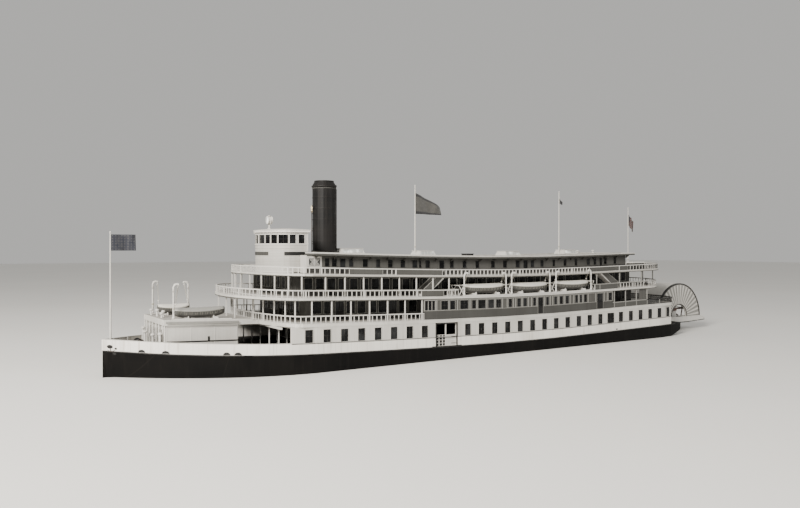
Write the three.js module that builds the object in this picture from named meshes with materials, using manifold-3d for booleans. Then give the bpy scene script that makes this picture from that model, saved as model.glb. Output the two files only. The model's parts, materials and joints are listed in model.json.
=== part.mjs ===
// Stern-wheel river steamer with four decks, as a scale model at one tenth of the real size.
// Frame: millimetres, +X towards the bow, +Y to port, +Z up, origin under the middle of the flat bottom.
// Lengths are written in feet of the real vessel times FT; heights are counted from the waterline.

import * as THREE from "three";
import { mergeVertices } from "three/addons/utils/BufferGeometryUtils.js";
import Module from "manifold-3d";

const wasm = await Module();
wasm.setup();

// Scale, and the room left between pieces that meet
const FT = 30.48;
const GAP = 0.3;

// Driving dimensions of the vessel, in feet
const LENGTH_OVERALL = 285;
const BEAM = 58;
const DRAFT = 7;
const HULL_END = 250;
const BOW_RUN = 60;
const BOW_FULLNESS = 1.9;
const STERN_TAPER_START = 230;
const TRANSOM_HALF = 26;

// Rise of every deck above its lowest point: feet from the stem, feet of rise
const SHEER = [
  [0, 4.1], [18, 3.2], [38, 2.5], [58, 1.9], [82, 1.2], [110, 0.5],
  [138, 0.05], [165, 0.05], [192, 0.45], [218, 1.0], [242, 1.4], [285, 1.6],
];

// Heights above the waterline at the lowest point of the sheer
const MAIN_DECK = 4.4;
const BULWARK_TOP = 7.8;
const SALOON_FLOOR = 14.2;
const SALOON_THICK = 1.2;
const PLATFORM_TOP = 14.8;
const OBSERVATION_FLOOR = 22.4;
const OBSERVATION_THICK = 1.0;
const TEXAS_FLOOR = 30.0;
const TEXAS_THICK = 0.8;
const ROOF_TOP = 37.1;
const ROOF_THICK = 0.9;
const WALL = 0.6;

// Deck plans: forward end, length of its round, after end, length of its round, half breadth
const SALOON_PLAN = { fore: 45.8, foreRun: 9.2, aft: 248.5, aftRun: 10, half: 29 };
const OBSERVATION_PLAN = { fore: 38.6, foreRun: 16.4, aft: 242.5, aftRun: 18, half: 29 };
const TEXAS_PLAN = { fore: 44.7, foreRun: 14.3, aft: 245.5, aftRun: 19.5, half: 28.2 };

// Houses: forward end, after end, half breadth
const MAIN_HOUSE = { fore: 51.2, aft: 239.9, half: 28.9 };
const FORE_HOUSE = { fore: 16.5, aft: 39.6, half: 12 };
const FREIGHT_BULKHEAD_AT = 70;
const SALOON_CABIN = { fore: 60, aft: 222.4, half: 20, wideFore: 107, wideAft: 200, wideHalf: 28.8 };
const OBSERVATION_CABIN = { fore: 57, aft: 222.4, half: 19 };
const TEXAS_CABIN = { fore: 61.8, aft: 222.2, half: 17 };
const TEXAS_ROOF = { fore: 63.6, aft: 226, half: 19 };

// Rails and the posts that carry the deck above
const RAIL_INSET = 0.15;
const RAIL_WIDTH = 0.35;
const RAIL_DEPTH = 0.3;
const SALOON_RAIL = 2.4;
const OBSERVATION_RAIL = 2.45;
const TEXAS_RAIL = 2.2;
const POST_WIDTH = 0.34;
const POST_SPACING = 7.15;
const POST_INSET = RAIL_INSET + RAIL_WIDTH / 2;
const POST_SLACK = 0.3;
const PLATFORM_POSTS = { at: 39.9, half: 8, tieTo: 46.5, header: 0.4, stepAt: 44.5 };
// Overhang of the fore platform past the house under it, and its lap on the saloon deck
const PLATFORM_MARGIN = { ahead: 0.8, beside: 0.6, lap: 4 };

// First posts along the straight sides, in feet from the stem
const SALOON_POSTS_FROM = 58.1;
const OBSERVATION_POSTS_FROM = 63.4;

// Line of the posts under the texas deck: its own plan, kept over the observation deck at the stern
const COLONNADE_PLAN = { ...TEXAS_PLAN, aft: 240.5, aftRun: 16.5 };

// Cargo doorway in the ship's side over a low sill, and the half-height gate in its after half
const CARGO_DOOR = { fore: 107.1, aft: 116, head: 12.6, sill: 0.25 };
const GATE = { height: 3.8, thick: 0.35, face: 28.35, clearance: 0.025 };

// Pilothouse with a round front
const PILOTHOUSE = { fore: 51.6, foreRun: 8, aft: 64.7, half: 12, top: 43.9, roof: 0.75, overhang: 0.6 };
const SEARCHLIGHT = { at: 55.5, stem: 2.8, stemRadius: 0.3, drum: 1.3, drumLength: 1.7, drumHeight: 3.6 };
// Windows: in the round by angle off the middle in degrees, in the sides by feet from the stem
const PILOT_WINDOWS = { sill: 40.05, head: 43.1 };
const ROUND_WINDOWS = [[4, 19], [24, 33], [38, 49], [54, 74]];
const SIDE_WINDOWS = [[57.8, 60.3], [61.1, 63.6]];
const REAR_WINDOW_HALF = 8;

// Funnel on the roof
const FUNNEL = { at: 77, radius: 4.3, top: 65, wall: 0.5, capRadius: 4.6, mouth: 3.4, capDepth: 2.1 };

// Roof fittings: middle, length, half breadth, height
const SKYLIGHTS = [
  [87.2, 8.5, 3, 2.0], [121.3, 6.4, 2.6, 1.9], [166.2, 7.3, 2.6, 1.9], [201.2, 6.6, 2.6, 1.9],
];

// Poles: name, feet from the stem, height of the deck below, top height, foot radius
const POLES = [
  ["jackstaff", 2.6, MAIN_DECK, 45, 0.34],
  ["burgee_mast", 117.4, ROOF_TOP, 65, 0.34],
  ["pennant_mast", 197.0, ROOF_TOP, 65.9, 0.34],
  ["stern_flagstaff", 244.4, TEXAS_FLOOR, 60, 0.3],
];

// Flags: name, pole, top of hoist, hoist, fly, share of the hoist left at the fly, droop of the fly
const FLAGS = [
  ["jack_flag", "jackstaff", 44.6, 5.1, 7.6, 1, 0],
  ["burgee", "burgee_mast", 62.3, 8.3, 12.6, 0.385, 2.8],
  ["pennant", "pennant_mast", 63, 2.2, 2.1, 0.6, 1],
  ["ensign", "stern_flagstaff", 57, 5.4, 3.7, 1, 3.3],
];
const FLAG_THICK = 0.12;

// Paddle wheel and its housing
const WHEEL = { at: 265.5, height: 10, radius: 12, half: 9 };
const BUCKETS = { count: 12, depth: 2.6, thick: 0.26, ahead: 0.3 };
const WHEEL_FRAMES = [-8.7, 8.7];
const WHEEL_RIM = { outer: 9.9, depth: 0.6, half: 0.15 };
const HUB = { radius: 1.9, half: 0.4 };
const ARM = { thick: 0.4, depth: 0.7 };
const SHAFT_RADIUS = 0.65;
const BORE_RADIUS = 0.682;
const SHAFT_SIDES = 16;
const CRANK = { throw: 3.2, inner: 11.35, outer: 11.95, width: 1.3 };
const FAN = { base: 6.6, radius: 16.3, eye: 5.9, inner: 13.2, outer: 13.8 };
const SPLASH_GUARD = { thick: 0.4, from: 0.42 };
const TIMBER = { inner: 9.75, beamOuter: 11.1, guardInner: 13.1, outer: 14.6, fore: 250.01 };
// Side view of the timbers: feet from the stem, height
const TIMBER_OUTLINE = [[250.01, 3.5], [250.01, 6.6], [281.8, 6.6], [285, 5.4], [285, 4.3], [272, 3.7]];
const TIMBER_TIP = { fore: 281.8, aft: 284.4, low: 4.4, high: 5.3 };
const TRANSOM_BEAM = { depth: 1.1, low: 3.6, high: 5.6 };
const BEARING_HALF = 1.6;
const PITMAN = { inner: 12.2, outer: 12.75, depth: 1.1, footHeight: 9 };

// Machinery blocks inside the main deck house
const ENGINE = { fore: 196, aft: 222, inner: 10.6, outer: 14.6, top: 9.8 };
const BOILERS = { fore: 72, aft: 94, half: 8, top: 13 };

// Rudders under the raking stern: distance off the centreline of each
const RUDDER = { stock: 241.5, fore: 237.2, aft: 247.6, bottom: -6.4, thick: 0.5, stockRadius: 0.35 };
const RUDDERS = [["rudder_port", 13], ["rudder_centre", 0], ["rudder_starboard", -13]];

// Boats: length, half breadth, depth of hull, crown of the cover, distance off the centreline, keel height,
// how far they lie abaft the middle of their davits, half the distance between these, and the ends with a davit
const LIFEBOAT = {
  length: 20, half: 2.9, depth: 2.3, crown: 1.1, offset: 26, keel: 23.3, shift: 0.9, span: 10.1, ends: [-1, 1],
};
const LIFEBOATS_AT = [129.9, 152.9, 176.5];
const SKIFF_PORT = {
  length: 17, half: 2.6, depth: 2.2, crown: 0.9, offset: 8.4, keel: 15.3, at: 27.9, shift: 0, span: 9.1, ends: [-1],
};
const SKIFF_STARBOARD = { ...SKIFF_PORT, length: 10.8, at: 24.4, span: 6, ends: [-1, 1] };
// Chocks under a boat: share of its length from its middle, half length
const CHOCK = { share: 0.28, half: 0.3 };

// Davits: bar radius, height over the deck, reach of the head, and the length of the footing past them
const DAVIT = { radius: 0.26, height: 8.6, reach: 1.3, past: 0.5, sides: 4 };
const FORE_DAVIT_HEIGHT = 11.2;
// Footing planks under the davits: inner and outer edges, height
const BOAT_FOOTING = { inner: 28.5, outer: 29, height: 0.35 };
const SKIFF_FOOTING = { inner: 11.5, outer: 12.3, height: 0.35 };
// Plank that ties the two footings together across the fore platform
const SKIFF_TIE = { fore: 25, aft: 25.6 };

// The observation deck's rail and posts pass inboard of the lifeboats
const BOAT_BAY = { fore: 117.6, aft: 188.6 };
const BAY_RAIL_HALF = 22.5;
const BAY_POST_HALF = 21.7;

// Windlass on the foredeck: feet from the stem, half breadth, heights
const WINDLASS = { fore: 9.6, aft: 12.6, half: 2.4, drum: 0.95, drumHeight: 2.2 };

// Stairs between the observation and texas decks: foot, head (feet from the stem)
const STAIRS = [["fore", 103.3, 112.3], ["aft", 205.6, 194.6]];
const STAIR = { inner: 23.4, outer: 26.6, steps: 10, depth: 1.1 };
const HATCH_MARGIN = 0.5;

// Finishes: colour, roughness, metalness
const FINISHES = {
  hullBlack: [0x1b1c1c, 0.5, 0.1],
  deckGrey: [0x77736a, 0.85, 0],
  houseWhite: [0xe9e4d8, 0.55, 0],
  shadeGrey: [0x9a978c, 0.6, 0],
  funnelBlack: [0x161616, 0.45, 0.3],
  ironDark: [0x2b2b2b, 0.55, 0.6],
  wheelTimber: [0x5a3a30, 0.7, 0],
  boatGrey: [0xb9b5a8, 0.6, 0],
  flagDark: [0x3a4048, 0.9, 0],
  flagPale: [0xcfc8b8, 0.9, 0],
};

const vessel = new THREE.Group();

// Place along the ship: feet from the stem to millimetres of X
const alongX = (feet) => (LENGTH_OVERALL / 2 - feet) * FT;

// Linear reading of a two-column table
function readTable(table, at) {
  if (at <= table[0][0]) return table[0][1];
  for (let row = 1; row < table.length; row += 1) {
    const [x0, y0] = table[row - 1];
    const [x1, y1] = table[row];
    if (at <= x1) return y0 + ((y1 - y0) * (at - x0)) / (x1 - x0);
  }
  return table[table.length - 1][1];
}

const sheerAt = (feet) => readTable(SHEER, feet);

// Height above the waterline to millimetres of Z, with or without the sheer at that place
const levelZ = (height) => (DRAFT + height) * FT;
const deckZ = (height, feet) => levelZ(height + sheerAt(feet));

// Height of the underside of a plumb piece that stands on a deck between two places
const seatZ = (height, fore, aft) => Math.max(deckZ(height, fore), deckZ(height, aft)) + GAP;

// Half breadth of the hull at the main deck
function hullHalf(feet) {
  const half = BEAM / 2;
  if (feet < BOW_RUN) return half * (1 - (1 - feet / BOW_RUN) ** BOW_FULLNESS);
  if (feet <= STERN_TAPER_START) return half;
  const t = (feet - STERN_TAPER_START) / (HULL_END - STERN_TAPER_START);
  return half - (half - TRANSOM_HALF) * t * t;
}

// Solid with its skin through convex rings of points with like counts, closed by a fan at either end
function skin(rings) {
  const count = rings[0].length;
  const faces = [];
  for (let r = 0; r + 1 < rings.length; r += 1) {
    for (let i = 0; i < count; i += 1) {
      const a = r * count + i;
      const b = r * count + ((i + 1) % count);
      faces.push(a, b, b + count, a, b + count, a + count);
    }
  }
  const last = (rings.length - 1) * count;
  for (let i = 1; i + 1 < count; i += 1) {
    faces.push(0, i + 1, i);
    faces.push(last, last + i, last + i + 1);
  }
  const geometry = new THREE.BufferGeometry();
  const numbers = rings.flat().flatMap((point) => [point.x, point.y, point.z]);
  geometry.setAttribute("position", new THREE.Float32BufferAttribute(numbers, 3));
  geometry.setIndex(faces);
  return solid(geometry);
}

// Volume inside a closed triangle mesh, negative where its faces point inwards
function signedVolume(geometry) {
  const position = geometry.attributes.position;
  const index = geometry.index;
  const corner = [new THREE.Vector3(), new THREE.Vector3(), new THREE.Vector3()];
  let volume = 0;
  for (let i = 0; i < index.count; i += 3) {
    corner.forEach((v, k) => v.fromBufferAttribute(position, index.getX(i + k)));
    volume += corner[0].dot(corner[1].clone().cross(corner[2])) / 6;
  }
  return volume;
}

function facingOut(geometry) {
  if (signedVolume(geometry) < 0) {
    const index = Array.from(geometry.index.array);
    for (let i = 0; i < index.length; i += 3) [index[i + 1], index[i + 2]] = [index[i + 2], index[i + 1]];
    geometry.setIndex(index);
  }
  return geometry;
}

const MERGE_TOLERANCE = 1e-3;

// Solid of a closed geometry, and back
function solid(geometry) {
  const bare = geometry.clone();
  bare.deleteAttribute("normal");
  bare.deleteAttribute("uv");
  const merged = facingOut(mergeVertices(bare, MERGE_TOLERANCE));
  const vertProperties = new Float32Array(merged.attributes.position.array);
  const triVerts = new Uint32Array(merged.index.array);
  return new wasm.Manifold(new wasm.Mesh({ numProp: 3, vertProperties, triVerts }));
}

function geometryOf(body) {
  const { vertProperties, triVerts } = body.getMesh();
  const geometry = new THREE.BufferGeometry();
  geometry.setAttribute("position", new THREE.BufferAttribute(new Float32Array(vertProperties), 3));
  geometry.setIndex(Array.from(triVerts));
  return geometry;
}

const join = (bodies) => bodies.reduce((whole, body) => whole.add(body));
const cut = (whole, bodies) => bodies.reduce((rest, body) => rest.subtract(body), whole);

// One named sub-part
function addPart(name, body, finish) {
  const geometry = geometryOf(body);
  geometry.computeVertexNormals();
  const [color, roughness, metalness] = FINISHES[finish];
  const mesh = new THREE.Mesh(geometry, new THREE.MeshStandardMaterial({ color, roughness, metalness }));
  mesh.name = name;
  vessel.add(mesh);
}

const MERGED_ROWS = 0.15;

// Places along the ship for a piece: its own rows, and the rows of the sheer between them
function placesFor(rows) {
  const first = rows[0][0];
  const last = rows.at(-1)[0];
  const own = rows.map(([feet]) => feet);
  const between = SHEER.map(([feet]) => feet).filter((feet) => {
    return feet > first && feet < last && own.every((place) => Math.abs(place - feet) > MERGED_ROWS);
  });
  return [...own, ...between].sort((a, b) => a - b);
}

// Level slab bent to the sheer; the plan's rows are feet from the stem and half breadth
function slab(plan, bottom, top, lowGap = 0, highGap = 0) {
  const rings = placesFor(plan).map((feet) => {
    const half = readTable(plan, feet) * FT;
    const x = alongX(feet);
    const z0 = deckZ(bottom, feet) + lowGap;
    const z1 = deckZ(top, feet) - highGap;
    return [[-half, z0], [half, z0], [half, z1], [-half, z1]].map(([y, z]) => new THREE.Vector3(x, y, z));
  });
  return skin(rings);
}

// Plank bent to the sheer between two distances off the centreline
function plank(fore, aft, inner, outer, bottom, top, lowGap = 0, highGap = 0) {
  const rings = placesFor([[fore, 0], [aft, 0]]).map((feet) => {
    const x = alongX(feet);
    const z0 = deckZ(bottom, feet) + lowGap;
    const z1 = deckZ(top, feet) - highGap;
    const [y0, y1] = [inner * FT, outer * FT];
    return [[y0, z0], [y1, z0], [y1, z1], [y0, z1]].map(([y, z]) => new THREE.Vector3(x, y, z));
  });
  return skin(rings);
}

// Plain block: feet from the stem, feet off the centreline, heights in millimetres
function block(fore, aft, inner, outer, z0, z1) {
  const geometry = new THREE.BoxGeometry((aft - fore) * FT, (outer - inner) * FT, z1 - z0);
  geometry.translate(alongX((fore + aft) / 2), ((inner + outer) / 2) * FT, (z0 + z1) / 2);
  return solid(geometry);
}

// Round bar along an axis: "x", "y" or "z"
function bar(radius, length, axis, sides, at, topRadius = radius) {
  const geometry = new THREE.CylinderGeometry(topRadius, radius, length, sides);
  if (axis === "z") geometry.rotateX(Math.PI / 2);
  if (axis === "x") geometry.rotateZ(-Math.PI / 2);
  geometry.translate(...at);
  return solid(geometry);
}

// Run of a square step in a plan
const STEP = 0.05;

// Plan rows of a deck with elliptical ends, drawn in from its edge by an inset
const END_STEPS = 7;
const NOSE_ANGLE = 0.11;
function roundedPlan(plan, inset = 0) {
  const half = plan.half - inset;
  const angles = Array.from({ length: END_STEPS + 1 }, (_, step) => {
    return NOSE_ANGLE + ((Math.PI / 2 - NOSE_ANGLE) * step) / END_STEPS;
  });
  const fore = angles.map((angle) => {
    return [plan.fore + plan.foreRun - (plan.foreRun - inset) * Math.cos(angle), half * Math.sin(angle)];
  });
  const aft = angles.map((angle) => {
    return [plan.aft - plan.aftRun + (plan.aftRun - inset) * Math.cos(angle), half * Math.sin(angle)];
  });
  return [...fore, ...aft.reverse()];
}

// The same plan with its sides drawn in along the boats
function bayPlan(plan, inset, bayHalf) {
  const rows = roundedPlan(plan, inset);
  const side = rows.length / 2;
  const wide = rows[side][1];
  const narrow = bayHalf - inset;
  const jog = [
    [BOAT_BAY.fore - inset, wide], [BOAT_BAY.fore - inset + STEP, narrow],
    [BOAT_BAY.aft + inset - STEP, narrow], [BOAT_BAY.aft + inset, wide],
  ];
  return [...rows.slice(0, side), ...jog, ...rows.slice(side)];
}

const squarePlan = (house, inset = 0) => [
  [house.fore + inset, house.half - inset],
  [house.aft - inset, house.half - inset],
];

// Plan of the hull between two places, drawn in by an inset
const HULL_ROWS = [0, 1.5, 4, 8, 13, 19, 26, 34, 43, 52, 60, 222, 232, 241, 250];
function hullPlan(fore, aft, inset = 0) {
  const inside = HULL_ROWS.filter((feet) => feet > fore + 0.5 && feet < aft - 0.5);
  return [fore, ...inside, aft].map((feet) => [feet, Math.max(hullHalf(feet) - inset, 0.2)]);
}

// Walls around a space, open above and below
function walls(outerPlan, innerPlan, bottom, top) {
  const outside = slab(outerPlan, bottom, top, GAP, GAP);
  return outside.subtract(slab(innerPlan, bottom - 1, top + 1));
}

// Black hull: flat bottom, round bilge, upright stem, bottom raking up to the transom
const HULL_SECTIONS = [
  0.25, 1.5, 4, 8, 13, 19, 26, 34, 43, 52, 60, 205, 215, 225, 233, 240, 246, 250,
];
const RAKE = { start: 205, rise: 8.5, curve: 1.6 };
const BILGE = { depth: 3, share: 0.4, shoulder: 1.6, steps: 3 };
const TUMBLE = 0.15;
// The bow's sections narrow below the deck, and its keel turns up over the forefoot
const ENTRY = { waterline: 2.2, keel: 4.5 };
const FOREFOOT = { run: 8, rise: 2.5 };

// Underside of the hull ahead of the transom
function rakeHeight(feet) {
  const rake = Math.max(0, (feet - RAKE.start) / (HULL_END - RAKE.start));
  return -DRAFT + RAKE.rise * rake ** RAKE.curve;
}

function buildHull() {
  const places = [...new Set([...HULL_SECTIONS, ...SHEER.map(([feet]) => feet)])]
    .filter((feet) => feet >= HULL_SECTIONS[0] && feet <= HULL_END)
    .sort((a, b) => a - b);
  const rings = places.map((feet) => {
    const deckHalf = hullHalf(feet);
    const entry = Math.max(0, 1 - feet / BOW_RUN);
    const waterHalf = Math.max(deckHalf - ENTRY.waterline * entry - TUMBLE, 0.3);
    const keelHalf = Math.max(deckHalf - ENTRY.keel * entry - BILGE.depth, 0.15);
    const forefoot = Math.max(0, 1 - feet / FOREFOOT.run);
    const keel = rakeHeight(feet) + FOREFOOT.rise * forefoot ** 2;
    const turn = Math.min(BILGE.depth, (MAIN_DECK - keel) * BILGE.share);
    const top = deckZ(MAIN_DECK, feet);
    const side = [[deckHalf, top], [waterHalf, levelZ(keel + turn + BILGE.shoulder)]];
    for (let step = 0; step <= BILGE.steps; step += 1) {
      const angle = (Math.PI / 2) * (step / BILGE.steps);
      const reach = Math.max(waterHalf - keelHalf, 0.05);
      side.push([keelHalf + reach * Math.cos(angle), levelZ(keel + turn * (1 - Math.sin(angle)))]);
    }
    const port = side.map(([y, z]) => new THREE.Vector3(alongX(feet), y * FT, z));
    const starboard = side.map(([y, z]) => new THREE.Vector3(alongX(feet), -y * FT, z)).reverse();
    return [...port, ...starboard];
  });
  addPart("hull", skin(rings), "hullBlack");
}

const ROD_SLOT = { fore: 236, aft: 244, half: 0.8, low: 7.6, high: 11.8 };

// Openings that the doorway and the connecting rods need in the side and after walls
function sideOpenings() {
  const sill = deckZ(MAIN_DECK + CARGO_DOOR.sill, CARGO_DOOR.fore);
  const head = deckZ(CARGO_DOOR.head, CARGO_DOOR.fore);
  const doorways = [25, -31].map((near) => {
    return block(CARGO_DOOR.fore, CARGO_DOOR.aft, near, near + 6, sill, head);
  });
  const { fore, aft, half, low, high } = ROD_SLOT;
  const middle = (PITMAN.inner + PITMAN.outer) / 2;
  const rodSlots = [middle, -middle].map((y) => {
    return block(fore, aft, y - half, y + half, levelZ(low), levelZ(high));
  });
  return [...doorways, ...rodSlots];
}

function buildMainDeck() {
  const openings = sideOpenings();
  const bulwarkOuter = slab(hullPlan(0, MAIN_HOUSE.aft), MAIN_DECK, BULWARK_TOP, GAP, 0);
  const bulwarkInner = slab(hullPlan(1.3, MAIN_HOUSE.aft - WALL, WALL), MAIN_DECK - 1, BULWARK_TOP + 1);
  addPart("bulwark", cut(bulwarkOuter.subtract(bulwarkInner), openings), "houseWhite");

  const taper = hullPlan(MAIN_HOUSE.fore, MAIN_HOUSE.aft, 0.1);
  const inner = hullPlan(MAIN_HOUSE.fore - 4, MAIN_HOUSE.aft - WALL, 0.1 + WALL);
  const house = slab(taper, BULWARK_TOP, SALOON_FLOOR - SALOON_THICK, GAP, GAP)
    .subtract(slab(inner, BULWARK_TOP - 1, SALOON_FLOOR + 1));
  addPart("main_house", cut(house, openings), "houseWhite");

  const bulkheadHalf = MAIN_HOUSE.half - WALL - 0.2;
  const bulkhead = plank(FREIGHT_BULKHEAD_AT, FREIGHT_BULKHEAD_AT + WALL, -bulkheadHalf, bulkheadHalf,
    MAIN_DECK, SALOON_FLOOR - SALOON_THICK, GAP, GAP);
  addPart("freight_bulkhead", bulkhead, "shadeGrey");

  const foreHouse = walls(squarePlan(FORE_HOUSE), squarePlan(FORE_HOUSE, WALL), MAIN_DECK,
    SALOON_FLOOR - SALOON_THICK);
  addPart("fore_house", foreHouse, "houseWhite");

  for (const [name, side] of [["cargo_gate_port", 1], ["cargo_gate_starboard", -1]]) {
    const fore = (CARGO_DOOR.fore + CARGO_DOOR.aft) / 2;
    const floor = deckZ(MAIN_DECK + CARGO_DOOR.sill, CARGO_DOOR.fore) + GATE.clearance * FT;
    const near = side > 0 ? GATE.face : -GATE.face - GATE.thick;
    const aft = CARGO_DOOR.aft - GATE.clearance;
    const leaf = block(fore, aft, near, near + GATE.thick, floor, floor + GATE.height * FT);
    addPart(name, leaf, "houseWhite");
  }
}

// Places of the posts along a deck's sides, and round one of its ends in equal steps of angle
function sidePosts(plan, fore, aft, spacing, half = plan.half - POST_INSET) {
  const count = Math.floor((aft - fore) / spacing + 0.01);
  return Array.from({ length: count + 1 }, (_, i) => fore + i * spacing)
    .flatMap((feet) => [[feet, half], [feet, -half]]);
}

function endPosts(plan, atBow, steps) {
  const half = plan.half - POST_INSET;
  const centre = atBow ? plan.fore + plan.foreRun : plan.aft - plan.aftRun;
  const run = atBow ? POST_INSET - plan.foreRun : plan.aftRun - POST_INSET;
  return Array.from({ length: steps - 1 }, (_, i) => (Math.PI * (i + 1)) / steps)
    .map((angle) => [centre + run * Math.sin(angle), half * Math.cos(angle)]);
}

// Square posts from a deck to the underside of the one above, or to a rail
function posts(places, floor, top) {
  return places.map(([feet, y]) => {
    const half = POST_WIDTH / 2;
    const z0 = deckZ(floor, feet) + GAP + POST_SLACK;
    const z1 = deckZ(top, feet) - GAP - POST_SLACK;
    return block(feet - half, feet + half, y - half, y + half, z0, z1);
  });
}

// Ring between two plans drawn in from one edge
function ring(planAt, bottom, top, lowGap = 0) {
  const outer = slab(planAt(RAIL_INSET), bottom, top, lowGap, 0);
  return outer.subtract(slab(planAt(RAIL_INSET + RAIL_WIDTH), bottom - 1, top + 1));
}

const railRing = (planAt, floor, height) => ring(planAt, floor + height - RAIL_DEPTH, floor + height);

// A block that cuts off everything between two places
const endBlock = (fore, aft) => block(fore, aft, -40, 40, levelZ(0), levelZ(80));

// White ring round a whole deck as a fore and an aft part, which meet just ahead of the boats
const RING_SPLIT = 116.9;
function addHalves(name, body) {
  addPart(`${name}_fore`, body.subtract(endBlock(RING_SPLIT, 260)), "houseWhite");
  addPart(`${name}_aft`, body.subtract(endBlock(0, RING_SPLIT + GAP / FT)), "houseWhite");
}

function buildSaloonDeck() {
  const underside = SALOON_FLOOR - SALOON_THICK;
  const deck = slab(roundedPlan(SALOON_PLAN), underside, SALOON_FLOOR);
  const { ahead, beside, lap } = PLATFORM_MARGIN;
  const platformHalf = FORE_HOUSE.half + beside;
  const platformPlan = (aft) => [FORE_HOUSE.fore - ahead, aft].map((feet) => [feet, platformHalf]);
  const bridge = slab(platformPlan(SALOON_PLAN.fore + lap), underside, SALOON_FLOOR);
  const raised = slab(platformPlan(PLATFORM_POSTS.stepAt), underside, PLATFORM_TOP);
  addPart("saloon_deck", join([deck, bridge, raised]), "deckGrey");

  const ceiling = OBSERVATION_FLOOR - OBSERVATION_THICK;
  const rail = railRing((inset) => roundedPlan(SALOON_PLAN, inset), SALOON_FLOOR, SALOON_RAIL);
  const railTop = SALOON_FLOOR + SALOON_RAIL;
  const forePosts = posts([
    ...endPosts(SALOON_PLAN, true, 12),
    ...sidePosts(SALOON_PLAN, SALOON_POSTS_FROM, SALOON_CABIN.wideFore - 0.7, POST_SPACING),
  ], SALOON_FLOOR, ceiling);
  const foreRing = rail.subtract(endBlock(SALOON_CABIN.wideFore - STEP, 260));
  addPart("saloon_rail_fore", join([foreRing, ...forePosts, platformPosts(ceiling)]), "houseWhite");

  const aftStart = SALOON_CABIN.wideAft + 1;
  const aftPosts = [
    ...posts(sidePosts(SALOON_PLAN, aftStart, 224, POST_SPACING), SALOON_FLOOR, ceiling),
    ...posts(sidePosts(SALOON_PLAN, 231, 238, POST_SPACING), SALOON_FLOOR, railTop),
    ...posts(endPosts(SALOON_PLAN, false, 8), SALOON_FLOOR, railTop),
  ];
  const aftRing = rail.subtract(endBlock(0, SALOON_CABIN.wideAft + STEP));
  addPart("saloon_rail_aft", join([aftRing, ...aftPosts]), "houseWhite");

  const stepped = (inset) => {
    const { fore, aft, half, wideFore, wideAft, wideHalf } = SALOON_CABIN;
    return [
      [fore + inset, half - inset],
      [wideFore + inset, half - inset],
      [wideFore + inset + STEP, wideHalf - inset],
      [wideAft - inset - STEP, wideHalf - inset],
      [wideAft - inset, half - inset],
      [aft - inset, half - inset],
    ];
  };
  addPart("saloon_cabin", walls(stepped(0), stepped(WALL), SALOON_FLOOR, ceiling), "shadeGrey");
}

// Posts on the fore platform under the front of the observation deck, with the headers that tie them back
function platformPosts(ceiling) {
  const { at, half, tieTo, header } = PLATFORM_POSTS;
  const beamTop = ceiling - 0.02;
  const across = plank(at - POST_WIDTH / 2, at + POST_WIDTH / 2, -half, half, ceiling - header, beamTop);
  const back = [-half, half].map((y) => {
    return plank(at, tieTo, y - POST_WIDTH / 2, y + POST_WIDTH / 2, ceiling - header, beamTop);
  });
  const front = posts([[at, -half], [at, 0], [at, half]], PLATFORM_TOP, ceiling);
  const ties = posts([[tieTo, -half], [tieTo, half]], SALOON_FLOOR, ceiling);
  return join([across, ...back, ...front, ...ties]);
}

function buildObservationDeck() {
  const ceiling = TEXAS_FLOOR - TEXAS_THICK;
  const underside = OBSERVATION_FLOOR - OBSERVATION_THICK;
  addPart("observation_deck", slab(roundedPlan(OBSERVATION_PLAN), underside, OBSERVATION_FLOOR), "deckGrey");

  const railPlan = (inset) => bayPlan(OBSERVATION_PLAN, inset, BAY_RAIL_HALF);
  const rail = railRing(railPlan, OBSERVATION_FLOOR, OBSERVATION_RAIL);
  const low = [
    ...endPosts(OBSERVATION_PLAN, true, 8),
    ...sidePosts(OBSERVATION_PLAN, 56, 113, POST_SPACING * 3),
    ...sidePosts(OBSERVATION_PLAN, 128, 186, POST_SPACING * 3, BAY_RAIL_HALF - POST_INSET),
    ...sidePosts(OBSERVATION_PLAN, 192, 224, POST_SPACING * 3),
    ...endPosts(OBSERVATION_PLAN, false, 6),
  ];
  const railTop = OBSERVATION_FLOOR + OBSERVATION_RAIL;
  addHalves("observation_rail", join([rail, ...posts(low, OBSERVATION_FLOOR, railTop)]));

  const curbTop = OBSERVATION_FLOOR + 0.25;
  const curbPlan = (inset) => bayPlan(COLONNADE_PLAN, inset, BAY_POST_HALF);
  const curb = ring(curbPlan, OBSERVATION_FLOOR, curbTop, GAP);
  const tall = [
    ...endPosts(COLONNADE_PLAN, true, 12),
    ...sidePosts(COLONNADE_PLAN, OBSERVATION_POSTS_FROM, 115, POST_SPACING),
    ...sidePosts(COLONNADE_PLAN, 122, 186, POST_SPACING * 2, BAY_POST_HALF - POST_INSET),
    ...sidePosts(COLONNADE_PLAN, 191, 222, POST_SPACING * 2),
    ...endPosts(COLONNADE_PLAN, false, 6),
  ];
  addHalves("observation_posts", join([curb, ...posts(tall, OBSERVATION_FLOOR, ceiling)]));

  const [outside, inside] = [squarePlan(OBSERVATION_CABIN), squarePlan(OBSERVATION_CABIN, WALL)];
  addPart("observation_cabin", walls(outside, inside, OBSERVATION_FLOOR, ceiling), "shadeGrey");
}

// Footprint of the pilothouse, for its walls and for the roof that meets it
function pilothousePlan(inset = 0) {
  const half = PILOTHOUSE.half - inset;
  const angles = Array.from({ length: END_STEPS + 1 }, (_, step) => {
    return NOSE_ANGLE + ((Math.PI / 2 - NOSE_ANGLE) * step) / END_STEPS;
  });
  const fore = angles.map((angle) => {
    const run = PILOTHOUSE.foreRun - inset;
    return [PILOTHOUSE.fore + PILOTHOUSE.foreRun - run * Math.cos(angle), half * Math.sin(angle)];
  });
  return [...fore, [PILOTHOUSE.aft - inset, half]];
}

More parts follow.
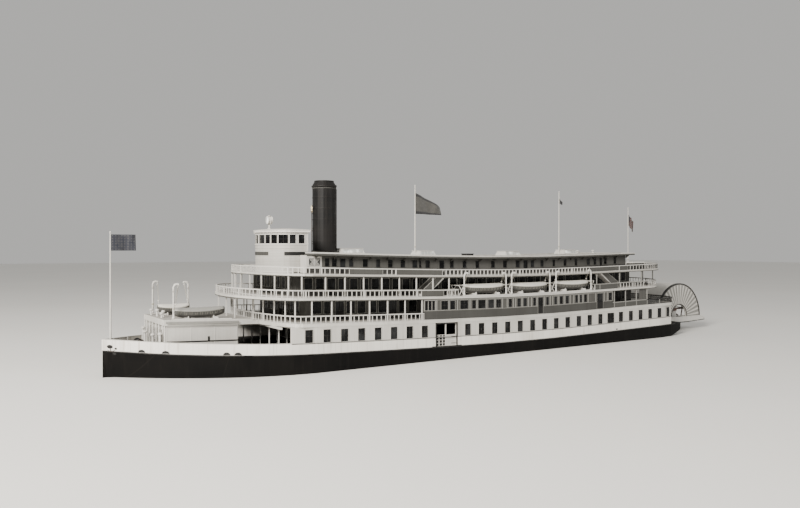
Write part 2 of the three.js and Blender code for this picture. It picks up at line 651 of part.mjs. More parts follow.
// The pilothouse stands plumb, so its slabs aren't bent to the sheer
function plumbSlab(plan, z0, z1) {
  const rings = plan.map(([feet, half]) => {
    return [[-half, z0], [half, z0], [half, z1], [-half, z1]].map(([y, z]) => {
      return new THREE.Vector3(alongX(feet), y * FT, z);
    });
  });
  return skin(rings);
}

function buildTexas() {
  const ceiling = ROOF_TOP - ROOF_THICK;
  const hatches = STAIRS.flatMap(([, foot, head]) => {
    const low = Math.min(foot, head) - HATCH_MARGIN;
    const high = Math.max(foot, head) + HATCH_MARGIN;
    const [inner, outer] = [STAIR.inner - HATCH_MARGIN, STAIR.outer + HATCH_MARGIN];
    return [[inner, outer], [-outer, -inner]].map(([y0, y1]) => {
      return block(low, high, y0, y1, levelZ(28), levelZ(33));
    });
  });
  const deck = slab(roundedPlan(TEXAS_PLAN), TEXAS_FLOOR - TEXAS_THICK, TEXAS_FLOOR);
  addPart("texas_deck", cut(deck, hatches), "deckGrey");

  const rail = railRing((inset) => roundedPlan(TEXAS_PLAN, inset), TEXAS_FLOOR, TEXAS_RAIL);
  const places = [
    ...endPosts(TEXAS_PLAN, true, 6),
    ...sidePosts(TEXAS_PLAN, 62, 222, POST_SPACING * 4),
    ...endPosts(TEXAS_PLAN, false, 4),
  ];
  addPart("texas_rail", join([rail, ...posts(places, TEXAS_FLOOR, TEXAS_FLOOR + TEXAS_RAIL)]), "houseWhite");

  const pilotFloor = seatZ(TEXAS_FLOOR, PILOTHOUSE.fore, PILOTHOUSE.aft);
  const pilotSheer = sheerAt(PILOTHOUSE.fore + PILOTHOUSE.foreRun);
  const pilotTop = levelZ(PILOTHOUSE.top + pilotSheer);
  const notch = plumbSlab(pilothousePlan(-0.05), levelZ(20), levelZ(60));
  const texasWalls = walls(squarePlan(TEXAS_CABIN), squarePlan(TEXAS_CABIN, WALL), TEXAS_FLOOR, ceiling);
  addPart("texas_cabin", texasWalls.subtract(notch), "houseWhite");

  const roof = slab(squarePlan(TEXAS_ROOF), ceiling, ROOF_TOP);
  const skylights = SKYLIGHTS.map(([middle, length, half, height]) => {
    const foot = deckZ(ROOF_TOP, middle) - 0.6 * FT;
    return block(middle - length / 2, middle + length / 2, -half, half, foot, foot + (height + 0.6) * FT);
  });
  addPart("texas_roof", join([roof.subtract(notch), ...skylights]), "deckGrey");

  buildPilothouse(pilotFloor, pilotTop, pilotSheer);
}

// Walls of the pilothouse with a window in each bay of the front and the sides
function buildPilothouse(floor, top, rise) {
  const outside = plumbSlab(pilothousePlan(), floor, top);
  const inside = plumbSlab(pilothousePlan(WALL), floor - 20, top + 20);
  const sill = levelZ(PILOT_WINDOWS.sill + rise);
  const head = levelZ(PILOT_WINDOWS.head + rise);
  const centre = PILOTHOUSE.fore + PILOTHOUSE.foreRun;
  const rim = (angle, scale) => new THREE.Vector2(
    alongX(centre) + scale * PILOTHOUSE.foreRun * FT * Math.cos(angle),
    scale * PILOTHOUSE.half * FT * Math.sin(angle),
  );
  const cutters = ROUND_WINDOWS.flatMap(([from, to]) => [[from, to], [-to, -from]]).map((bay) => {
    const [a, b] = bay.map((degrees) => THREE.MathUtils.degToRad(degrees));
    const shape = new THREE.Shape([rim(a, 0.7), rim(a, 1.25), rim(b, 1.25), rim(b, 0.7)]);
    const prism = new THREE.ExtrudeGeometry(shape, { depth: head - sill, bevelEnabled: false });
    prism.translate(0, 0, sill);
    return solid(prism);
  });
  const across = PILOTHOUSE.half + 2;
  for (const [fore, aft] of SIDE_WINDOWS) cutters.push(block(fore, aft, -across, across, sill, head));
  const [rearFore, rearAft] = [PILOTHOUSE.aft - 2, PILOTHOUSE.aft + 2];
  cutters.push(block(rearFore, rearAft, -REAR_WINDOW_HALF, REAR_WINDOW_HALF, sill, head));
  addPart("pilothouse", cut(outside.subtract(inside), cutters), "houseWhite");

  const roofPlan = pilothousePlan(-PILOTHOUSE.overhang);
  const roof = plumbSlab(roofPlan, top + GAP, top + GAP + PILOTHOUSE.roof * FT);
  addPart("pilothouse_roof", roof, "deckGrey");

  const lamp = SEARCHLIGHT;
  const x = alongX(lamp.at);
  const foot = top + GAP + PILOTHOUSE.roof * FT + GAP;
  const stem = bar(lamp.stemRadius * FT, lamp.stem * FT, "z", 8, [x, 0, foot + (lamp.stem / 2) * FT]);
  const drum = bar(lamp.drum * FT, lamp.drumLength * FT, "x", 14, [x, 0, foot + lamp.drumHeight * FT]);
  addPart("searchlight", stem.add(drum), "houseWhite");
}

// Funnel: a hollow drum with a flared cap
function buildFunnel() {
  const base = FUNNEL.radius + 0.4;
  const foot = seatZ(ROOF_TOP, FUNNEL.at - base, FUNNEL.at + base);
  const height = (levelZ(FUNNEL.top) - foot) / FT;
  const inner = FUNNEL.radius - FUNNEL.wall;
  // Profile of the wall: radius, height
  const profile = [
    [inner, 0], [base, 0], [base, 0.7], [FUNNEL.radius, 1], [FUNNEL.radius, height - FUNNEL.capDepth - 0.6],
    [FUNNEL.capRadius, height - FUNNEL.capDepth], [FUNNEL.mouth, height], [FUNNEL.mouth - 0.2, height],
    [inner, height - FUNNEL.capDepth], [inner, 0],
  ].map(([r, z]) => new THREE.Vector2(r * FT, z * FT));
  const geometry = new THREE.LatheGeometry(profile, 24);
  geometry.rotateX(Math.PI / 2);
  geometry.translate(alongX(FUNNEL.at), 0, foot);
  addPart("funnel", solid(geometry), "funnelBlack");
}

// Where a pole stands and how it tapers to half the radius of its foot
function poleNamed(wanted) {
  const [, at, deck, top, radius] = POLES.find(([name]) => name === wanted);
  const foot = seatZ(deck, at - radius, at + radius);
  const tip = levelZ(top);
  const radiusAt = (z) => radius * FT * (1 - (0.5 * (z - foot)) / (tip - foot));
  return { at, foot, tip, radiusAt };
}

// Poles with their flags flying aft
function buildPoles() {
  for (const [name] of POLES) {
    const { at, foot, tip, radiusAt } = poleNamed(name);
    const middle = [alongX(at), 0, (foot + tip) / 2];
    addPart(name, bar(radiusAt(foot), tip - foot, "z", 8, middle, radiusAt(tip)), "houseWhite");
  }
  for (const [name, poleName, top, hoist, fly, share, droop] of FLAGS) {
    const { at, radiusAt } = poleNamed(poleName);
    const hoistEdge = [levelZ(top - hoist), levelZ(top)].map((z) => [alongX(at) - radiusAt(z) - GAP, z]);
    const middle = top - hoist / 2 - droop;
    const half = (hoist / 2) * share;
    const flyEdge = [middle - half, middle + half].map((height) => [alongX(at + fly), levelZ(height)]);
    const thick = (FLAG_THICK / 2) * FT;
    const rings = [hoistEdge, flyEdge].map(([[x0, z0], [x1, z1]]) => [
      new THREE.Vector3(x0, -thick, z0), new THREE.Vector3(x0, thick, z0),
      new THREE.Vector3(x1, thick, z1), new THREE.Vector3(x1, -thick, z1),
    ]);
    addPart(name, skin(rings), name === "burgee" ? "flagPale" : "flagDark");
  }
}

// Piece turned about the wheel's shaft, drawn first as standing straight up from it
function aboutShaft(geometry, angle) {
  geometry.rotateY(angle);
  geometry.translate(alongX(WHEEL.at), 0, levelZ(WHEEL.height));
  return solid(geometry);
}

function flatRing(outer, inner, y0, y1, sides) {
  const shape = new THREE.Shape();
  shape.absarc(0, 0, outer * FT, 0, Math.PI * 2);
  const hole = new THREE.Path();
  hole.absarc(0, 0, inner * FT, 0, Math.PI * 2, true);
  shape.holes.push(hole);
  const settings = { depth: (y1 - y0) * FT, bevelEnabled: false, curveSegments: sides };
  const geometry = new THREE.ExtrudeGeometry(shape, settings);
  geometry.rotateX(Math.PI / 2);
  geometry.translate(0, y1 * FT, 0);
  return geometry;
}

// Paddle wheel: shaft, frames with their arms, rims, buckets and the two cranks
function buildWheel() {
  const shaftLength = 2 * CRANK.outer * FT;
  const shaft = new THREE.CylinderGeometry(SHAFT_RADIUS * FT, SHAFT_RADIUS * FT, shaftLength, SHAFT_SIDES);
  const pieces = [aboutShaft(shaft, 0)];
  const armLength = 2 * (WHEEL.radius - 0.4) * FT;
  const step = (Math.PI * 2) / BUCKETS.count;
  const rim = WHEEL_RIM;
  for (const y of WHEEL_FRAMES) {
    const hub = new THREE.CylinderGeometry(HUB.radius * FT, HUB.radius * FT, 2 * HUB.half * FT, 10);
    hub.translate(0, y * FT, 0);
    pieces.push(aboutShaft(hub, 0));
    for (let arm = 0; arm < BUCKETS.count / 2; arm += 1) {
      const geometry = new THREE.BoxGeometry(ARM.depth * FT, ARM.thick * FT, armLength);
      geometry.translate(0, y * FT, 0);
      pieces.push(aboutShaft(geometry, step * arm));
    }
    const ringOf = flatRing(rim.outer, rim.outer - rim.depth, y - rim.half, y + rim.half, BUCKETS.count / 2);
    pieces.push(aboutShaft(ringOf, 0));
  }
  for (let bucket = 0; bucket < BUCKETS.count; bucket += 1) {
    const geometry = new THREE.BoxGeometry(BUCKETS.thick * FT, 2 * WHEEL.half * FT, BUCKETS.depth * FT);
    geometry.translate(BUCKETS.ahead * FT, 0, (WHEEL.radius - BUCKETS.depth / 2) * FT);
    pieces.push(aboutShaft(geometry, step * bucket));
  }
  const crankWide = (CRANK.outer - CRANK.inner) * FT;
  for (const [side, angle] of [[1, Math.PI / 2], [-1, 0]]) {
    const middle = side * ((CRANK.inner + CRANK.outer) / 2);
    const crank = new THREE.BoxGeometry(CRANK.width * FT, crankWide, (CRANK.throw + 1.6) * FT);
    crank.translate(0, middle * FT, (CRANK.throw / 2) * FT);
    pieces.push(aboutShaft(crank, angle));
  }
  addPart("paddle_wheel", join(pieces), "wheelTimber");
}

// Fan-shaped sides of the wheel housing, with the curved splash guard over the wheel's forward quarter
function buildWheelHousing() {
  const base = levelZ(FAN.base) + GAP;
  const centreX = alongX(WHEEL.at);
  const fan = (inner, outer, from, to, y0, y1) => {
    const shape = new THREE.Shape();
    shape.absarc(0, 0, outer * FT, from, to, false);
    shape.absarc(0, 0, inner * FT, to, from, true);
    const settings = { depth: (y1 - y0) * FT, bevelEnabled: false, curveSegments: 8 };
    const geometry = new THREE.ExtrudeGeometry(shape, settings);
    geometry.rotateX(Math.PI / 2);
    geometry.translate(centreX, y1 * FT, base);
    return solid(geometry);
  };
  const port = fan(FAN.eye, FAN.radius, 0, Math.PI, FAN.inner, FAN.outer);
  const starboard = fan(FAN.eye, FAN.radius, 0, Math.PI, -FAN.outer, -FAN.inner);
  const { thick, from } = SPLASH_GUARD;
  const guard = fan(FAN.radius - thick, FAN.radius, from, Math.PI / 2, -FAN.outer + 0.1, FAN.outer - 0.1);
  addPart("wheel_housing", join([port, starboard, guard]), "houseWhite");
}

// Timbers that carry the wheel and the guard outside it, tied by a beam across the transom
function buildSternTimbers() {
  const outline = TIMBER_OUTLINE.map(([feet, height]) => new THREE.Vector2(alongX(feet), levelZ(height)));
  const shape = new THREE.Shape(outline);
  const { inner, beamOuter, guardInner, outer, fore } = TIMBER;
  const bands = [[inner, beamOuter], [guardInner, outer], [-beamOuter, -inner], [-outer, -guardInner]];
  const sides = bands.map(([y0, y1]) => {
    const geometry = new THREE.ExtrudeGeometry(shape, { depth: (y1 - y0) * FT, bevelEnabled: false });
    geometry.rotateX(Math.PI / 2);
    geometry.translate(0, y1 * FT, 0);
    return solid(geometry);
  });
  const { depth, low, high } = TRANSOM_BEAM;
  const beam = block(fore, fore + depth, -outer, outer, levelZ(low), levelZ(high));
  const tip = TIMBER_TIP;
  const tips = [inner, -outer].map((near) => {
    return block(tip.fore, tip.aft, near, near + outer - inner, levelZ(tip.low), levelZ(tip.high));
  });
  const [bearingFore, bearingAft] = [WHEEL.at - BEARING_HALF, WHEEL.at + BEARING_HALF];
  const bearings = [[inner, beamOuter - 0.05], [0.05 - beamOuter, -inner]].map(([y0, y1]) => {
    return block(bearingFore, bearingAft, y0, y1, levelZ(6), levelZ(WHEEL.height + BEARING_HALF));
  });
  const centre = [alongX(WHEEL.at), 0, levelZ(WHEEL.height)];
  const bore = bar(BORE_RADIUS * FT, 3 * outer * FT, "y", SHAFT_SIDES, centre);
  addPart("stern_timbers", join([...sides, beam, ...tips, ...bearings]).subtract(bore), "houseWhite");
}

const ROD_END = 0.6;

// Connecting rods, engines and boilers
function buildMachinery() {
  const pins = [
    ["pitman_port", 1, new THREE.Vector2(alongX(WHEEL.at - CRANK.throw), levelZ(WHEEL.height))],
    ["pitman_starboard", -1, new THREE.Vector2(alongX(WHEEL.at), levelZ(WHEEL.height + CRANK.throw))],
  ];
  for (const [name, side, pin] of pins) {
    const foot = new THREE.Vector2(alongX(ENGINE.aft), levelZ(PITMAN.footHeight));
    const slope = Math.abs((pin.y - foot.y) / (pin.x - foot.x));
    foot.x -= ROD_END * FT + slope * (PITMAN.depth / 2) * FT + GAP;
    const run = foot.clone().sub(pin);
    const wide = (PITMAN.outer - PITMAN.inner) * FT;
    const geometry = new THREE.BoxGeometry(run.length() + 2 * ROD_END * FT, wide, PITMAN.depth * FT);
    geometry.rotateY(-run.angle());
    const middle = foot.clone().add(pin).multiplyScalar(0.5);
    geometry.translate(middle.x, side * ((PITMAN.inner + PITMAN.outer) / 2) * FT, middle.y);
    addPart(name, solid(geometry), "ironDark");
  }
  const engineFloor = seatZ(MAIN_DECK, ENGINE.fore, ENGINE.aft);
  const engineSides = [
    ["engine_port", ENGINE.inner, ENGINE.outer], ["engine_starboard", -ENGINE.outer, -ENGINE.inner],
  ];
  for (const [name, y0, y1] of engineSides) {
    addPart(name, block(ENGINE.fore, ENGINE.aft, y0, y1, engineFloor, levelZ(ENGINE.top)), "ironDark");
  }
  const { fore, aft, half, top } = BOILERS;
  addPart("boilers", block(fore, aft, -half, half, seatZ(MAIN_DECK, fore, aft), levelZ(top)), "ironDark");
}

// Blades with their stocks reaching up to the underside of the hull
function buildRudders() {
  const top = rakeHeight(RUDDER.fore) - 0.35;
  for (const [name, offset] of RUDDERS) {
    const blade = block(RUDDER.fore, RUDDER.aft, offset - RUDDER.thick / 2, offset + RUDDER.thick / 2,
      levelZ(RUDDER.bottom), levelZ(top));
    const stockTop = levelZ(rakeHeight(RUDDER.stock - RUDDER.stockRadius)) - GAP;
    const stockFoot = levelZ(top - 0.5);
    const middle = [alongX(RUDDER.stock), offset * FT, (stockTop + stockFoot) / 2];
    const stock = bar(RUDDER.stockRadius * FT, stockTop - stockFoot, "z", 10, middle);
    addPart(name, blade.add(stock), "hullBlack");
  }
}

// Open boat under a canvas cover: sections along its length as share of breadth and of depth
const BOAT_SECTIONS = [
  [-0.5, 0.06, 0.5], [-0.42, 0.5, 0.2], [-0.25, 0.88, 0.04], [0, 1, 0], [0.25, 0.88, 0.04], [0.42, 0.5, 0.2],
  [0.5, 0.06, 0.5],
];
function boat(form, at, y, floor) {
  const rings = BOAT_SECTIONS.map(([share, breadth, rise]) => {
    const half = form.half * breadth * FT;
    const keel = form.depth * rise * FT;
    const gunwale = form.depth * (1 + 0.25 * (2 * share) ** 2) * FT;
    const crown = gunwale + form.crown * (0.35 + 0.65 * breadth) * FT;
    const x = alongX(at + share * form.length);
    const section = [
      [0, keel], [half * 0.62, keel + form.depth * 0.18 * FT], [half * 0.95, keel + (gunwale - keel) * 0.6],
      [half, gunwale], [0, crown], [-half, gunwale], [-half * 0.95, keel + (gunwale - keel) * 0.6],
      [-half * 0.62, keel + form.depth * 0.18 * FT],
    ];
    return section.map(([side, z]) => new THREE.Vector3(x, y * FT + side, floor + z));
  });
  return skin(rings);
}

// Round-headed davit: an upright with a head bent fore or aft, drawn as a swept bar
function davit(at, y, foot, height, towards) {
  const radius = DAVIT.radius * FT;
  const path = new THREE.CurvePath();
  const x = alongX(at);
  const bend = DAVIT.reach * FT;
  const shoulder = foot + height * FT - bend;
  path.add(new THREE.LineCurve3(new THREE.Vector3(x, y * FT, foot), new THREE.Vector3(x, y * FT, shoulder)));
  path.add(new THREE.QuadraticBezierCurve3(
    new THREE.Vector3(x, y * FT, shoulder),
    new THREE.Vector3(x, y * FT, shoulder + bend),
    new THREE.Vector3(x + towards * bend, y * FT, shoulder + bend * 0.85),
  ));
  const points = [...path.curves[0].getPoints(1), ...path.curves[1].getPoints(2).slice(1)];
  const rings = points.map((point, i) => {
    const before = points[Math.max(i - 1, 0)];
    const after = points[Math.min(i + 1, points.length - 1)];
    const run = after.clone().sub(before).normalize();
    const across = new THREE.Vector3(0, 1, 0);
    const side = run.clone().cross(across).normalize();
    return Array.from({ length: DAVIT.sides }, (_, k) => {
      const angle = (Math.PI * 2 * k) / DAVIT.sides;
      return point.clone()
        .addScaledVector(side, radius * Math.cos(angle))
        .addScaledVector(across, radius * Math.sin(angle));
    });
  });
  return skin(rings);
}

// Rise of a boat's keel over its lowest point, at a share of its length from the middle
const KEEL_RISE = BOAT_SECTIONS.map(([share, , rise]) => [share, rise]);
const keelRise = (form, share) => form.depth * readTable(KEEL_RISE, share) * FT;

// Davits of one boat and the chocks under it, reaching out to the footing plank
function boatGear(form, at, side, deck, footing, height) {
  const y = side * (footing.inner + footing.outer) / 2;
  const gear = form.ends.map((towards) => {
    const place = at + towards * form.span;
    return davit(place, y, deckZ(deck + footing.height / 2, place), height, towards);
  });
  const inner = form.offset - form.half * 0.6;
  const near = side > 0 ? inner : -footing.outer;
  const top = deckZ(form.keel, at) + keelRise(form, CHOCK.share - CHOCK.half / form.length) - GAP;
  for (const share of [-CHOCK.share, CHOCK.share]) {
    const place = at + form.shift + share * form.length;
    const [fore, aft] = [place - CHOCK.half, place + CHOCK.half];
    gear.push(block(fore, aft, near, near + footing.outer - inner, seatZ(deck, fore, aft), top));
  }
  return gear;
}

// Footing plank along one side from davit to davit
function footingPlank(fore, aft, side, deck, footing) {
  const near = side > 0 ? footing.inner : -footing.outer;
  return plank(fore, aft, near, near + footing.outer - footing.inner, deck, deck + footing.height, GAP, 0);
}

// Lifeboats on the observation deck and skiffs on the fore platform, with their davits
function buildBoats() {
  for (const [label, side] of [["port", 1], ["starboard", -1]]) {
    const reach = LIFEBOAT.span + DAVIT.past;
    const [first, last] = [LIFEBOATS_AT[0] - reach, LIFEBOATS_AT.at(-1) + reach];
    const gear = [footingPlank(first, last, side, OBSERVATION_FLOOR, BOAT_FOOTING)];
    LIFEBOATS_AT.forEach((at, i) => {
      const keel = deckZ(LIFEBOAT.keel, at);
      const place = at + LIFEBOAT.shift;
      addPart(`lifeboat_${label}_${i + 1}`, boat(LIFEBOAT, place, side * LIFEBOAT.offset, keel), "boatGrey");
      gear.push(...boatGear(LIFEBOAT, at, side, OBSERVATION_FLOOR, BOAT_FOOTING, DAVIT.height));
    });
    addPart(`davits_${label}`, join(gear), "houseWhite");
  }
  const { outer, height } = SKIFF_FOOTING;
  const { fore, aft } = SKIFF_TIE;
  const foreGear = [plank(fore, aft, -outer, outer, PLATFORM_TOP, PLATFORM_TOP + height, GAP, 0)];
  const skiffs = [["skiff_port", SKIFF_PORT, 1], ["skiff_starboard", SKIFF_STARBOARD, -1]];
  for (const [name, form, side] of skiffs) {
    const reach = form.span + DAVIT.past;
    addPart(name, boat(form, form.at, side * form.offset, deckZ(form.keel, form.at)), "boatGrey");
    foreGear.push(footingPlank(form.at - reach, form.at + reach, side, PLATFORM_TOP, SKIFF_FOOTING));
    foreGear.push(...boatGear(form, form.at, side, PLATFORM_TOP, SKIFF_FOOTING, FORE_DAVIT_HEIGHT));
  }
  addPart("davits_fore", join(foreGear), "houseWhite");
}

// Open stairs from the observation deck through the hatches of the texas deck
function buildStairs() {
  for (const [label, foot, head] of STAIRS) {
    const z0 = seatZ(OBSERVATION_FLOOR, foot - 0.5, foot + 0.5);
    const rise = (deckZ(TEXAS_FLOOR, head) - z0) / STAIR.steps;
    const run = ((head - foot) / STAIR.steps) * FT;
    const corners = [];
    for (let step = 0; step < STAIR.steps; step += 1) {
      corners.push([step * run, step * rise], [step * run, (step + 1) * rise]);
    }
    corners.push([STAIR.steps * run, STAIR.steps * rise]);
    corners.push([STAIR.steps * run, STAIR.steps * rise - STAIR.depth * FT], [run, 0]);
    const shape = new THREE.Shape(corners.map(([x, z]) => new THREE.Vector2(alongX(foot) - x, z0 + z)));
    const settings = { depth: (STAIR.outer - STAIR.inner) * FT, bevelEnabled: false };
    for (const [side, y1] of [["port", STAIR.outer], ["starboard", -STAIR.inner]]) {
      const geometry = new THREE.ExtrudeGeometry(shape, settings);
      geometry.rotateX(Math.PI / 2);
      geometry.translate(0, y1 * FT, 0);
      addPart(`stair_${side}_${label}`, solid(geometry), "houseWhite");
    }
  }
}

// Windlass: a drum between two cheeks on a bed
function buildWindlass() {
  const { fore, aft, half, drum, drumHeight } = WINDLASS;
  const floor = seatZ(MAIN_DECK, fore, aft);
  const bed = block(fore, aft, -half, half, floor, floor + 0.4 * FT);
  const cheeks = [-half, half - 0.4].map((near) => {
    return block(fore + 0.6, aft - 0.6, near, near + 0.4, floor, floor + (drumHeight + 0.5) * FT);
  });
  const middle = [alongX((fore + aft) / 2), 0, floor + drumHeight * FT];
  const barrel = bar(drum * FT, 2 * (half + 0.9) * FT, "y", 12, middle);
  addPart("windlass", join([bed, ...cheeks, barrel]), "ironDark");
}

buildHull();
buildMainDeck();
buildSaloonDeck();
buildObservationDeck();
buildTexas();
buildFunnel();
buildPoles();
buildWheel();
buildWheelHousing();
buildSternTimbers();
buildMachinery();
buildRudders();
buildBoats();
buildStairs();
buildWindlass();

export default vessel;
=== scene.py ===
"""Looks of a 1:10 scale model of a stern-wheel river steamer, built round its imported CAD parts.

Places are read as on the real vessel, in feet: abaft the stem, off the centreline (port is positive) and above
the waterline, with the sheer of the decks added. They become metres in the model's frame, where +X is the bow,
+Y is port and +Z is up.
"""

import json
import logging
import math
import sys
from dataclasses import dataclass
from enum import Enum
from typing import Iterable, Optional, Sequence

import bmesh
import bpy
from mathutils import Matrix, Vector

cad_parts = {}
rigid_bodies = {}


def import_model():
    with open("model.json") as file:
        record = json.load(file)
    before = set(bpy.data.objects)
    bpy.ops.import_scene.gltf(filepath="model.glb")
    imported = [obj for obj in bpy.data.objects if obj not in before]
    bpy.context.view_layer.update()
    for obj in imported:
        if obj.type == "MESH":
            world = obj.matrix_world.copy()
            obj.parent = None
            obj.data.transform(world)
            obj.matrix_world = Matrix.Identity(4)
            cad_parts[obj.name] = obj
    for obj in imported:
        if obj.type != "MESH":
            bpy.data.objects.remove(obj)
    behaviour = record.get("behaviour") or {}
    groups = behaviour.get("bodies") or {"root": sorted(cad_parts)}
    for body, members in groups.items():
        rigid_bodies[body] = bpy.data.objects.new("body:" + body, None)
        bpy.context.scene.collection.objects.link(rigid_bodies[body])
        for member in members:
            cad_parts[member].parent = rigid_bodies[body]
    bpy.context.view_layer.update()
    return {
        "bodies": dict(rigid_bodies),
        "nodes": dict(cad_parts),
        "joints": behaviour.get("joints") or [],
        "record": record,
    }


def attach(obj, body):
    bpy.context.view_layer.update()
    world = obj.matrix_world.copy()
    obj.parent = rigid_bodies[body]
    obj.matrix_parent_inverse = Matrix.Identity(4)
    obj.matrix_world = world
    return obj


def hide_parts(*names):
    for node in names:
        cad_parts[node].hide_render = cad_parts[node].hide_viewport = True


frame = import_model()

LOG = logging.getLogger("river_steamer")

# Scale of the model: metres for a foot of the real vessel
FT = 0.03048
LENGTH_OVERALL = 285.0
DRAFT = 7.0
WATERLINE = DRAFT * FT

# Rise of the decks: feet abaft the stem, feet of rise
SHEER = (
    (0.0, 4.1), (18.0, 3.2), (38.0, 2.5), (58.0, 1.9), (82.0, 1.2), (110.0, 0.5),
    (138.0, 0.05), (165.0, 0.05), (192.0, 0.45), (218.0, 1.0), (242.0, 1.4), (285.0, 1.6),
)

# Heights above the waterline at the lowest point of the sheer
MAIN_DECK = 4.4
BULWARK_TOP = 7.8
SALOON_FLOOR = 14.2
PLATFORM_TOP = 14.8
OBSERVATION_FLOOR = 22.4
TEXAS_FLOOR = 30.0
ROOF_TOP = 37.1

PORT, STARBOARD = 1, -1
BOTH = (PORT, STARBOARD)
SIDES = ((PORT, "port"), (STARBOARD, "starboard"))
X_AXIS, Y_AXIS, Z_AXIS = Vector((1.0, 0.0, 0.0)), Vector((0.0, 1.0, 0.0)), Vector((0.0, 0.0, 1.0))

# A place further aft than any deck
PAST_STERN = 400.0

# How far window panes stand off their wall, and the width over which a window has two of them, in feet
PANE_PROUD = 0.04
TWO_PANES_OVER = 2.4


def read_table(table: Sequence[tuple[float, float]], at: float) -> float:
    """Read a two-column table in a straight line between its rows.

    Args:
        table: Rows of place and value, in rising order of place.
        at: The place to read.

    Returns:
        The value there, held level past either end.
    """
    if at <= table[0][0]:
        return table[0][1]
    for (x0, y0), (x1, y1) in zip(table, table[1:]):
        if at <= x1:
            return y0 + (y1 - y0) * (at - x0) / (x1 - x0)
    return table[-1][1]


def sheer_at(feet: float) -> float:
    """Rise of the decks at a place abaft the stem, in feet."""
    return read_table(SHEER, feet)


def along(feet: float) -> float:
    """Metres of X at a place abaft the stem."""
    return (LENGTH_OVERALL / 2 - feet) * FT


def level(height: float) -> float:
    """Metres of Z at a height above the waterline."""
    return (DRAFT + height) * FT


def plumb(feet: float, across: float, height: float) -> Vector:
    """Point in metres, from feet abaft the stem, off the centreline and over the waterline."""
    return Vector((along(feet), across * FT, level(height)))


def spot(feet: float, across: float, height: float) -> Vector:
    """Point in the model's frame whose height is over the lowest point of the sheer.

    Args:
        feet: Feet abaft the stem.
        across: Feet off the centreline, positive to port.
        height: Feet above the waterline, to which the sheer at that place is added.

    Returns:
        The point in metres.
    """
    return plumb(feet, across, height + sheer_at(feet))


def move(x: float = 0.0, y: float = 0.0, z: float = 0.0) -> Vector:
    """Shift in the model's frame, from feet along each axis."""
    return Vector((x * FT, y * FT, z * FT))


def spokes(first: Vector, second: Vector, count: int) -> list[Vector]:
    """Directions spread evenly round a circle, from the first one by way of the second."""
    angles = [2 * math.pi * step / count for step in range(count)]
    return [first * math.cos(angle) + second * math.sin(angle) for angle in angles]


def stations(fore: float, aft: float) -> list[float]:
    """Places between two ends at which a strip has to bend with the sheer."""
    return [fore, *(feet for feet, _ in SHEER if fore + 0.2 < feet < aft - 0.2), aft]


# Finishes


class Facing(Enum):
    """Which faces of a painted piece take the second colour."""

    NONE = "none"
    TOPS = "tops"


class Boards(Enum):
    """Direction in which the seams between boards follow each other."""

    NONE = (0.0, 0.0, 0.0)
    WALLS = (1.0, 1.0, 0.0)
    ACROSS = (0.0, 1.0, 0.0)
    UPWARDS = (0.0, 0.0, 1.0)


@dataclass(frozen=True)
class Paint:
    """A painted or bare surface with its seams, streaks and wear."""

    name: str
    colour: tuple[float, float, float]
    soil: tuple[float, float, float]
    roughness: float = 0.5
    metallic: float = 0.0
    boards: Boards = Boards.NONE
    pitch: float = 0.012
    seam: float = 0.05
    streaks: float = 0.35
    mottle: float = 0.25
    wear: float = 0.3
    bare: tuple[float, float, float] = (0.28, 0.26, 0.23)
    relief: float = 0.25
    tops: Facing = Facing.NONE
    top_colour: tuple[float, float, float] = (0.3, 0.29, 0.27)
    specular: float = 0.5


@dataclass(frozen=True)
class Glass:
    """Glass of a window, a skylight or a lamp, seen from outside."""

    name: str
    colour: tuple[float, float, float]
    roughness: float = 0.12
    specular: float = 0.14


class FlagPattern(Enum):
    """What is sewn on a flag."""

    STARS = "stars"
    STRIPES = "stripes"
    BORDERED = "bordered"
    PLAIN = "plain"


@dataclass(frozen=True)
class Cloth:
    """Woven flag cloth with its pattern laid on the flag's own map."""

    name: str
    pattern: FlagPattern
    field: tuple[float, float, float]
    mark: tuple[float, float, float]


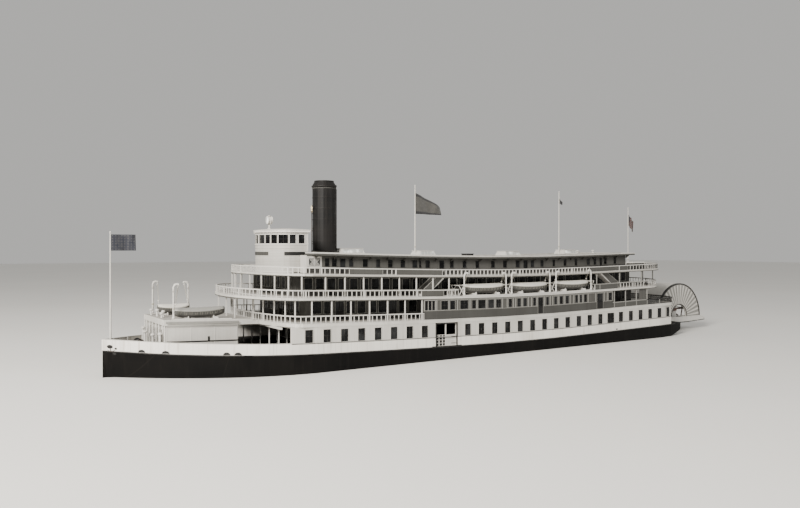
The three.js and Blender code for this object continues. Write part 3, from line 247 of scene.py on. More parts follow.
class NodeSheet:
    """Small hand for laying out the nodes of one tree."""

    def __init__(self, tree: bpy.types.NodeTree) -> None:
        """Take the tree whose nodes are laid out."""
        self.tree = tree

    def node(self, kind: str, inputs: Optional[dict] = None, **settings: object) -> bpy.types.Node:
        """Add a node, set its properties, and set or link its inputs.

        Args:
            kind: Blender's name of the node type.
            inputs: Socket name or number to a value or an output socket.
            **settings: Properties of the node.

        Returns:
            The new node.
        """
        made = self.tree.nodes.new(kind)
        for key, value in settings.items():
            setattr(made, key, value)
        for key, value in (inputs or {}).items():
            if isinstance(value, bpy.types.NodeSocket):
                self.tree.links.new(value, made.inputs[key])
            else:
                made.inputs[key].default_value = value
        return made

    def math(self, operation: str, *values: object) -> bpy.types.NodeSocket:
        """Result of an arithmetic node on up to three values or sockets."""
        made = self.node("ShaderNodeMath", dict(enumerate(values)), operation=operation)
        return made.outputs[0]

    def mixed(self, factor: object, first: object, second: object) -> bpy.types.NodeSocket:
        """Colour that goes from the first to the second as the factor goes from 0 to 1."""
        made = self.node("ShaderNodeMix", data_type="RGBA")
        for key, value in ((0, factor), (6, first), (7, second)):
            if isinstance(value, bpy.types.NodeSocket):
                self.tree.links.new(value, made.inputs[key])
            elif isinstance(value, tuple):
                made.inputs[key].default_value = (*value, 1.0)
            else:
                made.inputs[key].default_value = value
        return made.outputs[2]

    def span(self, value: object, low: float, high: float, to_low: float = 0.0, to_high: float = 1.0) -> object:
        """Value carried smoothly from one range to another."""
        made = self.node(
            "ShaderNodeMapRange", {0: value, 1: low, 2: high, 3: to_low, 4: to_high},
            interpolation_type="SMOOTHSTEP",
        )
        return made.outputs[0]

    def noise(self, place: bpy.types.NodeSocket, scale: float, detail: float) -> bpy.types.NodeSocket:
        """Soft noise at a place, from 0 to 1."""
        return self.node("ShaderNodeTexNoise", {"Vector": place, "Scale": scale, "Detail": detail}).outputs["Fac"]


def socket(group: bpy.types.NodeTree, name: str, kind: str, output: bool = False, default: object = None) -> None:
    """Add a named socket to a node group's interface."""
    made = group.interface.new_socket(name, in_out="OUTPUT" if output else "INPUT", socket_type=kind)
    if default is not None:
        made.default_value = default


class PaintShop:
    """Mixes each finish once and hands out its material."""

    TOP_FACES_OVER = 0.6
    GRAIN_RELIEF = 0.12
    BOARD_TONE = 0.16
    SEAM_TONE = 0.6
    SMOOTHER, ROUGHER = 0.06, 0.16
    STRIPE_RED = (0.06, 0.008, 0.008)
    SUN_FADED = (0.55, 0.52, 0.47)
    STAR_COLUMNS, STAR_ROWS = 8.0, 6.0
    CANTON_FLY, CANTON_FOOT = 0.4, 0.46

    def __init__(self) -> None:
        """Build the shared effects, ahead of any material."""
        self.seams = self._seam_group()
        self.weather = self._weather_group()
        self.wear = self._wear_group()
        self.shelf: dict[str, bpy.types.Material] = {}

    @staticmethod
    def _seam_group() -> bpy.types.NodeTree:
        """Dark seams at an even pitch, with a tone of its own for each board."""
        group = bpy.data.node_groups.new("board_seams", "ShaderNodeTree")
        socket(group, "Place", "NodeSocketFloat", default=0.0)
        socket(group, "Pitch", "NodeSocketFloat", default=0.012)
        socket(group, "Width", "NodeSocketFloat", default=0.05)
        socket(group, "Seam", "NodeSocketFloat", output=True)
        socket(group, "Board Tone", "NodeSocketFloat", output=True)
        sheet = NodeSheet(group)
        start = sheet.node("NodeGroupInput")
        turns = sheet.math("DIVIDE", start.outputs["Place"], start.outputs["Pitch"])
        off = sheet.math("PINGPONG", sheet.math("ADD", turns, 0.5), 0.5)
        seam = sheet.math("LESS_THAN", off, start.outputs["Width"])
        tone = sheet.node("ShaderNodeTexWhiteNoise", {"W": sheet.math("FLOOR", turns)}, noise_dimensions="1D")
        sheet.node("NodeGroupOutput", {"Seam": seam, "Board Tone": tone.outputs["Value"]})
        return group

    @staticmethod
    def _weather_group() -> bpy.types.NodeTree:
        """Rain streaks down the sides, and soft mottling all over."""
        group = bpy.data.node_groups.new("rain_and_soot", "ShaderNodeTree")
        socket(group, "Vector", "NodeSocketVector")
        socket(group, "Streaks", "NodeSocketFloat", output=True)
        socket(group, "Mottle", "NodeSocketFloat", output=True)
        socket(group, "Grain", "NodeSocketFloat", output=True)
        sheet = NodeSheet(group)
        start = sheet.node("NodeGroupInput")
        place = start.outputs["Vector"]
        tall = sheet.node("ShaderNodeMapping", {"Vector": place, "Scale": (26.0, 26.0, 2.2)})
        sheet.node("NodeGroupOutput", {
            "Streaks": sheet.span(sheet.noise(tall.outputs[0], 1.0, 4.0), 0.5, 0.75),
            "Mottle": sheet.span(sheet.noise(place, 2.3, 5.0), 0.35, 0.7),
            "Grain": sheet.noise(place, 160.0, 3.0),
        })
        return group

    @staticmethod
    def _wear_group() -> bpy.types.NodeTree:
        """Mask of the sharp edges, broken up by noise, where paint rubs off."""
        group = bpy.data.node_groups.new("rubbed_edges", "ShaderNodeTree")
        socket(group, "Vector", "NodeSocketVector")
        socket(group, "Radius", "NodeSocketFloat", default=0.002)
        socket(group, "Mask", "NodeSocketFloat", output=True)
        sheet = NodeSheet(group)
        start = sheet.node("NodeGroupInput")
        round_off = sheet.node("ShaderNodeBevel", {"Radius": start.outputs["Radius"]}, samples=4)
        plain = sheet.node("ShaderNodeNewGeometry")
        normals = {0: round_off.outputs[0], 1: plain.outputs["Normal"]}
        dot = sheet.node("ShaderNodeVectorMath", normals, operation="DOT_PRODUCT")
        edge = sheet.span(dot.outputs["Value"], 0.995, 0.85)
        noise = sheet.span(sheet.noise(start.outputs["Vector"], 40.0, 4.0), 0.42, 0.62)
        sheet.node("NodeGroupOutput", {"Mask": sheet.math("MULTIPLY", edge, noise)})
        return group

    def _started(self, name: str) -> tuple[bpy.types.Material, NodeSheet, bpy.types.Node]:
        """Empty material with its shader already wired to the output."""
        material = bpy.data.materials.new(name)
        material.use_nodes = True
        material.node_tree.nodes.clear()
        sheet = NodeSheet(material.node_tree)
        shader = sheet.node("ShaderNodeBsdfPrincipled")
        sheet.node("ShaderNodeOutputMaterial", {"Surface": shader.outputs[0]})
        self.shelf[name] = material
        return material, sheet, shader

    def paint(self, finish: Paint) -> bpy.types.Material:
        """Material of a painted surface, mixed the first time it is asked for."""
        if finish.name in self.shelf:
            return self.shelf[finish.name]
        material, sheet, shader = self._started(finish.name)
        links = material.node_tree.links
        place = sheet.node("ShaderNodeTexCoord")
        weather = sheet.node("ShaderNodeGroup", node_tree=self.weather)
        links.new(place.outputs["Object"], weather.inputs["Vector"])
        base: object = finish.colour
        if finish.tops is Facing.TOPS:
            upright = sheet.node("ShaderNodeSeparateXYZ", {0: place.outputs["Normal"]}).outputs["Z"]
            base = sheet.mixed(sheet.math("GREATER_THAN", upright, self.TOP_FACES_OVER), base, finish.top_colour)
        mottled = sheet.math("MULTIPLY", weather.outputs["Mottle"], finish.mottle)
        colour = sheet.mixed(mottled, base, finish.soil)
        height: object = sheet.math("MULTIPLY", weather.outputs["Grain"], self.GRAIN_RELIEF)
        if finish.boards is not Boards.NONE:
            seams = self._boards(sheet, place.outputs["Object"], finish)
            for output, share in (("Board Tone", self.BOARD_TONE), ("Seam", self.SEAM_TONE)):
                colour = sheet.mixed(sheet.math("MULTIPLY", seams.outputs[output], share), colour, finish.soil)
            height = sheet.math("SUBTRACT", height, seams.outputs["Seam"])
        streaked = sheet.math("MULTIPLY", weather.outputs["Streaks"], finish.streaks)
        colour = sheet.mixed(streaked, colour, finish.soil)
        worn = sheet.node("ShaderNodeGroup", node_tree=self.wear)
        links.new(place.outputs["Object"], worn.inputs["Vector"])
        rubbed = sheet.math("MULTIPLY", worn.outputs["Mask"], finish.wear)
        links.new(sheet.mixed(rubbed, colour, finish.bare), shader.inputs["Base Color"])
        mottle = sheet.math("MULTIPLY", weather.outputs["Mottle"], self.ROUGHER)
        links.new(sheet.math("ADD", finish.roughness - self.SMOOTHER, mottle), shader.inputs["Roughness"])
        bump = sheet.node("ShaderNodeBump", {"Strength": finish.relief, "Distance": 0.002, "Height": height})
        links.new(bump.outputs[0], shader.inputs["Normal"])
        shader.inputs["Metallic"].default_value = finish.metallic
        shader.inputs["Specular IOR Level"].default_value = finish.specular
        return material

    def _boards(self, sheet: NodeSheet, place: bpy.types.NodeSocket, finish: Paint) -> bpy.types.Node:
        """Board seams of a finish in its own direction.

        Args:
            sheet: The material's nodes.
            place: Object coordinates.
            finish: The finish, with its pitch and width of seam.

        Returns:
            The group node that puts out the seams and a tone for each board.
        """
        run = sheet.node("ShaderNodeVectorMath", {0: place, 1: finish.boards.value}, operation="DOT_PRODUCT")
        made = sheet.node("ShaderNodeGroup", node_tree=self.seams)
        sheet.tree.links.new(run.outputs["Value"], made.inputs["Place"])
        made.inputs["Pitch"].default_value = finish.pitch
        made.inputs["Width"].default_value = finish.seam
        return made

    def glass(self, finish: Glass) -> bpy.types.Material:
        """Material of dark glass with a slight uneven tone from pane to pane."""
        if finish.name in self.shelf:
            return self.shelf[finish.name]
        material, sheet, shader = self._started(finish.name)
        place = sheet.node("ShaderNodeTexCoord")
        tone = sheet.span(sheet.noise(place.outputs["Object"], 6.0, 2.0), 0.45, 0.65)
        brighter = tuple(min(1.0, value * 2.4 + 0.012) for value in finish.colour)
        material.node_tree.links.new(sheet.mixed(tone, finish.colour, brighter), shader.inputs["Base Color"])
        shader.inputs["Roughness"].default_value = finish.roughness
        shader.inputs["Specular IOR Level"].default_value = finish.specular
        return material

    def cloth(self, finish: Cloth) -> bpy.types.Material:
        """Material of flag cloth: weave all over, and its pattern on the flag's map."""
        if finish.name in self.shelf:
            return self.shelf[finish.name]
        material, sheet, shader = self._started(finish.name)
        links = material.node_tree.links
        chart = sheet.node("ShaderNodeUVMap", uv_map="flag")
        split = sheet.node("ShaderNodeSeparateXYZ", {0: chart.outputs[0]})
        fly, hoist = split.outputs["X"], split.outputs["Y"]
        colour = self._flag_colour(sheet, finish, fly, hoist)
        turns = [sheet.math("MULTIPLY", way, threads) for way, threads in ((fly, 900.0), (hoist, 700.0))]
        weave = sheet.math("ADD", *(sheet.math("SINE", turn) for turn in turns))
        fade = sheet.span(sheet.noise(chart.outputs[0], 5.0, 4.0), 0.35, 0.8, 0.0, 0.05)
        links.new(sheet.mixed(fade, colour, self.SUN_FADED), shader.inputs["Base Color"])
        bump = sheet.node("ShaderNodeBump", {"Strength": 0.25, "Distance": 0.001, "Height": weave})
        links.new(bump.outputs[0], shader.inputs["Normal"])
        shader.inputs["Roughness"].default_value = 0.85
        shader.inputs["Sheen Weight"].default_value = 0.25
        return material

    def _stars(self, sheet: NodeSheet, fly: object, hoist: object) -> bpy.types.NodeSocket:
        """Mask of five-pointed stars in even rows on a map."""
        cells = []
        for way, count in ((fly, self.STAR_COLUMNS), (hoist, self.STAR_ROWS)):
            cells.append(sheet.math("SUBTRACT", sheet.math("FRACT", sheet.math("MULTIPLY", way, count)), 0.5))
        reach = sheet.math("SQRT", sheet.math("ADD", *(sheet.math("MULTIPLY", cell, cell) for cell in cells)))
        lobe = sheet.math("PINGPONG", sheet.math("ARCTAN2", *cells), math.pi / 5)
        return sheet.math("LESS_THAN", reach, sheet.span(lobe, 0.0, math.pi / 5, 0.21, 0.08))

    def _flag_colour(self, sheet: NodeSheet, finish: Cloth, fly: object, hoist: object) -> object:
        """Colour of a flag at a place on its map."""
        if finish.pattern is FlagPattern.PLAIN:
            return sheet.mixed(0.0, finish.field, finish.mark)
        if finish.pattern is FlagPattern.STARS:
            return sheet.mixed(self._stars(sheet, fly, hoist), finish.field, finish.mark)
        if finish.pattern is FlagPattern.BORDERED:
            off = sheet.math("ABSOLUTE", sheet.math("SUBTRACT", hoist, 0.5))
            return sheet.mixed(sheet.math("GREATER_THAN", off, 0.36), finish.field, finish.mark)
        stripe = sheet.math("GREATER_THAN", sheet.math("FRACT", sheet.math("MULTIPLY", hoist, 6.5)), 0.5)
        striped = sheet.mixed(stripe, finish.mark, self.STRIPE_RED)
        near_pole = sheet.math("LESS_THAN", fly, self.CANTON_FLY)
        in_canton = sheet.math("MULTIPLY", near_pole, sheet.math("GREATER_THAN", hoist, self.CANTON_FOOT))
        canton_fly = sheet.math("DIVIDE", fly, self.CANTON_FLY)
        canton_hoist = sheet.math("DIVIDE", sheet.math("SUBTRACT", hoist, self.CANTON_FOOT), 1 - self.CANTON_FOOT)
        starred = sheet.mixed(self._stars(sheet, canton_fly, canton_hoist), finish.field, finish.mark)
        return sheet.mixed(in_canton, striped, starred)


WHITE = Paint("white_paint", (0.52, 0.503, 0.465), (0.31, 0.29, 0.25), streaks=0.28, mottle=0.16)
WHITE_BOARDS = Paint(
    "white_boarding", (0.54, 0.523, 0.485), (0.31, 0.29, 0.25), boards=Boards.WALLS, pitch=0.0122, seam=0.06,
    streaks=0.3, mottle=0.18,
)
WHITE_PLATING = Paint(
    "white_plating", (0.78, 0.755, 0.70), (0.36, 0.32, 0.27), roughness=0.48, boards=Boards.WALLS, pitch=0.183,
    seam=0.006, streaks=0.5, mottle=0.2,
)
WHITE_SHIPLAP = Paint(
    "white_shiplap", (0.47, 0.455, 0.42), (0.28, 0.26, 0.225), roughness=0.5, boards=Boards.UPWARDS, pitch=0.0168,
    streaks=0.25, mottle=0.15, seam=0.07, relief=0.5,
)
WHITE_TRIM = Paint("white_trim", (0.54, 0.524, 0.49), (0.34, 0.32, 0.28), streaks=0.15, mottle=0.1)
# White trim painted darker to stand in for the shade of the galleries and overhangs: painted shade.
SHADED_TRIM = Paint(
    "white_trim_painted_shade", (0.23, 0.224, 0.206), (0.13, 0.125, 0.11), roughness=0.6, streaks=0.2, mottle=0.15,
)
# Grey boarding, panels and railings darkened well past their paint to stand in for the shade under the galleries
# and overhangs: grey paint with painted shade.
GREY_PANEL_IN_SHADE = Paint(
    "grey_panelling_painted_shade", (0.062, 0.061, 0.056), (0.035, 0.033, 0.03), roughness=0.75, boards=Boards.WALLS,
    pitch=0.0122, seam=0.08, streaks=0.3, mottle=0.35, specular=0.25,
)
GREY_WALL_IN_SHADE = Paint(
    "grey_boarding_painted_shade", (0.088, 0.086, 0.079), (0.05, 0.047, 0.042), roughness=0.75, boards=Boards.WALLS,
    pitch=0.0122, seam=0.08, streaks=0.35, mottle=0.3, specular=0.25,
)
# Near-black boarding that is only painted shade, for lower walls and the bands under cornices.
SHADED_WALL = Paint(
    "boarding_painted_shade", (0.04, 0.039, 0.036), (0.024, 0.022, 0.02), roughness=0.8, boards=Boards.WALLS,
    pitch=0.0122, seam=0.08, streaks=0.3, specular=0.25,
)
GREY_RAILING_IN_SHADE = Paint(
    "grey_railing_painted_shade", (0.075, 0.074, 0.068), (0.045, 0.042, 0.037), roughness=0.75, boards=Boards.WALLS,
    pitch=0.0122, seam=0.08, streaks=0.35, mottle=0.3, specular=0.25,
)
SASH = Paint("dark_sash", (0.012, 0.0115, 0.011), (0.02, 0.018, 0.016), roughness=0.7, streaks=0.2, specular=0.2)
DECK = Paint(
    "deck_planking", (0.60, 0.585, 0.54), (0.26, 0.24, 0.21), roughness=0.6, boards=Boards.ACROSS, pitch=0.0152,
    seam=0.06, streaks=0.2, mottle=0.35, tops=Facing.TOPS, top_colour=(0.34, 0.325, 0.30),
)
ROOF_CANVAS = Paint(
    "roof_canvas", (0.80, 0.775, 0.72), (0.33, 0.31, 0.28), roughness=0.8, boards=Boards.WALLS, pitch=0.0915,
    seam=0.012, streaks=0.1, mottle=0.5, tops=Facing.TOPS, top_colour=(0.46, 0.44, 0.405),
)
HULL_BLACK = Paint(
    "hull_black", (0.0022, 0.0022, 0.0023), (0.012, 0.0105, 0.009), roughness=0.6, boards=Boards.WALLS,
    pitch=0.244, seam=0.004, streaks=0.3, mottle=0.25, wear=0.0, relief=0.35, specular=0.08,
)
FUNNEL_BLACK = Paint(
    "funnel_black", (0.004, 0.004, 0.004), (0.022, 0.019, 0.017), roughness=0.5, specular=0.22,
    boards=Boards.UPWARDS, pitch=0.122, seam=0.012, streaks=0.45, mottle=0.4, bare=(0.1, 0.065, 0.045),
)
IRON = Paint(
    "dark_iron", (0.03, 0.029, 0.028), (0.11, 0.065, 0.04), roughness=0.5, metallic=0.6, streaks=0.35, mottle=0.4,
    bare=(0.3, 0.28, 0.26),
)
BLACK_TRIM = Paint(
    "black_trim", (0.009, 0.009, 0.009), (0.035, 0.031, 0.028), roughness=0.5, streaks=0.3, specular=0.3,
)
WHEEL_TIMBER = Paint(
    "wheel_timber", (0.105, 0.052, 0.036), (0.05, 0.03, 0.022), roughness=0.62, boards=Boards.UPWARDS,
    pitch=0.03, seam=0.03, streaks=0.5, mottle=0.55, bare=(0.25, 0.17, 0.11),
)
BOAT_PAINT = Paint(
    "boat_grey_paint", (0.085, 0.084, 0.078), (0.05, 0.047, 0.042), roughness=0.6, boards=Boards.UPWARDS,
    pitch=0.0092, seam=0.08, streaks=0.25, specular=0.3,
)
CANVAS = Paint(
    "boat_cover_canvas", (0.60, 0.58, 0.525), (0.36, 0.335, 0.285), roughness=0.88, streaks=0.25, mottle=0.3,
    wear=0.0, relief=0.4,
)
GREY_CANVAS = Paint(
    "grey_cover_canvas", (0.24, 0.235, 0.215), (0.14, 0.13, 0.115), roughness=0.88, streaks=0.25, mottle=0.3,
    wear=0.0, relief=0.4,
)
BRASS = Paint("whistle_brass", (0.40, 0.34, 0.24), (0.2, 0.16, 0.1), roughness=0.4, metallic=0.8, streaks=0.3)
ROPE = Paint("weathered_rope", (0.36, 0.34, 0.29), (0.22, 0.2, 0.17), roughness=0.9, streaks=0.2, relief=0.6)
PANE = Glass("window_glass", (0.003, 0.0033, 0.0036))
ROOF_GLASS = Glass("skylight_glass", (0.36, 0.37, 0.36), 0.3)
TRELLIS_GLASS = Glass("trellis_glass", (0.05, 0.051, 0.05), 0.3)
JACK_CLOTH = Cloth("jack_cloth", FlagPattern.STARS, (0.007, 0.009, 0.018), (0.085, 0.082, 0.077))
ENSIGN_CLOTH = Cloth("ensign_cloth", FlagPattern.STRIPES, (0.006, 0.008, 0.018), (0.11, 0.107, 0.10))
BURGEE_CLOTH = Cloth("burgee_cloth", FlagPattern.BORDERED, (0.05, 0.048, 0.043), (0.008, 0.008, 0.01))
PENNANT_CLOTH = Cloth("pennant_cloth", FlagPattern.PLAIN, (0.012, 0.012, 0.014), (0.012, 0.012, 0.014))


# Plans of the decks


def hull_half(feet: float) -> float:
    """Half breadth of the hull at the main deck, in feet."""
    if feet < 60:
        return 29 * (1 - (1 - feet / 60) ** 1.9)
    if feet <= 230:
        return 29.0
    return 29 - 3 * ((feet - 230) / 20) ** 2


# Ends of the bay alongside the boats, where the observation deck's rail is drawn in
BOAT_BAY = (117.6, 188.6)


class Edge:
    """Line that runs round a deck at an even distance inside its edge."""

    def __init__(self, rows: Sequence[tuple[float, float]]) -> None:
        """Take the rows of feet and half breadth, from the bow aft."""
        self.rows = list(rows)

    @classmethod
    def rounded(
        cls, fore: float, fore_run: float, aft: float, aft_run: float, half: float, inset: float = 0.0,
        bay: Optional[float] = None,
    ) -> "Edge":
        """Edge of a deck with elliptical ends.

        Args:
            fore: Foremost place of the deck.
            fore_run: Length of its rounded bow end.
            aft: Aftmost place of the deck.
            aft_run: Length of its rounded stern end.
            half: Half breadth of the deck.
            inset: How far inside the deck's edge the line runs.
            bay: Half breadth alongside the boats, where the line is drawn in.

        Returns:
            The edge.
        """
        nose, steps = 0.11, 7
        angles = [nose + (math.pi / 2 - nose) * step / steps for step in range(steps + 1)]
        turns = [(math.cos(angle), math.sin(angle)) for angle in angles]
        rows = [(fore + fore_run - (fore_run - inset) * run, (half - inset) * out) for run, out in turns]
        if bay is not None:
            wide, narrow = half - inset, bay - inset
            (first, last), step = BOAT_BAY, 0.05
            rows += [(first - inset, wide), (first + step - inset, narrow)]
            rows += [(last - step + inset, narrow), (last + inset, wide)]
        ends = [(aft - aft_run + (aft_run - inset) * run, (half - inset) * out) for run, out in turns]
        return cls([*rows, *reversed(ends)])

    def stretch(self, fore: float, aft: float) -> list[tuple[float, float]]:
        """Rows between two places, with the bends of the sheer among them."""
        first, last = max(fore, self.rows[0][0]), min(aft, self.rows[-1][0])
        own = [feet for feet, _ in self.rows if first < feet < last]
        bends = [feet for feet, _ in SHEER if first < feet < last and all(abs(feet - at) > 0.15 for at in own)]
        places = [first, *sorted(own + bends), last]
        return [(feet, read_table(self.rows, feet)) for feet in places]

    def along_side(self, side: int, fore: float, aft: float, height: float) -> list[Vector]:
        """Path along one side, drawn so that its right hand is outboard.

        Args:
            side: PORT or STARBOARD.
            fore: Place where the path begins.
            aft: Place where it ends.
            height: Height above the waterline, to which the sheer is added.

        Returns:
            The points of the path.
        """
        rows = [spot(feet, side * half, height) for feet, half in self.stretch(fore, aft)]
        return rows if side == PORT else rows[::-1]

    def round_bow(self, aft: float, height: float) -> list[Vector]:
        """Path round the bow end, between the same place on either side."""
        return self.along_side(STARBOARD, 0, aft, height) + self.along_side(PORT, 0, aft, height)

    def round_stern(self, fore: float, height: float) -> list[Vector]:
        """Path round the stern end, between the same place on either side."""
        return [point for side in BOTH for point in self.along_side(side, fore, PAST_STERN, height)]

    def loop(self, height: float) -> list[Vector]:
        """Path all the way round the deck."""
        return self.round_stern(0, height)

    def on_sides(self, spans: Iterable[tuple[float, float]], height: float) -> list[list[Vector]]:
        """Paths along both sides, one for each pair of ends."""
        return [self.along_side(side, fore, aft, height) for side in BOTH for fore, aft in spans]


# Foremost place, length of the bow end, aftmost place, length of the stern end and half breadth of each deck
SALOON_DECK = (45.8, 9.2, 248.5, 10.0, 29.0)
OBSERVATION_DECK = (38.6, 16.4, 242.5, 18.0, 29.0)
TEXAS_DECK = (44.7, 14.3, 245.5, 19.5, 28.2)

# How far the railings stand inside the decks' edges
RAIL_LINE = 0.325


# Mesh making


def flat_direction(start: Vector, end: Vector) -> Vector:
    """Level direction between two points, or nothing where they are one above the other."""
    run = Vector((end.x - start.x, end.y - start.y, 0.0))
    return run.normalized() if run.length > 1e-9 else Vector((0.0, 0.0, 0.0))


def rectangle(low_out: float, high_out: float, low: float, high: float) -> list[tuple[float, float]]:
    """Section of a batten in feet: outboard and upward from its path."""
    return [(low_out, low), (high_out, low), (high_out, high), (low_out, high)]


class Shape:
    """Closed shells gathered into one mesh, each in the finish in use when it was drawn."""

    def __init__(self, shop: PaintShop) -> None:
        """Start an empty mesh that takes its materials from the shop."""
        self.shop = shop
        self.form = bmesh.new()
        self.materials: list[bpy.types.Material] = []
        self.index = 0
        self.smooth = False

    def use(self, finish: object, smooth: bool = False) -> "Shape":
        """Draw what follows in a finish.

        Args:
            finish: A paint, or a glass.
            smooth: Whether the faces are shaded as one round surface.

        Returns:
            This shape, so that calls can follow each other.
        """
        material = self.shop.glass(finish) if isinstance(finish, Glass) else self.shop.paint(finish)
        if material not in self.materials:
            self.materials.append(material)
        self.index = self.materials.index(material)
        self.smooth = smooth
        return self

    def _face(self, corners: Sequence[bmesh.types.BMVert], smooth: bool) -> None:
        """Add one face in the finish in use."""
        face = self.form.faces.new(corners)
        face.material_index = self.index
        face.smooth = smooth

    def loft(self, rings: Sequence[Sequence[Vector]], looped: bool = False) -> "Shape":
        """Skin a row of rings with like counts of points.

        Args:
            rings: The rings, one after another.
            looped: Whether the last ring joins the first, which leaves no ends to close.

        Returns:
            This shape.
        """
        rows = [[self.form.verts.new(point) for point in ring] for ring in rings]
        pairs = list(zip(rows, rows[1:])) + ([(rows[-1], rows[0])] if looped else [])
        for first, second in pairs:
            for k in range(len(first)):
                after = (k + 1) % len(first)
                self._face((first[k], first[after], second[after], second[k]), self.smooth)
        if not looped:
            self._face(rows[0], False)
            self._face(rows[-1], False)
        return self

    def block(self, fore: float, aft: float, y0: float, y1: float, low: float, high: float) -> "Shape":
        """Square block in feet, raised by the sheer at its middle."""
        rise = sheer_at((fore + aft) / 2)
        corners = rectangle(y0, y1, low + rise, high + rise)
        return self.loft([[plumb(feet, y, h) for y, h in corners] for feet in (fore, aft)])

    def blocks(self, rows: Iterable[Sequence[float]]) -> "Shape":
        """Blocks on both sides, each given by its ends, its inner and outer face, its foot and its top."""
        for fore, aft, inner, outer, low, high in rows:
            for side in BOTH:
                self.block(fore, aft, side * inner, side * outer, low, high)
        return self

    def strake(self, fore: float, aft: float, y0: float, y1: float, low: float, high: float) -> "Shape":
        """Batten in feet along the vessel, bent with the sheer."""
        corners = rectangle(y0, y1, low, high)
        return self.loft([[spot(feet, y, h) for y, h in corners] for feet in stations(fore, aft)])

    def strakes(self, rows: Iterable[Sequence[float]]) -> "Shape":
        """Battens on both sides, each given by its ends, its inner and outer face, its foot and its top."""
        for fore, aft, inner, outer, low, high in rows:
            for side in BOTH:
                self.strake(fore, aft, side * inner, side * outer, low, high)
        return self

    def sweep(
        self, path: Sequence[Vector], section: Sequence[tuple[float, float]], looped: bool = False,
    ) -> "Shape":
        """Carry an upright section along a level path, with mitred corners.

        Args:
            path: Points of the path, whose right hand is outboard.
            section: Corners in feet, outboard and upward from the path.
            looped: Whether the path closes on itself.

        Returns:
            This shape.
        """
        rings = []
        count = len(path)
        for i, point in enumerate(path):
            before = flat_direction(path[i - 1], point) if i or looped else Vector()
            after = flat_direction(point, path[(i + 1) % count]) if i < count - 1 or looped else Vector()
            tangent = (before + after).normalized()
            ahead = after if after.length else before
            out = Vector((tangent.y, -tangent.x, 0.0)) / max(0.5, tangent.dot(ahead))
            rings.append([point + out * (u * FT) + move(z=v) for u, v in section])
        return self.loft(rings, looped)

    def rod(
        self, start: Vector, end: Vector, radius: float, tip: Optional[float] = None, sides: int = 8,
    ) -> "Shape":
        """Round bar between two points, with its radii in feet."""
        run = (end - start).normalized()
        side = run.orthogonal().normalized()
        up = run.cross(side)
        ends = ((start, radius), (end, radius if tip is None else tip))
        return self.loft([[at + out * reach * FT for out in spokes(side, up, sides)] for at, reach in ends])

    def tube(self, points: Sequence[Vector], radius: float, sides: int = 8) -> "Shape":
        """Round pipe along a curve, with its radius in feet."""
        side = (points[1] - points[0]).orthogonal().normalized()
        rings = []
        for i, point in enumerate(points):
            run = (points[min(i + 1, len(points) - 1)] - points[max(i - 1, 0)]).normalized()
            side = (side - run * side.dot(run)).normalized()
            rings.append([point + out * radius * FT for out in spokes(side, run.cross(side), sides)])
        return self.loft(rings)

    def turned(
        self, centre: Vector, profile: Sequence[tuple[float, float]], axis: Vector = Z_AXIS, sides: int = 16,
    ) -> "Shape":
        """Piece turned on a lathe.

        Args:
            centre: Where the profile's heights are measured from.
            profile: Radius and height in feet, from one end to the other.
            axis: Direction of the heights.
            sides: Faces round the piece.

        Returns:
            This shape.
        """
        side = axis.orthogonal().normalized()
        outs = spokes(side, axis.cross(side), sides)
        rows = [(max(radius, 0.002), height) for radius, height in profile]
        rings = [[centre + (axis * height + out * radius) * FT for out in outs] for radius, height in rows]
        return self.loft(rings)

    def hoop(
        self, centre: Vector, axis: Vector, section: Sequence[tuple[float, float]], outs: Sequence[Vector],
    ) -> "Shape":
        """Ring with an open middle.

        Args:
            centre: Where the section is measured from.
            axis: Direction of the section's heights.
            section: Corners in feet: radius and height.
            outs: Directions from the centre, one for each stand of the section.

        Returns:
            This shape.
        """
        rings = [[centre + (out * radius + axis * height) * FT for radius, height in section] for out in outs]
        return self.loft(rings, looped=True)

    def ball(self, centre: Vector, radius: float, sides: int = 10) -> "Shape":
        """Round knob with its radius in feet."""
        angles = [math.pi * step / 6 for step in range(7)]
        return self.turned(centre, [(radius * math.sin(a), -radius * math.cos(a)) for a in angles], sides=sides)

    def plate(self, outline: Sequence[Vector], thickness: Vector) -> "Shape":
        """Flat plate of any outline, given its thickness as a vector."""
        return self.loft([list(outline), [point + thickness for point in outline]])

    def mesh(self, name: str) -> bpy.types.Mesh:
        """Mesh of all that was drawn, with its faces outwards."""
        bmesh.ops.recalc_face_normals(self.form, faces=self.form.faces[:])
        made = bpy.data.meshes.new(name)
        self.form.to_mesh(made)
        self.form.free()
        for material in self.materials:
            made.materials.append(material)
        return made

    def piece(self, name: str, slot: str, body: str = "vessel") -> bpy.types.Object:
        """Put the mesh in the scene as a piece that rides on a body."""
        return launch(name, self.mesh(name), body)


def put(name: str, data: bpy.types.ID) -> bpy.types.Object:
    """Object made from a mesh, a camera or a lamp, put in the scene."""
    made = bpy.data.objects.new(name, data)
    bpy.context.scene.collection.objects.link(made)
    return made


def launch(
    name: str, mesh: bpy.types.Mesh, body: str = "vessel", stands_for: Sequence[str] = (),
) -> bpy.types.Object:
    """Put a finished mesh in the scene and say what it rides on.

    Args:
        name: Name of the piece.
        mesh: Its mesh, in the model's frame.
        body: The body that it moves with.
        stands_for: CAD nodes that it replaces.

    Returns:
        The piece.
    """
    made = put(name, mesh)
    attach(made, body)
    if stands_for:
        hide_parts(*stands_for)
    LOG.info("%s: %d faces on %s", name, len(mesh.polygons), body)
    return made


# What repeats


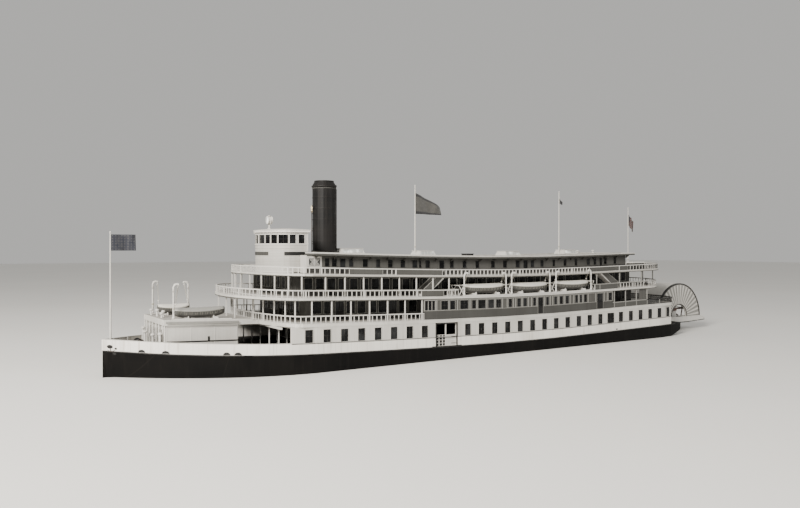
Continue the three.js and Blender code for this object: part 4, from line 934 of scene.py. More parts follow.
class GrowthTree(NodeSheet):
    """Geometry node tree with named inputs, which ends in realised and painted parts."""

    def __init__(self, name: str, sizes: dict[str, float], paints: Sequence[str]) -> None:
        """Start the tree.

        Args:
            name: Name of the tree.
            sizes: Named inputs for its sizes, in metres or radians.
            paints: Names of its material inputs.
        """
        super().__init__(bpy.data.node_groups.new(name, "GeometryNodeTree"))
        socket(self.tree, "Geometry", "NodeSocketGeometry")
        for label, value in sizes.items():
            socket(self.tree, label, "NodeSocketFloat", default=value)
        for label in paints:
            socket(self.tree, label, "NodeSocketMaterial")
        socket(self.tree, "Geometry", "NodeSocketGeometry", output=True)
        self.start = self.node("NodeGroupInput")
        self.grown: list[bpy.types.NodeSocket] = []

    def size(self, label: str) -> bpy.types.NodeSocket:
        """Socket of a named input."""
        return self.start.outputs[label]

    def mark(self, label: str) -> bpy.types.NodeSocket:
        """Value stored on each marked point."""
        stored = self.node("GeometryNodeInputNamedAttribute", {"Name": label}, data_type="FLOAT")
        return stored.outputs["Attribute"]

    def cube(self) -> bpy.types.NodeSocket:
        """Cube with sides of one metre."""
        return self.node("GeometryNodeMeshCube", {"Size": (1.0, 1.0, 1.0)}).outputs[0]

    def vector(self, x: object, y: object, z: object) -> bpy.types.NodeSocket:
        """Vector of three values or sockets."""
        return self.node("ShaderNodeCombineXYZ", {0: x, 1: y, 2: z}).outputs[0]

    def instances(
        self, points: object, part: object, rotation: object, shift: object, scale: object, paint: str,
        chosen: object = None,
    ) -> None:
        """Set a part on each point, turned, then moved and sized along its own axes.

        Args:
            points: Points that carry the part.
            part: Geometry of the part.
            rotation: Its turn at each point.
            shift: Its move from the point.
            scale: Its size.
            paint: Name of the material input that it takes.
            chosen: Which points carry it, or None for all of them.
        """
        marked = self.node(
            "GeometryNodeStoreNamedAttribute", {"Geometry": part, "Name": f"is_{paint}", "Value": 1.0},
            data_type="FLOAT", domain="FACE",
        )
        placed = self.node("GeometryNodeInstanceOnPoints", {
            "Points": points, "Instance": marked.outputs[0], "Rotation": rotation,
        })
        if chosen is not None:
            self.tree.links.new(chosen, placed.inputs["Selection"])
        for kind, label, value in (("Translate", "Translation", shift), ("Scale", "Scale", scale)):
            placed = self.node(f"GeometryNode{kind}Instances", {"Instances": placed.outputs[0], label: value})
        self.grown.append(placed.outputs[0])

    def finish(self, paints: Sequence[str]) -> bpy.types.NodeTree:
        """Join what has grown, make it real, and give each part its material."""
        joined = self.node("GeometryNodeJoinGeometry")
        for part in self.grown:
            self.tree.links.new(part, joined.inputs[0])
        shape = self.node("GeometryNodeRealizeInstances", {0: joined.outputs[0]}).outputs[0]
        for label in paints:
            shape = self.node("GeometryNodeSetMaterial", {
                "Geometry": shape, "Selection": self.mark(f"is_{label}"), "Material": self.size(label),
            }).outputs[0]
        self.node("NodeGroupOutput", {0: shape})
        return self.tree


class Nursery:
    """Trees for what repeats, each built once, and the growing of them into plain meshes."""

    def __init__(self, shop: PaintShop) -> None:
        """Build the trees."""
        self.shop = shop
        self.joinery = self._joinery()
        self.bars = self._bars()
        self.boards = self._boards()
        self.rivets = self._rivets()

    @staticmethod
    def _joinery() -> bpy.types.NodeTree:
        """Window or door on each marked point: pane, frame, sill, bars and lower panel."""
        names = ("Frame Paint", "Pane Paint", "Sash Paint")
        tree = GrowthTree("window_joinery", {"Frame": 0.006, "Depth": 0.004, "Lip": 0.003, "Bar": 0.003}, names)
        wide, tall = tree.mark("wide"), tree.mark("tall")
        frame, depth, lip, bar = (tree.size(label) for label in ("Frame", "Depth", "Lip", "Bar"))
        half_wide, half_tall = tree.math("MULTIPLY", wide, 0.5), tree.math("MULTIPLY", tall, 0.5)
        half_frame, half_depth = tree.math("MULTIPLY", frame, 0.5), tree.math("MULTIPLY", depth, 0.5)
        jamb_at, head_at = tree.math("ADD", half_wide, half_frame), tree.math("ADD", half_tall, half_frame)
        other_jamb, sill_at = tree.math("MULTIPLY", jamb_at, -1.0), tree.math("MULTIPLY", head_at, -1.0)
        jamb_tall = tree.math("MULTIPLY_ADD", frame, 2.0, tall)
        bar_depth, bar_out = tree.math("MULTIPLY", depth, 0.7), tree.math("MULTIPLY", depth, 0.35)
        panel_at, panel_tall = tree.math("MULTIPLY", tall, -0.29), tree.math("MULTIPLY", tall, 0.42)
        sill_wide = tree.math("ADD", tree.math("MULTIPLY_ADD", frame, 2.0, wide), tree.math("MULTIPLY", lip, 2.0))
        sill_depth = tree.math("ADD", depth, lip)
        sill_out = tree.math("MULTIPLY", sill_depth, 0.5)
        thin = 0.0008
        rotation = tree.vector(0.0, 0.0, tree.mark("turn"))
        is_door = tree.node("FunctionNodeCompare", {0: tree.mark("door"), 1: 0.5}, operation="GREATER_THAN")
        split = tree.node("FunctionNodeCompare", {0: tree.mark("panes"), 1: 1.5}, operation="GREATER_THAN")
        parts = [
            ((0.0, 0.0, 0.0), (wide, thin, tall), "Pane Paint", None),
            ((jamb_at, half_depth, 0.0), (frame, depth, jamb_tall), "Frame Paint", None),
            ((other_jamb, half_depth, 0.0), (frame, depth, jamb_tall), "Frame Paint", None),
            ((0.0, half_depth, head_at), (wide, depth, frame), "Frame Paint", None),
            ((0.0, sill_out, sill_at), (sill_wide, sill_depth, frame), "Frame Paint", None),
            ((0.0, bar_out, 0.0), (wide, bar_depth, bar), "Sash Paint", None),
            ((0.0, bar_out, 0.0), (bar, bar_depth, tall), "Sash Paint", split.outputs[0]),
            ((0.0, bar_out, panel_at), (wide, bar_depth, panel_tall), "Sash Paint", is_door.outputs[0]),
        ]
        for shift, scale, paint, chosen in parts:
            shift, scale = tree.vector(*shift), tree.vector(*scale)
            tree.instances(tree.size("Geometry"), tree.cube(), rotation, shift, scale, paint, chosen)
        return tree.finish(names)

    @staticmethod
    def _bars() -> bpy.types.NodeTree:
        """Upright or leaning bars at an even spacing along each marked line."""
        sizes = {"Spacing": 0.03, "Width": 0.008, "Depth": 0.006, "Height": 0.06, "Lean": 0.0}
        tree = GrowthTree("railing_bars", sizes, ("Bar Paint",))
        line = tree.node("GeometryNodeMeshToCurve", {0: tree.size("Geometry")}).outputs[0]
        points = tree.node(
            "GeometryNodeResampleCurve", {"Curve": line, "Length": tree.size("Spacing")}, mode="LENGTH",
        ).outputs[0]
        run = tree.node("ShaderNodeSeparateXYZ", {0: tree.node("GeometryNodeInputTangent").outputs[0]})
        turn = tree.math("ARCTAN2", run.outputs["Y"], run.outputs["X"])
        reach = tree.math("DIVIDE", tree.size("Height"), tree.math("COSINE", tree.size("Lean")))
        scale = tree.vector(tree.size("Width"), tree.size("Depth"), reach)
        tree.instances(
            points, tree.cube(), tree.vector(0.0, tree.size("Lean"), turn), (0.0, 0.0, 0.0), scale, "Bar Paint",
        )
        return tree.finish(("Bar Paint",))

    @staticmethod
    def _boards() -> bpy.types.NodeTree:
        """Tapered boards that spread from each marked point like the sticks of a fan."""
        sizes = {"Inner": 0.18, "Outer": 0.5, "Thick": 0.003, "Spread": 0.1}
        tree = GrowthTree("fan_boards", sizes, ("Board Paint",))
        place = tree.node("ShaderNodeSeparateXYZ", {0: tree.node("GeometryNodeInputPosition").outputs[0]})
        length = tree.math("SUBTRACT", tree.size("Outer"), tree.size("Inner"))
        radius = tree.math("MULTIPLY_ADD", tree.math("ADD", place.outputs["Z"], 0.5), length, tree.size("Inner"))
        across = tree.math("MULTIPLY", tree.math("MULTIPLY", place.outputs["X"], tree.size("Spread")), radius)
        deep = tree.math("MULTIPLY", place.outputs["Y"], tree.size("Thick"))
        laid_out = {"Geometry": tree.cube(), "Position": tree.vector(across, deep, radius)}
        board = tree.node("GeometryNodeSetPosition", laid_out)
        tree.instances(
            tree.size("Geometry"), board.outputs[0], tree.vector(0.0, tree.mark("turn"), 0.0), (0.0, 0.0, 0.0),
            (1.0, 1.0, 1.0), "Board Paint",
        )
        return tree.finish(("Board Paint",))

    @staticmethod
    def _rivets() -> bpy.types.NodeTree:
        """Bolt head on each marked point, facing outwards from its wall."""
        tree = GrowthTree("bolt_heads", {"Radius": 0.003, "Height": 0.002}, ("Bolt Paint",))
        head = tree.node("GeometryNodeMeshCylinder", {"Vertices": 6, "Radius": 1.0, "Depth": 1.0}).outputs[0]
        on_its_back = {"Geometry": head, "Rotation": (math.pi / 2, 0.0, 0.0)}
        laid = tree.node("GeometryNodeTransform", on_its_back).outputs[0]
        scale = tree.vector(tree.size("Radius"), tree.size("Height"), tree.size("Radius"))
        tree.instances(
            tree.size("Geometry"), laid, tree.vector(0.0, 0.0, tree.mark("turn")), (0.0, 0.0, 0.0), scale,
            "Bolt Paint",
        )
        return tree.finish(("Bolt Paint",))

    def grow(self, name: str, marks: bpy.types.Mesh, tree: bpy.types.NodeTree, values: dict) -> bpy.types.Mesh:
        """Grow a tree on its marks into one plain mesh.

        Args:
            name: Name of the new mesh.
            marks: Points or lines that the tree grows on.
            tree: The tree.
            values: Named inputs: lengths in feet, angles in radians, or finishes.

        Returns:
            The plain mesh.
        """
        seedling = put(f"{name}_marks", marks)
        modifier = seedling.modifiers.new("growth", "NODES")
        modifier.node_group = tree
        for item in tree.interface.items_tree:
            if item.item_type == "SOCKET" and item.in_out == "INPUT" and item.name in values:
                modifier[item.identifier] = self._reading(item.name, values[item.name])
        depsgraph = bpy.context.evaluated_depsgraph_get()
        grown = bpy.data.meshes.new_from_object(seedling.evaluated_get(depsgraph))
        seedling.modifiers.remove(modifier)
        bpy.data.objects.remove(seedling)
        for label in [item.name for item in grown.attributes if item.name.startswith("is_")]:
            grown.attributes.remove(grown.attributes[label])
        grown.name = name
        return grown

    def _reading(self, label: str, value: object) -> object:
        """Value of a modifier's input in metres, or the material of a finish."""
        if isinstance(value, Glass):
            return self.shop.glass(value)
        if isinstance(value, Paint):
            return self.shop.paint(value)
        return float(value) if label in ("Lean", "Spread") else float(value) * FT


@dataclass(frozen=True)
class Mark:
    """Place of one window, door or bolt."""

    at: Vector
    turn: float
    wide: float = 0.0
    tall: float = 0.0
    panes: float = 1.0
    door: float = 0.0


def mark_mesh(marks: Sequence[Mark]) -> bpy.types.Mesh:
    """Mesh of loose points that carry what each mark says."""
    made = bpy.data.meshes.new("marks")
    made.from_pydata([mark.at for mark in marks], [], [])
    for label, scale in (("turn", 1.0), ("wide", FT), ("tall", FT), ("panes", 1.0), ("door", 1.0)):
        column = made.attributes.new(label, "FLOAT", "POINT")
        column.data.foreach_set("value", [getattr(mark, label) * scale for mark in marks])
    return made


def line_mesh(paths: Iterable[Sequence[Vector]]) -> bpy.types.Mesh:
    """Mesh of loose edges along some paths."""
    points: list[Vector] = []
    edges: list[tuple[int, int]] = []
    for path in paths:
        first = len(points)
        points += path
        edges += [(first + k, first + k + 1) for k in range(len(path) - 1)]
    made = bpy.data.meshes.new("lines")
    made.from_pydata(points, edges, [])
    return made


# Turns of a mark whose wall faces each way
FACING_TURN = {PORT: 0.0, STARBOARD: math.pi}
TOWARDS_BOW, TOWARDS_STERN = -math.pi / 2, math.pi / 2


def wall_windows(
    spans: Iterable[tuple[float, float]], half: float, sill: float, head: float, door: float = 0.0,
) -> list[Mark]:
    """Marks of the same windows on the port and the starboard side.

    Args:
        spans: Fore and aft edge of each opening, in feet.
        half: Distance of the wall from the centreline.
        sill: Height of the openings' foot.
        head: Height of their top.
        door: 1 for doors with a lower panel.

    Returns:
        The marks.
    """
    marks = []
    for side in BOTH:
        for fore, aft in spans:
            at = spot((fore + aft) / 2, side * (half + PANE_PROUD), (sill + head) / 2)
            panes = 2.0 if aft - fore > TWO_PANES_OVER else 1.0
            marks.append(Mark(at, FACING_TURN[side], aft - fore, head - sill, panes, door))
    return marks


def end_windows(
    feet: float, spans: Iterable[tuple[float, float]], sill: float, head: float, aftwards: bool = False,
    door: float = 0.0,
) -> list[Mark]:
    """Marks of windows in a wall across the vessel.

    Args:
        feet: Place of the wall's face.
        spans: Starboard and port edge of each opening, in feet off the centreline.
        sill: Height of the openings' foot.
        head: Height of their top.
        aftwards: Whether the wall faces the stern.
        door: 1 for doors with a lower panel.

    Returns:
        The marks.
    """
    away, turn = (PANE_PROUD, TOWARDS_STERN) if aftwards else (-PANE_PROUD, TOWARDS_BOW)
    marks = []
    for y0, y1 in spans:
        at = spot(feet + away, (y0 + y1) / 2, (sill + head) / 2)
        panes = 2.0 if y1 - y0 > TWO_PANES_OVER else 1.0
        marks.append(Mark(at, turn, y1 - y0, head - sill, panes, door))
    return marks


def even_spans(start: float, end: float, pitch: float, wide: float) -> list[tuple[float, float]]:
    """Openings of one width at an even pitch between two places, in feet."""
    count = int((end - start) / pitch)
    first = start + ((end - start) - count * pitch) / 2
    return [(first + pitch * (k + 0.5) - wide / 2, first + pitch * (k + 0.5) + wide / 2) for k in range(count)]


@dataclass
class Kit:
    """What every sub-assembly works with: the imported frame, the paint shop and the nursery."""

    frame: dict
    shop: PaintShop
    nursery: Nursery

    def shape(self, finish: Optional[object] = None, smooth: bool = False) -> Shape:
        """Empty shape, with a finish in use where one is given."""
        made = Shape(self.shop)
        return made.use(finish, smooth) if finish else made

    def windows(
        self, name: str, marks: Sequence[Mark], slot: str = "house_white", casing: Paint = WHITE_TRIM,
        **sizes: float,
    ) -> None:
        """Grow windows and doors on their marks, with the joinery's sizes in feet."""
        values = {
            "Frame": sizes.get("frame", 0.2), "Depth": sizes.get("depth", 0.14), "Bar": sizes.get("bar", 0.1),
            "Lip": 0.1, "Frame Paint": casing, "Pane Paint": PANE, "Sash Paint": SASH,
        }
        launch(name, self.nursery.grow(name, mark_mesh(marks), self.nursery.joinery, values))

    def bars(
        self, name: str, paths: Sequence[Sequence[Vector]], spacing: float, width: float, height: float,
        finish: Paint = WHITE_TRIM, slot: str = "house_white", lean: float = 0.0,
    ) -> None:
        """Grow railing bars along some lines, with sizes in feet.

        Args:
            name: Name of the piece.
            paths: Lines at half the bars' height.
            spacing: Distance between bars.
            width: Width of a bar, which is two thirds as deep.
            height: Height that the bars fill.
            finish: Their paint.
            slot: Material slot of the record; not used.
            lean: Lean of each bar along the line, in radians.
        """
        values = {
            "Spacing": spacing, "Width": width, "Depth": width * 0.66, "Height": height, "Lean": lean,
            "Bar Paint": finish,
        }
        launch(name, self.nursery.grow(name, line_mesh(paths), self.nursery.bars, values))

    def bolts(
        self, name: str, marks: Sequence[Mark], slot: str, body: str = "vessel", finish: Paint = IRON,
        radius: float = 0.1,
    ) -> None:
        """Grow bolt heads on their marks."""
        values = {"Radius": radius, "Height": radius * 0.8, "Bolt Paint": finish}
        launch(name, self.nursery.grow(name, mark_mesh(marks), self.nursery.rivets, values), body)


# Studio


@dataclass
class Studio:
    """Camera at the photograph's viewpoint, a plain floor at the waterline, and soft light from ahead."""

    camera_at: tuple[float, float, float] = (5.663, 7.254, 1.433)
    camera_run: tuple[float, float] = (-0.5422, -0.8403)
    camera_dip: float = math.radians(0.4)
    lens: float = 32.4
    floor_half: float = 60.0
    lit_spot: tuple[float, float, float] = (0.5, 0.0, 1.0)
    sky: tuple[float, float, float] = (0.93, 0.92, 0.89)
    sky_strength: float = 0.62
    backdrop: float = 0.56

    def build(self) -> None:
        """Set up the camera, the floor and the lights."""
        self._camera()
        self._floor()
        self._lights()

    @staticmethod
    def _aim(thing: bpy.types.Object, run: Vector) -> None:
        """Turn a camera or a lamp towards where it looks."""
        thing.rotation_mode = "QUATERNION"
        thing.rotation_quaternion = run.to_track_quat("-Z", "Y")

    def _camera(self) -> None:
        """Camera with the lens and the aim of the photograph."""
        data = bpy.data.cameras.new("river_bank_camera")
        data.lens = self.lens
        data.sensor_width = 36.0
        data.clip_end = 300.0
        camera = put("river_bank_camera", data)
        camera.location = self.camera_at
        east, north = self.camera_run
        self._aim(camera, Vector((east, north, -math.tan(self.camera_dip) * math.hypot(east, north))))
        bpy.context.scene.camera = camera

    def _floor(self) -> None:
        """Pale floor that lies at the waterline."""
        reach = self.floor_half
        mesh = bpy.data.meshes.new("studio_floor")
        corners = [(-reach, -reach), (reach, -reach), (reach, reach), (-reach, reach)]
        mesh.from_pydata([(x, y, WATERLINE) for x, y in corners], [], [(0, 1, 2, 3)])
        material = bpy.data.materials.new("studio_floor")
        material.use_nodes = True
        sheet = NodeSheet(material.node_tree)
        shader = material.node_tree.nodes["Principled BSDF"]
        place = sheet.node("ShaderNodeTexCoord")
        cloud = sheet.noise(place.outputs["Object"], 0.35, 3.0)
        tone = sheet.mixed(cloud, (0.70, 0.685, 0.65), (0.76, 0.745, 0.71))
        material.node_tree.links.new(tone, shader.inputs["Base Color"])
        shader.inputs["Roughness"].default_value = 0.6
        mesh.materials.append(material)
        put("studio_floor", mesh)

    def _lights(self) -> None:
        """Broad key light from ahead and above, a weak fill from abeam, and an even sky."""
        lamps = (
            ("key_light", (13.5, 7.4, 9.0), 5.0, 5800.0, (1.0, 0.965, 0.91)),
            ("fill_light", (-9.0, 15.0, 7.0), 9.0, 600.0, (0.97, 0.98, 1.0)),
        )
        for name, place, size, power, tint in lamps:
            data = bpy.data.lights.new(name, "AREA")
            data.size = size
            data.energy = power
            data.color = tint
            lamp = put(name, data)
            lamp.location = place
            self._aim(lamp, Vector(self.lit_spot) - Vector(place))
        world = bpy.data.worlds.new("studio_sky")
        world.use_nodes = True
        background = world.node_tree.nodes["Background"]
        background.inputs["Color"].default_value = (*self.sky, 1.0)
        sheet = NodeSheet(world.node_tree)
        seen = sheet.node("ShaderNodeLightPath").outputs["Is Camera Ray"]
        strength = sheet.math("MULTIPLY_ADD", seen, self.backdrop - self.sky_strength, self.sky_strength)
        world.node_tree.links.new(strength, background.inputs["Strength"])
        bpy.context.scene.world = world


# Finishes of the CAD nodes


@dataclass
class Paintwork:
    """Finishes laid on the CAD nodes whose shape is right as it is."""

    kit: Kit

    def build(self) -> None:
        """Give each CAD node its finish."""
        finishes = {
            HULL_BLACK: ("hull", "rudder_port", "rudder_centre", "rudder_starboard"),
            WHITE_PLATING: ("bulwark",),
            WHITE_BOARDS: ("main_house", "fore_house", "cargo_gate_port", "cargo_gate_starboard"),
            # Cabin walls behind the galleries, the freight bulkhead and the after rails take greys and trim
            # darkened as painted shade.
            GREY_WALL_IN_SHADE: ("freight_bulkhead", "saloon_cabin", "texas_cabin"),
            GREY_PANEL_IN_SHADE: ("observation_cabin",),
            SHADED_TRIM: ("saloon_rail_aft", "observation_rail_aft", "observation_posts_aft"),
            WHITE: ("wheel_housing",),
            DECK: ("saloon_deck", "observation_deck", "texas_deck"),
            ROOF_CANVAS: ("texas_roof", "pilothouse_roof"),
            WHITE_SHIPLAP: ("pilothouse",),
            FUNNEL_BLACK: ("funnel",),
            WHEEL_TIMBER: ("paddle_wheel",),
            IRON: ("windlass", "pitman_port", "pitman_starboard", "engine_port", "engine_starboard", "boilers"),
        }
        chosen = {node: finish for finish, nodes in finishes.items() for node in nodes}
        for name, node in self.kit.frame["nodes"].items():
            material = self.kit.shop.paint(chosen.get(name, WHITE_TRIM))
            for slot in node.material_slots:
                slot.material = material
            LOG.info("%s takes %s", name, material.name)


# Hull and foredeck


@dataclass
class HullFittings:
    """Strakes, ports, hawses and deck gear of the hull."""

    kit: Kit
    proud: float = 0.065
    places: tuple[float, ...] = (0.0, 1.5, 4, 8, 13, 19, 26, 34, 43, 52, 60, 222, 232, 241, 249.8)
    ribs: tuple[float, ...] = (4, 9, 14.5, 20, 25.5, 31, 36.5, 42, 47.5)
    freeing_ports: tuple[tuple[float, float], ...] = ((9.1, 10.9), (15.1, 17.1), (31.2, 33.2), (34.3, 36.4))
    drum_at: float = 11.1

    def build(self) -> None:
        """Build all of them."""
        self.edge = Edge([(feet, max(hull_half(feet), 0.2)) for feet in self.places])
        self._strakes()
        self._ports()
        self._ironwork()
        self._hatches()

    def _strakes(self) -> None:
        """Rubbing strake at the deck line, a dark strip of painted shadow under the windows, and cap and ribs of
        the bulwark.
        """
        dark = self.kit.shape(BLACK_TRIM)
        cap = self.kit.shape(WHITE_TRIM)
        for side in BOTH:
            at_deck = self.edge.along_side(side, 0.4, 249.6, MAIN_DECK)
            dark.sweep(at_deck, rectangle(-0.05, 0.08, -0.35, -0.08))
            # Dark strip under the windows: painted shadow along the step from the bulwark in to the house.
            shadow_under_windows = self.edge.along_side(side, 51.3, 239.8, BULWARK_TOP)
            dark.sweep(shadow_under_windows, rectangle(-0.05, 0.06, -0.16, 0.04))
            waterway = self.edge.along_side(side, 0.4, 239.8, MAIN_DECK)
            cap.sweep(waterway, rectangle(-0.05, 0.05, 0.02, 0.16))
        dark.piece("hull_strakes_and_painted_shadow", "hull_black")
        cap.sweep(self.edge.round_bow(51.2, BULWARK_TOP), rectangle(-0.75, 0.07, 0.01, 0.12))
        for feet in self.ribs:
            inner = hull_half(feet) - 0.62
            cap.blocks([(feet - 0.12, feet + 0.12, inner - 0.5, inner, MAIN_DECK + 0.05, BULWARK_TOP)])
        cap.piece("bulwark_cap", "house_white")

    def _ovals(self, shape: Shape, middle: float, run: float, height: float, rise: float, whole: bool) -> None:
        """Lay a thin oval, or the upper half of one, on the bulwark of either side.

        Args:
            shape: Shape that it joins.
            middle: Its place abaft the stem.
            run: Half its length.
            height: Height of its middle, or of its foot where it is half an oval.
            rise: Half its height, or its height where it is half an oval.
            whole: Whether it is a whole oval.
        """
        turn, last = (2 * math.pi, 13) if whole else (math.pi, 12)
        for side in BOTH:
            outline = []
            for step in range(13):
                feet = middle + run * math.cos(turn * step / last)
                up = rise * math.sin(turn * step / last)
                outline.append(spot(feet, side * (hull_half(feet) - 0.02), height + up))
            shape.plate(outline, move(y=side * self.proud))

    def _ports(self) -> None:
        """Freeing ports at the deck line, hawses with their anchors' flukes, and a port aft."""
        shape = self.kit.shape(BLACK_TRIM)
        for fore, aft in self.freeing_ports:
            self._ovals(shape, (fore + aft) / 2, (aft - fore) / 2, MAIN_DECK + 0.1, 0.85, False)
        hawses = ((2.0, 0.75, 5.7, 0.6), (3.5, 0.35, 5.2, 0.3), (3.2, 0.4, 3.6, 0.35))
        for row in ((202.3, 0.55, 4.95, 0.32), *hawses):
            self._ovals(shape, *row, True)
        shape.piece("freeing_ports", "hull_black")
        anchor = self.kit.shape(IRON, smooth=True)
        for side in BOTH:
            foot = spot(2.3, side * (hull_half(2.3) + 0.1), 4.1)
            anchor.rod(spot(2.0, side * (hull_half(2.0) + 0.08), 5.6), foot, 0.12)
            for feet in (1.3, 3.3):
                anchor.rod(foot, spot(feet, side * (hull_half(feet) + 0.1), 4.75), 0.11, 0.04)
        anchor.piece("bow_anchors", "iron_dark")

    @staticmethod
    def _bitts(shape: Shape, feet: float, across: float) -> None:
        """Pair of mooring posts on a bed plate."""
        shape.block(feet - 1.0, feet + 1.0, across - 0.35, across + 0.35, MAIN_DECK, MAIN_DECK + 0.18)
        for shift in (-0.6, 0.6):
            foot = plumb(feet + shift, across, MAIN_DECK + 0.1 + sheer_at(feet))
            shape.turned(foot, [(0.26, 0), (0.24, 0.9), (0.34, 1.0), (0.34, 1.2), (0.2, 1.3)], sides=12)

    def _ironwork(self) -> None:
        """Mooring posts, chocks, chains and the windlass's fittings."""
        gear = self.kit.shape(IRON, smooth=True)
        drum = spot(self.drum_at, 0.0, MAIN_DECK + 2.2)
        for side in BOTH:
            for feet, across in ((7.2, 2.6), (14.6, 8.0), (43.5, 19.5), (24.0, 15.6), (246.0, 17.5)):
                self._bitts(gear, feet, side * across)
            links = [spot(9.6 - k * 0.22, side * (1.3 - k * 0.012), MAIN_DECK + 0.12) for k in range(30)]
            for k, (start, end) in enumerate(zip(links, links[1:])):
                tilt = move(y=0.03 if k % 2 else -0.03)
                gear.rod(start + tilt, end - tilt, 0.09, sides=6)
            gear.turned(spot(8.8, side * 1.3, MAIN_DECK), [(0.3, 0), (0.3, 0.3), (0.16, 0.36)], sides=10)
            for reach in (1.0, 1.9, 2.7):
                gear.turned(drum + move(y=side * reach), [(1.02, -0.08), (1.02, 0.08)], Y_AXIS, 18)
            gear.turned(drum + move(y=side * 2.05), [(1.3, -0.1), (1.36, 0.0), (1.3, 0.1)], Y_AXIS, 24)
        gear.piece("foredeck_ironwork", "iron_dark")

    def _hatches(self) -> None:
        """Coaming and lid of the hatch, and a box at the stem."""
        timber = self.kit.shape(GREY_WALL_IN_SHADE)
        for fore, aft, half, low, high in (
            (13.2, 15.2, 1.6, 0.02, 0.7), (13.05, 15.35, 1.75, 0.7, 0.86), (5.0, 6.6, 0.8, 0.02, 0.5),
        ):
            timber.block(fore, aft, -half, half, MAIN_DECK + low, MAIN_DECK + high)
        timber.piece("foredeck_hatches", "shade_grey")


# Main deck


@dataclass
class MainDeck:
    """Windows, doors and trim of the main deck house, the fore house and the cargo doorways."""

    kit: Kit
    first_window: float = 57.0
    pitch: float = 6.43
    windows: int = 29
    left_out: tuple[int, ...] = (8, 9, 22)
    wide_opening: int = 22
    wide: float = 2.7
    sill: float = 7.98
    head: float = 12.2
    door: tuple[float, float] = (107.1, 116.0)
    beams_under: float = 12.98

    def build(self) -> None:
        """Build all of it."""
        self._windows()
        self._cargo_doors()
        self._gates()
        self._fore_house()
        self._fore_house_trim()
        self._fore_house_boards()
        self._freight_deck()

    def _windows(self) -> None:
        """Tall windows along both sides, with one wide door, and those of the after wall."""
        marks = []
        for n in range(self.windows):
            if n not in self.left_out:
                marks += self._side_marks(self.first_window + self.pitch * n, self.wide, self.sill)
        marks += self._side_marks(self.first_window + self.pitch * self.wide_opening, 4.3, self.sill - 0.1)
        marks += end_windows(239.9, [(-9, -6.4), (6.4, 9)], 7.9, 11.6, True)
        marks += end_windows(239.9, [(-18, -15), (-1.5, 1.5), (15, 18)], MAIN_DECK + 0.3, 11.4, True, 1.0)
        self.kit.windows("main_deck_windows", marks, frame=0.1, depth=0.1, bar=0.07)

    def _side_marks(self, middle: float, wide: float, sill: float) -> list[Mark]:
        """Marks of one window on both sides, turned with the taper of the house."""
        slope = (hull_half(middle + 0.2) - hull_half(middle - 0.2)) / 0.4
        marks = []
        for side in BOTH:
            at = spot(middle, side * (hull_half(middle) - 0.055), (sill + self.head) / 2)
            turn = FACING_TURN[side] - side * math.atan(slope)
            marks.append(Mark(at, turn, wide, self.head - sill, 2.0))
        return marks

    def _cargo_doors(self) -> None:
        """Dark frames of the cargo doorways, with a post and a rail in the forward half."""
        fore, aft = self.door
        middle = (fore + aft) / 2
        foot = 4.7 + sheer_at(fore) - sheer_at(middle)
        frame = self.kit.shape(BLACK_TRIM).strakes([
            (fore - 0.35, fore + 0.02, 28.9, 29.07, 4.5, 13.0), (aft - 0.02, aft + 0.55, 28.9, 29.07, 4.5, 13.0),
            (fore - 0.35, aft + 0.55, 28.9, 29.07, 12.58, 12.98),
            (fore - 1.9, aft + 2.4, 28.9, 29.07, 4.38, 4.66), (fore, aft, 28.3, 28.85, 4.42, 4.64),
        ])
        frame.piece("cargo_door_frames", "hull_black")
        rails = self.kit.shape(WHITE_TRIM).strakes([
            (middle - 0.32, middle - 0.06, 28.45, 28.85, foot, 12.55),
            *((fore + 0.02, middle - 0.3, 28.5, 28.75, height, height + 0.16) for height in (5.6, 6.7, 7.8, 8.5)),
            *((fore + at, fore + at + 0.2, 28.5, 28.75, 4.7, 8.5) for at in (1.3, 2.8)),
        ])
        rails.piece("cargo_door_rails", "house_white")

    def _gates(self) -> None:
        """Braces and strap hinges on the swinging gates."""
        fore, aft = (self.door[0] + self.door[1]) / 2, self.door[1] - 0.025
        low = MAIN_DECK + 0.275 + sheer_at(self.door[0]) - sheer_at((fore + aft) / 2)
        braces = (
            (fore + 0.05, fore + 0.4, 0.05, 3.75), (aft - 0.4, aft - 0.05, 0.05, 3.75),
            (fore + 0.4, aft - 0.4, 0.05, 0.4), (fore + 0.4, aft - 0.4, 3.4, 3.75),
            (fore + 0.4, aft - 0.4, 1.7, 2.0),
        )
        for side, label in SIDES:
            shape = self.kit.shape(WHITE_TRIM)
            for start, end, foot, top in braces:
                shape.block(start, end, side * 28.7, side * 28.78, low + foot, low + top)
            shape.use(IRON)
            for height in (low + 0.6, low + 3.0):
                shape.block(aft - 2.2, aft - 0.05, side * 28.78, side * 28.83, height, height + 0.16)
            shape.piece(f"gate_braces_{label}", "house_white", f"gate_{label}")

    def _fore_house(self) -> None:
        """Doors and windows of the fore house."""
        marks = end_windows(16.5, [(-8.9, -6.4), (-1.4, 1.4), (6.4, 8.9)], MAIN_DECK + 0.4, 11.4, door=1.0)
        marks += end_windows(16.5, [(-5.2, -3.2), (3.2, 5.2)], 8.2, 11.2)
        marks += end_windows(39.6, [(-8, -5.4), (5.4, 8)], MAIN_DECK + 0.4, 11.4, True, 1.0)
        self.kit.windows("fore_house_doors", marks, frame=0.22, depth=0.16)

    def _fore_house_boards(self) -> None:
        """Scuppers of the fore house, and a grey band of painted shade under the platform's edge."""
        dark = self.kit.shape(BLACK_TRIM).strakes([
            (29.6, 30.2, 12.0, 12.12, MAIN_DECK + 3.4, MAIN_DECK + 5.0),
            (16.6, 39.5, 12.0, 12.12, BULWARK_TOP - 0.1, BULWARK_TOP + 0.3),
        ])
        dark.piece("fore_house_scuppers", "iron_dark")
        # Grey band under the platform's edge: white trim painted darker as painted shade.
        eave = self.kit.shape(SHADED_TRIM)
        eave.strakes([(16.2, 39.6, 13.0, 13.06, PLATFORM_TOP - 1.2, PLATFORM_TOP - 0.55)])
        eave.piece("fore_house_eave_shade", "shade_grey")

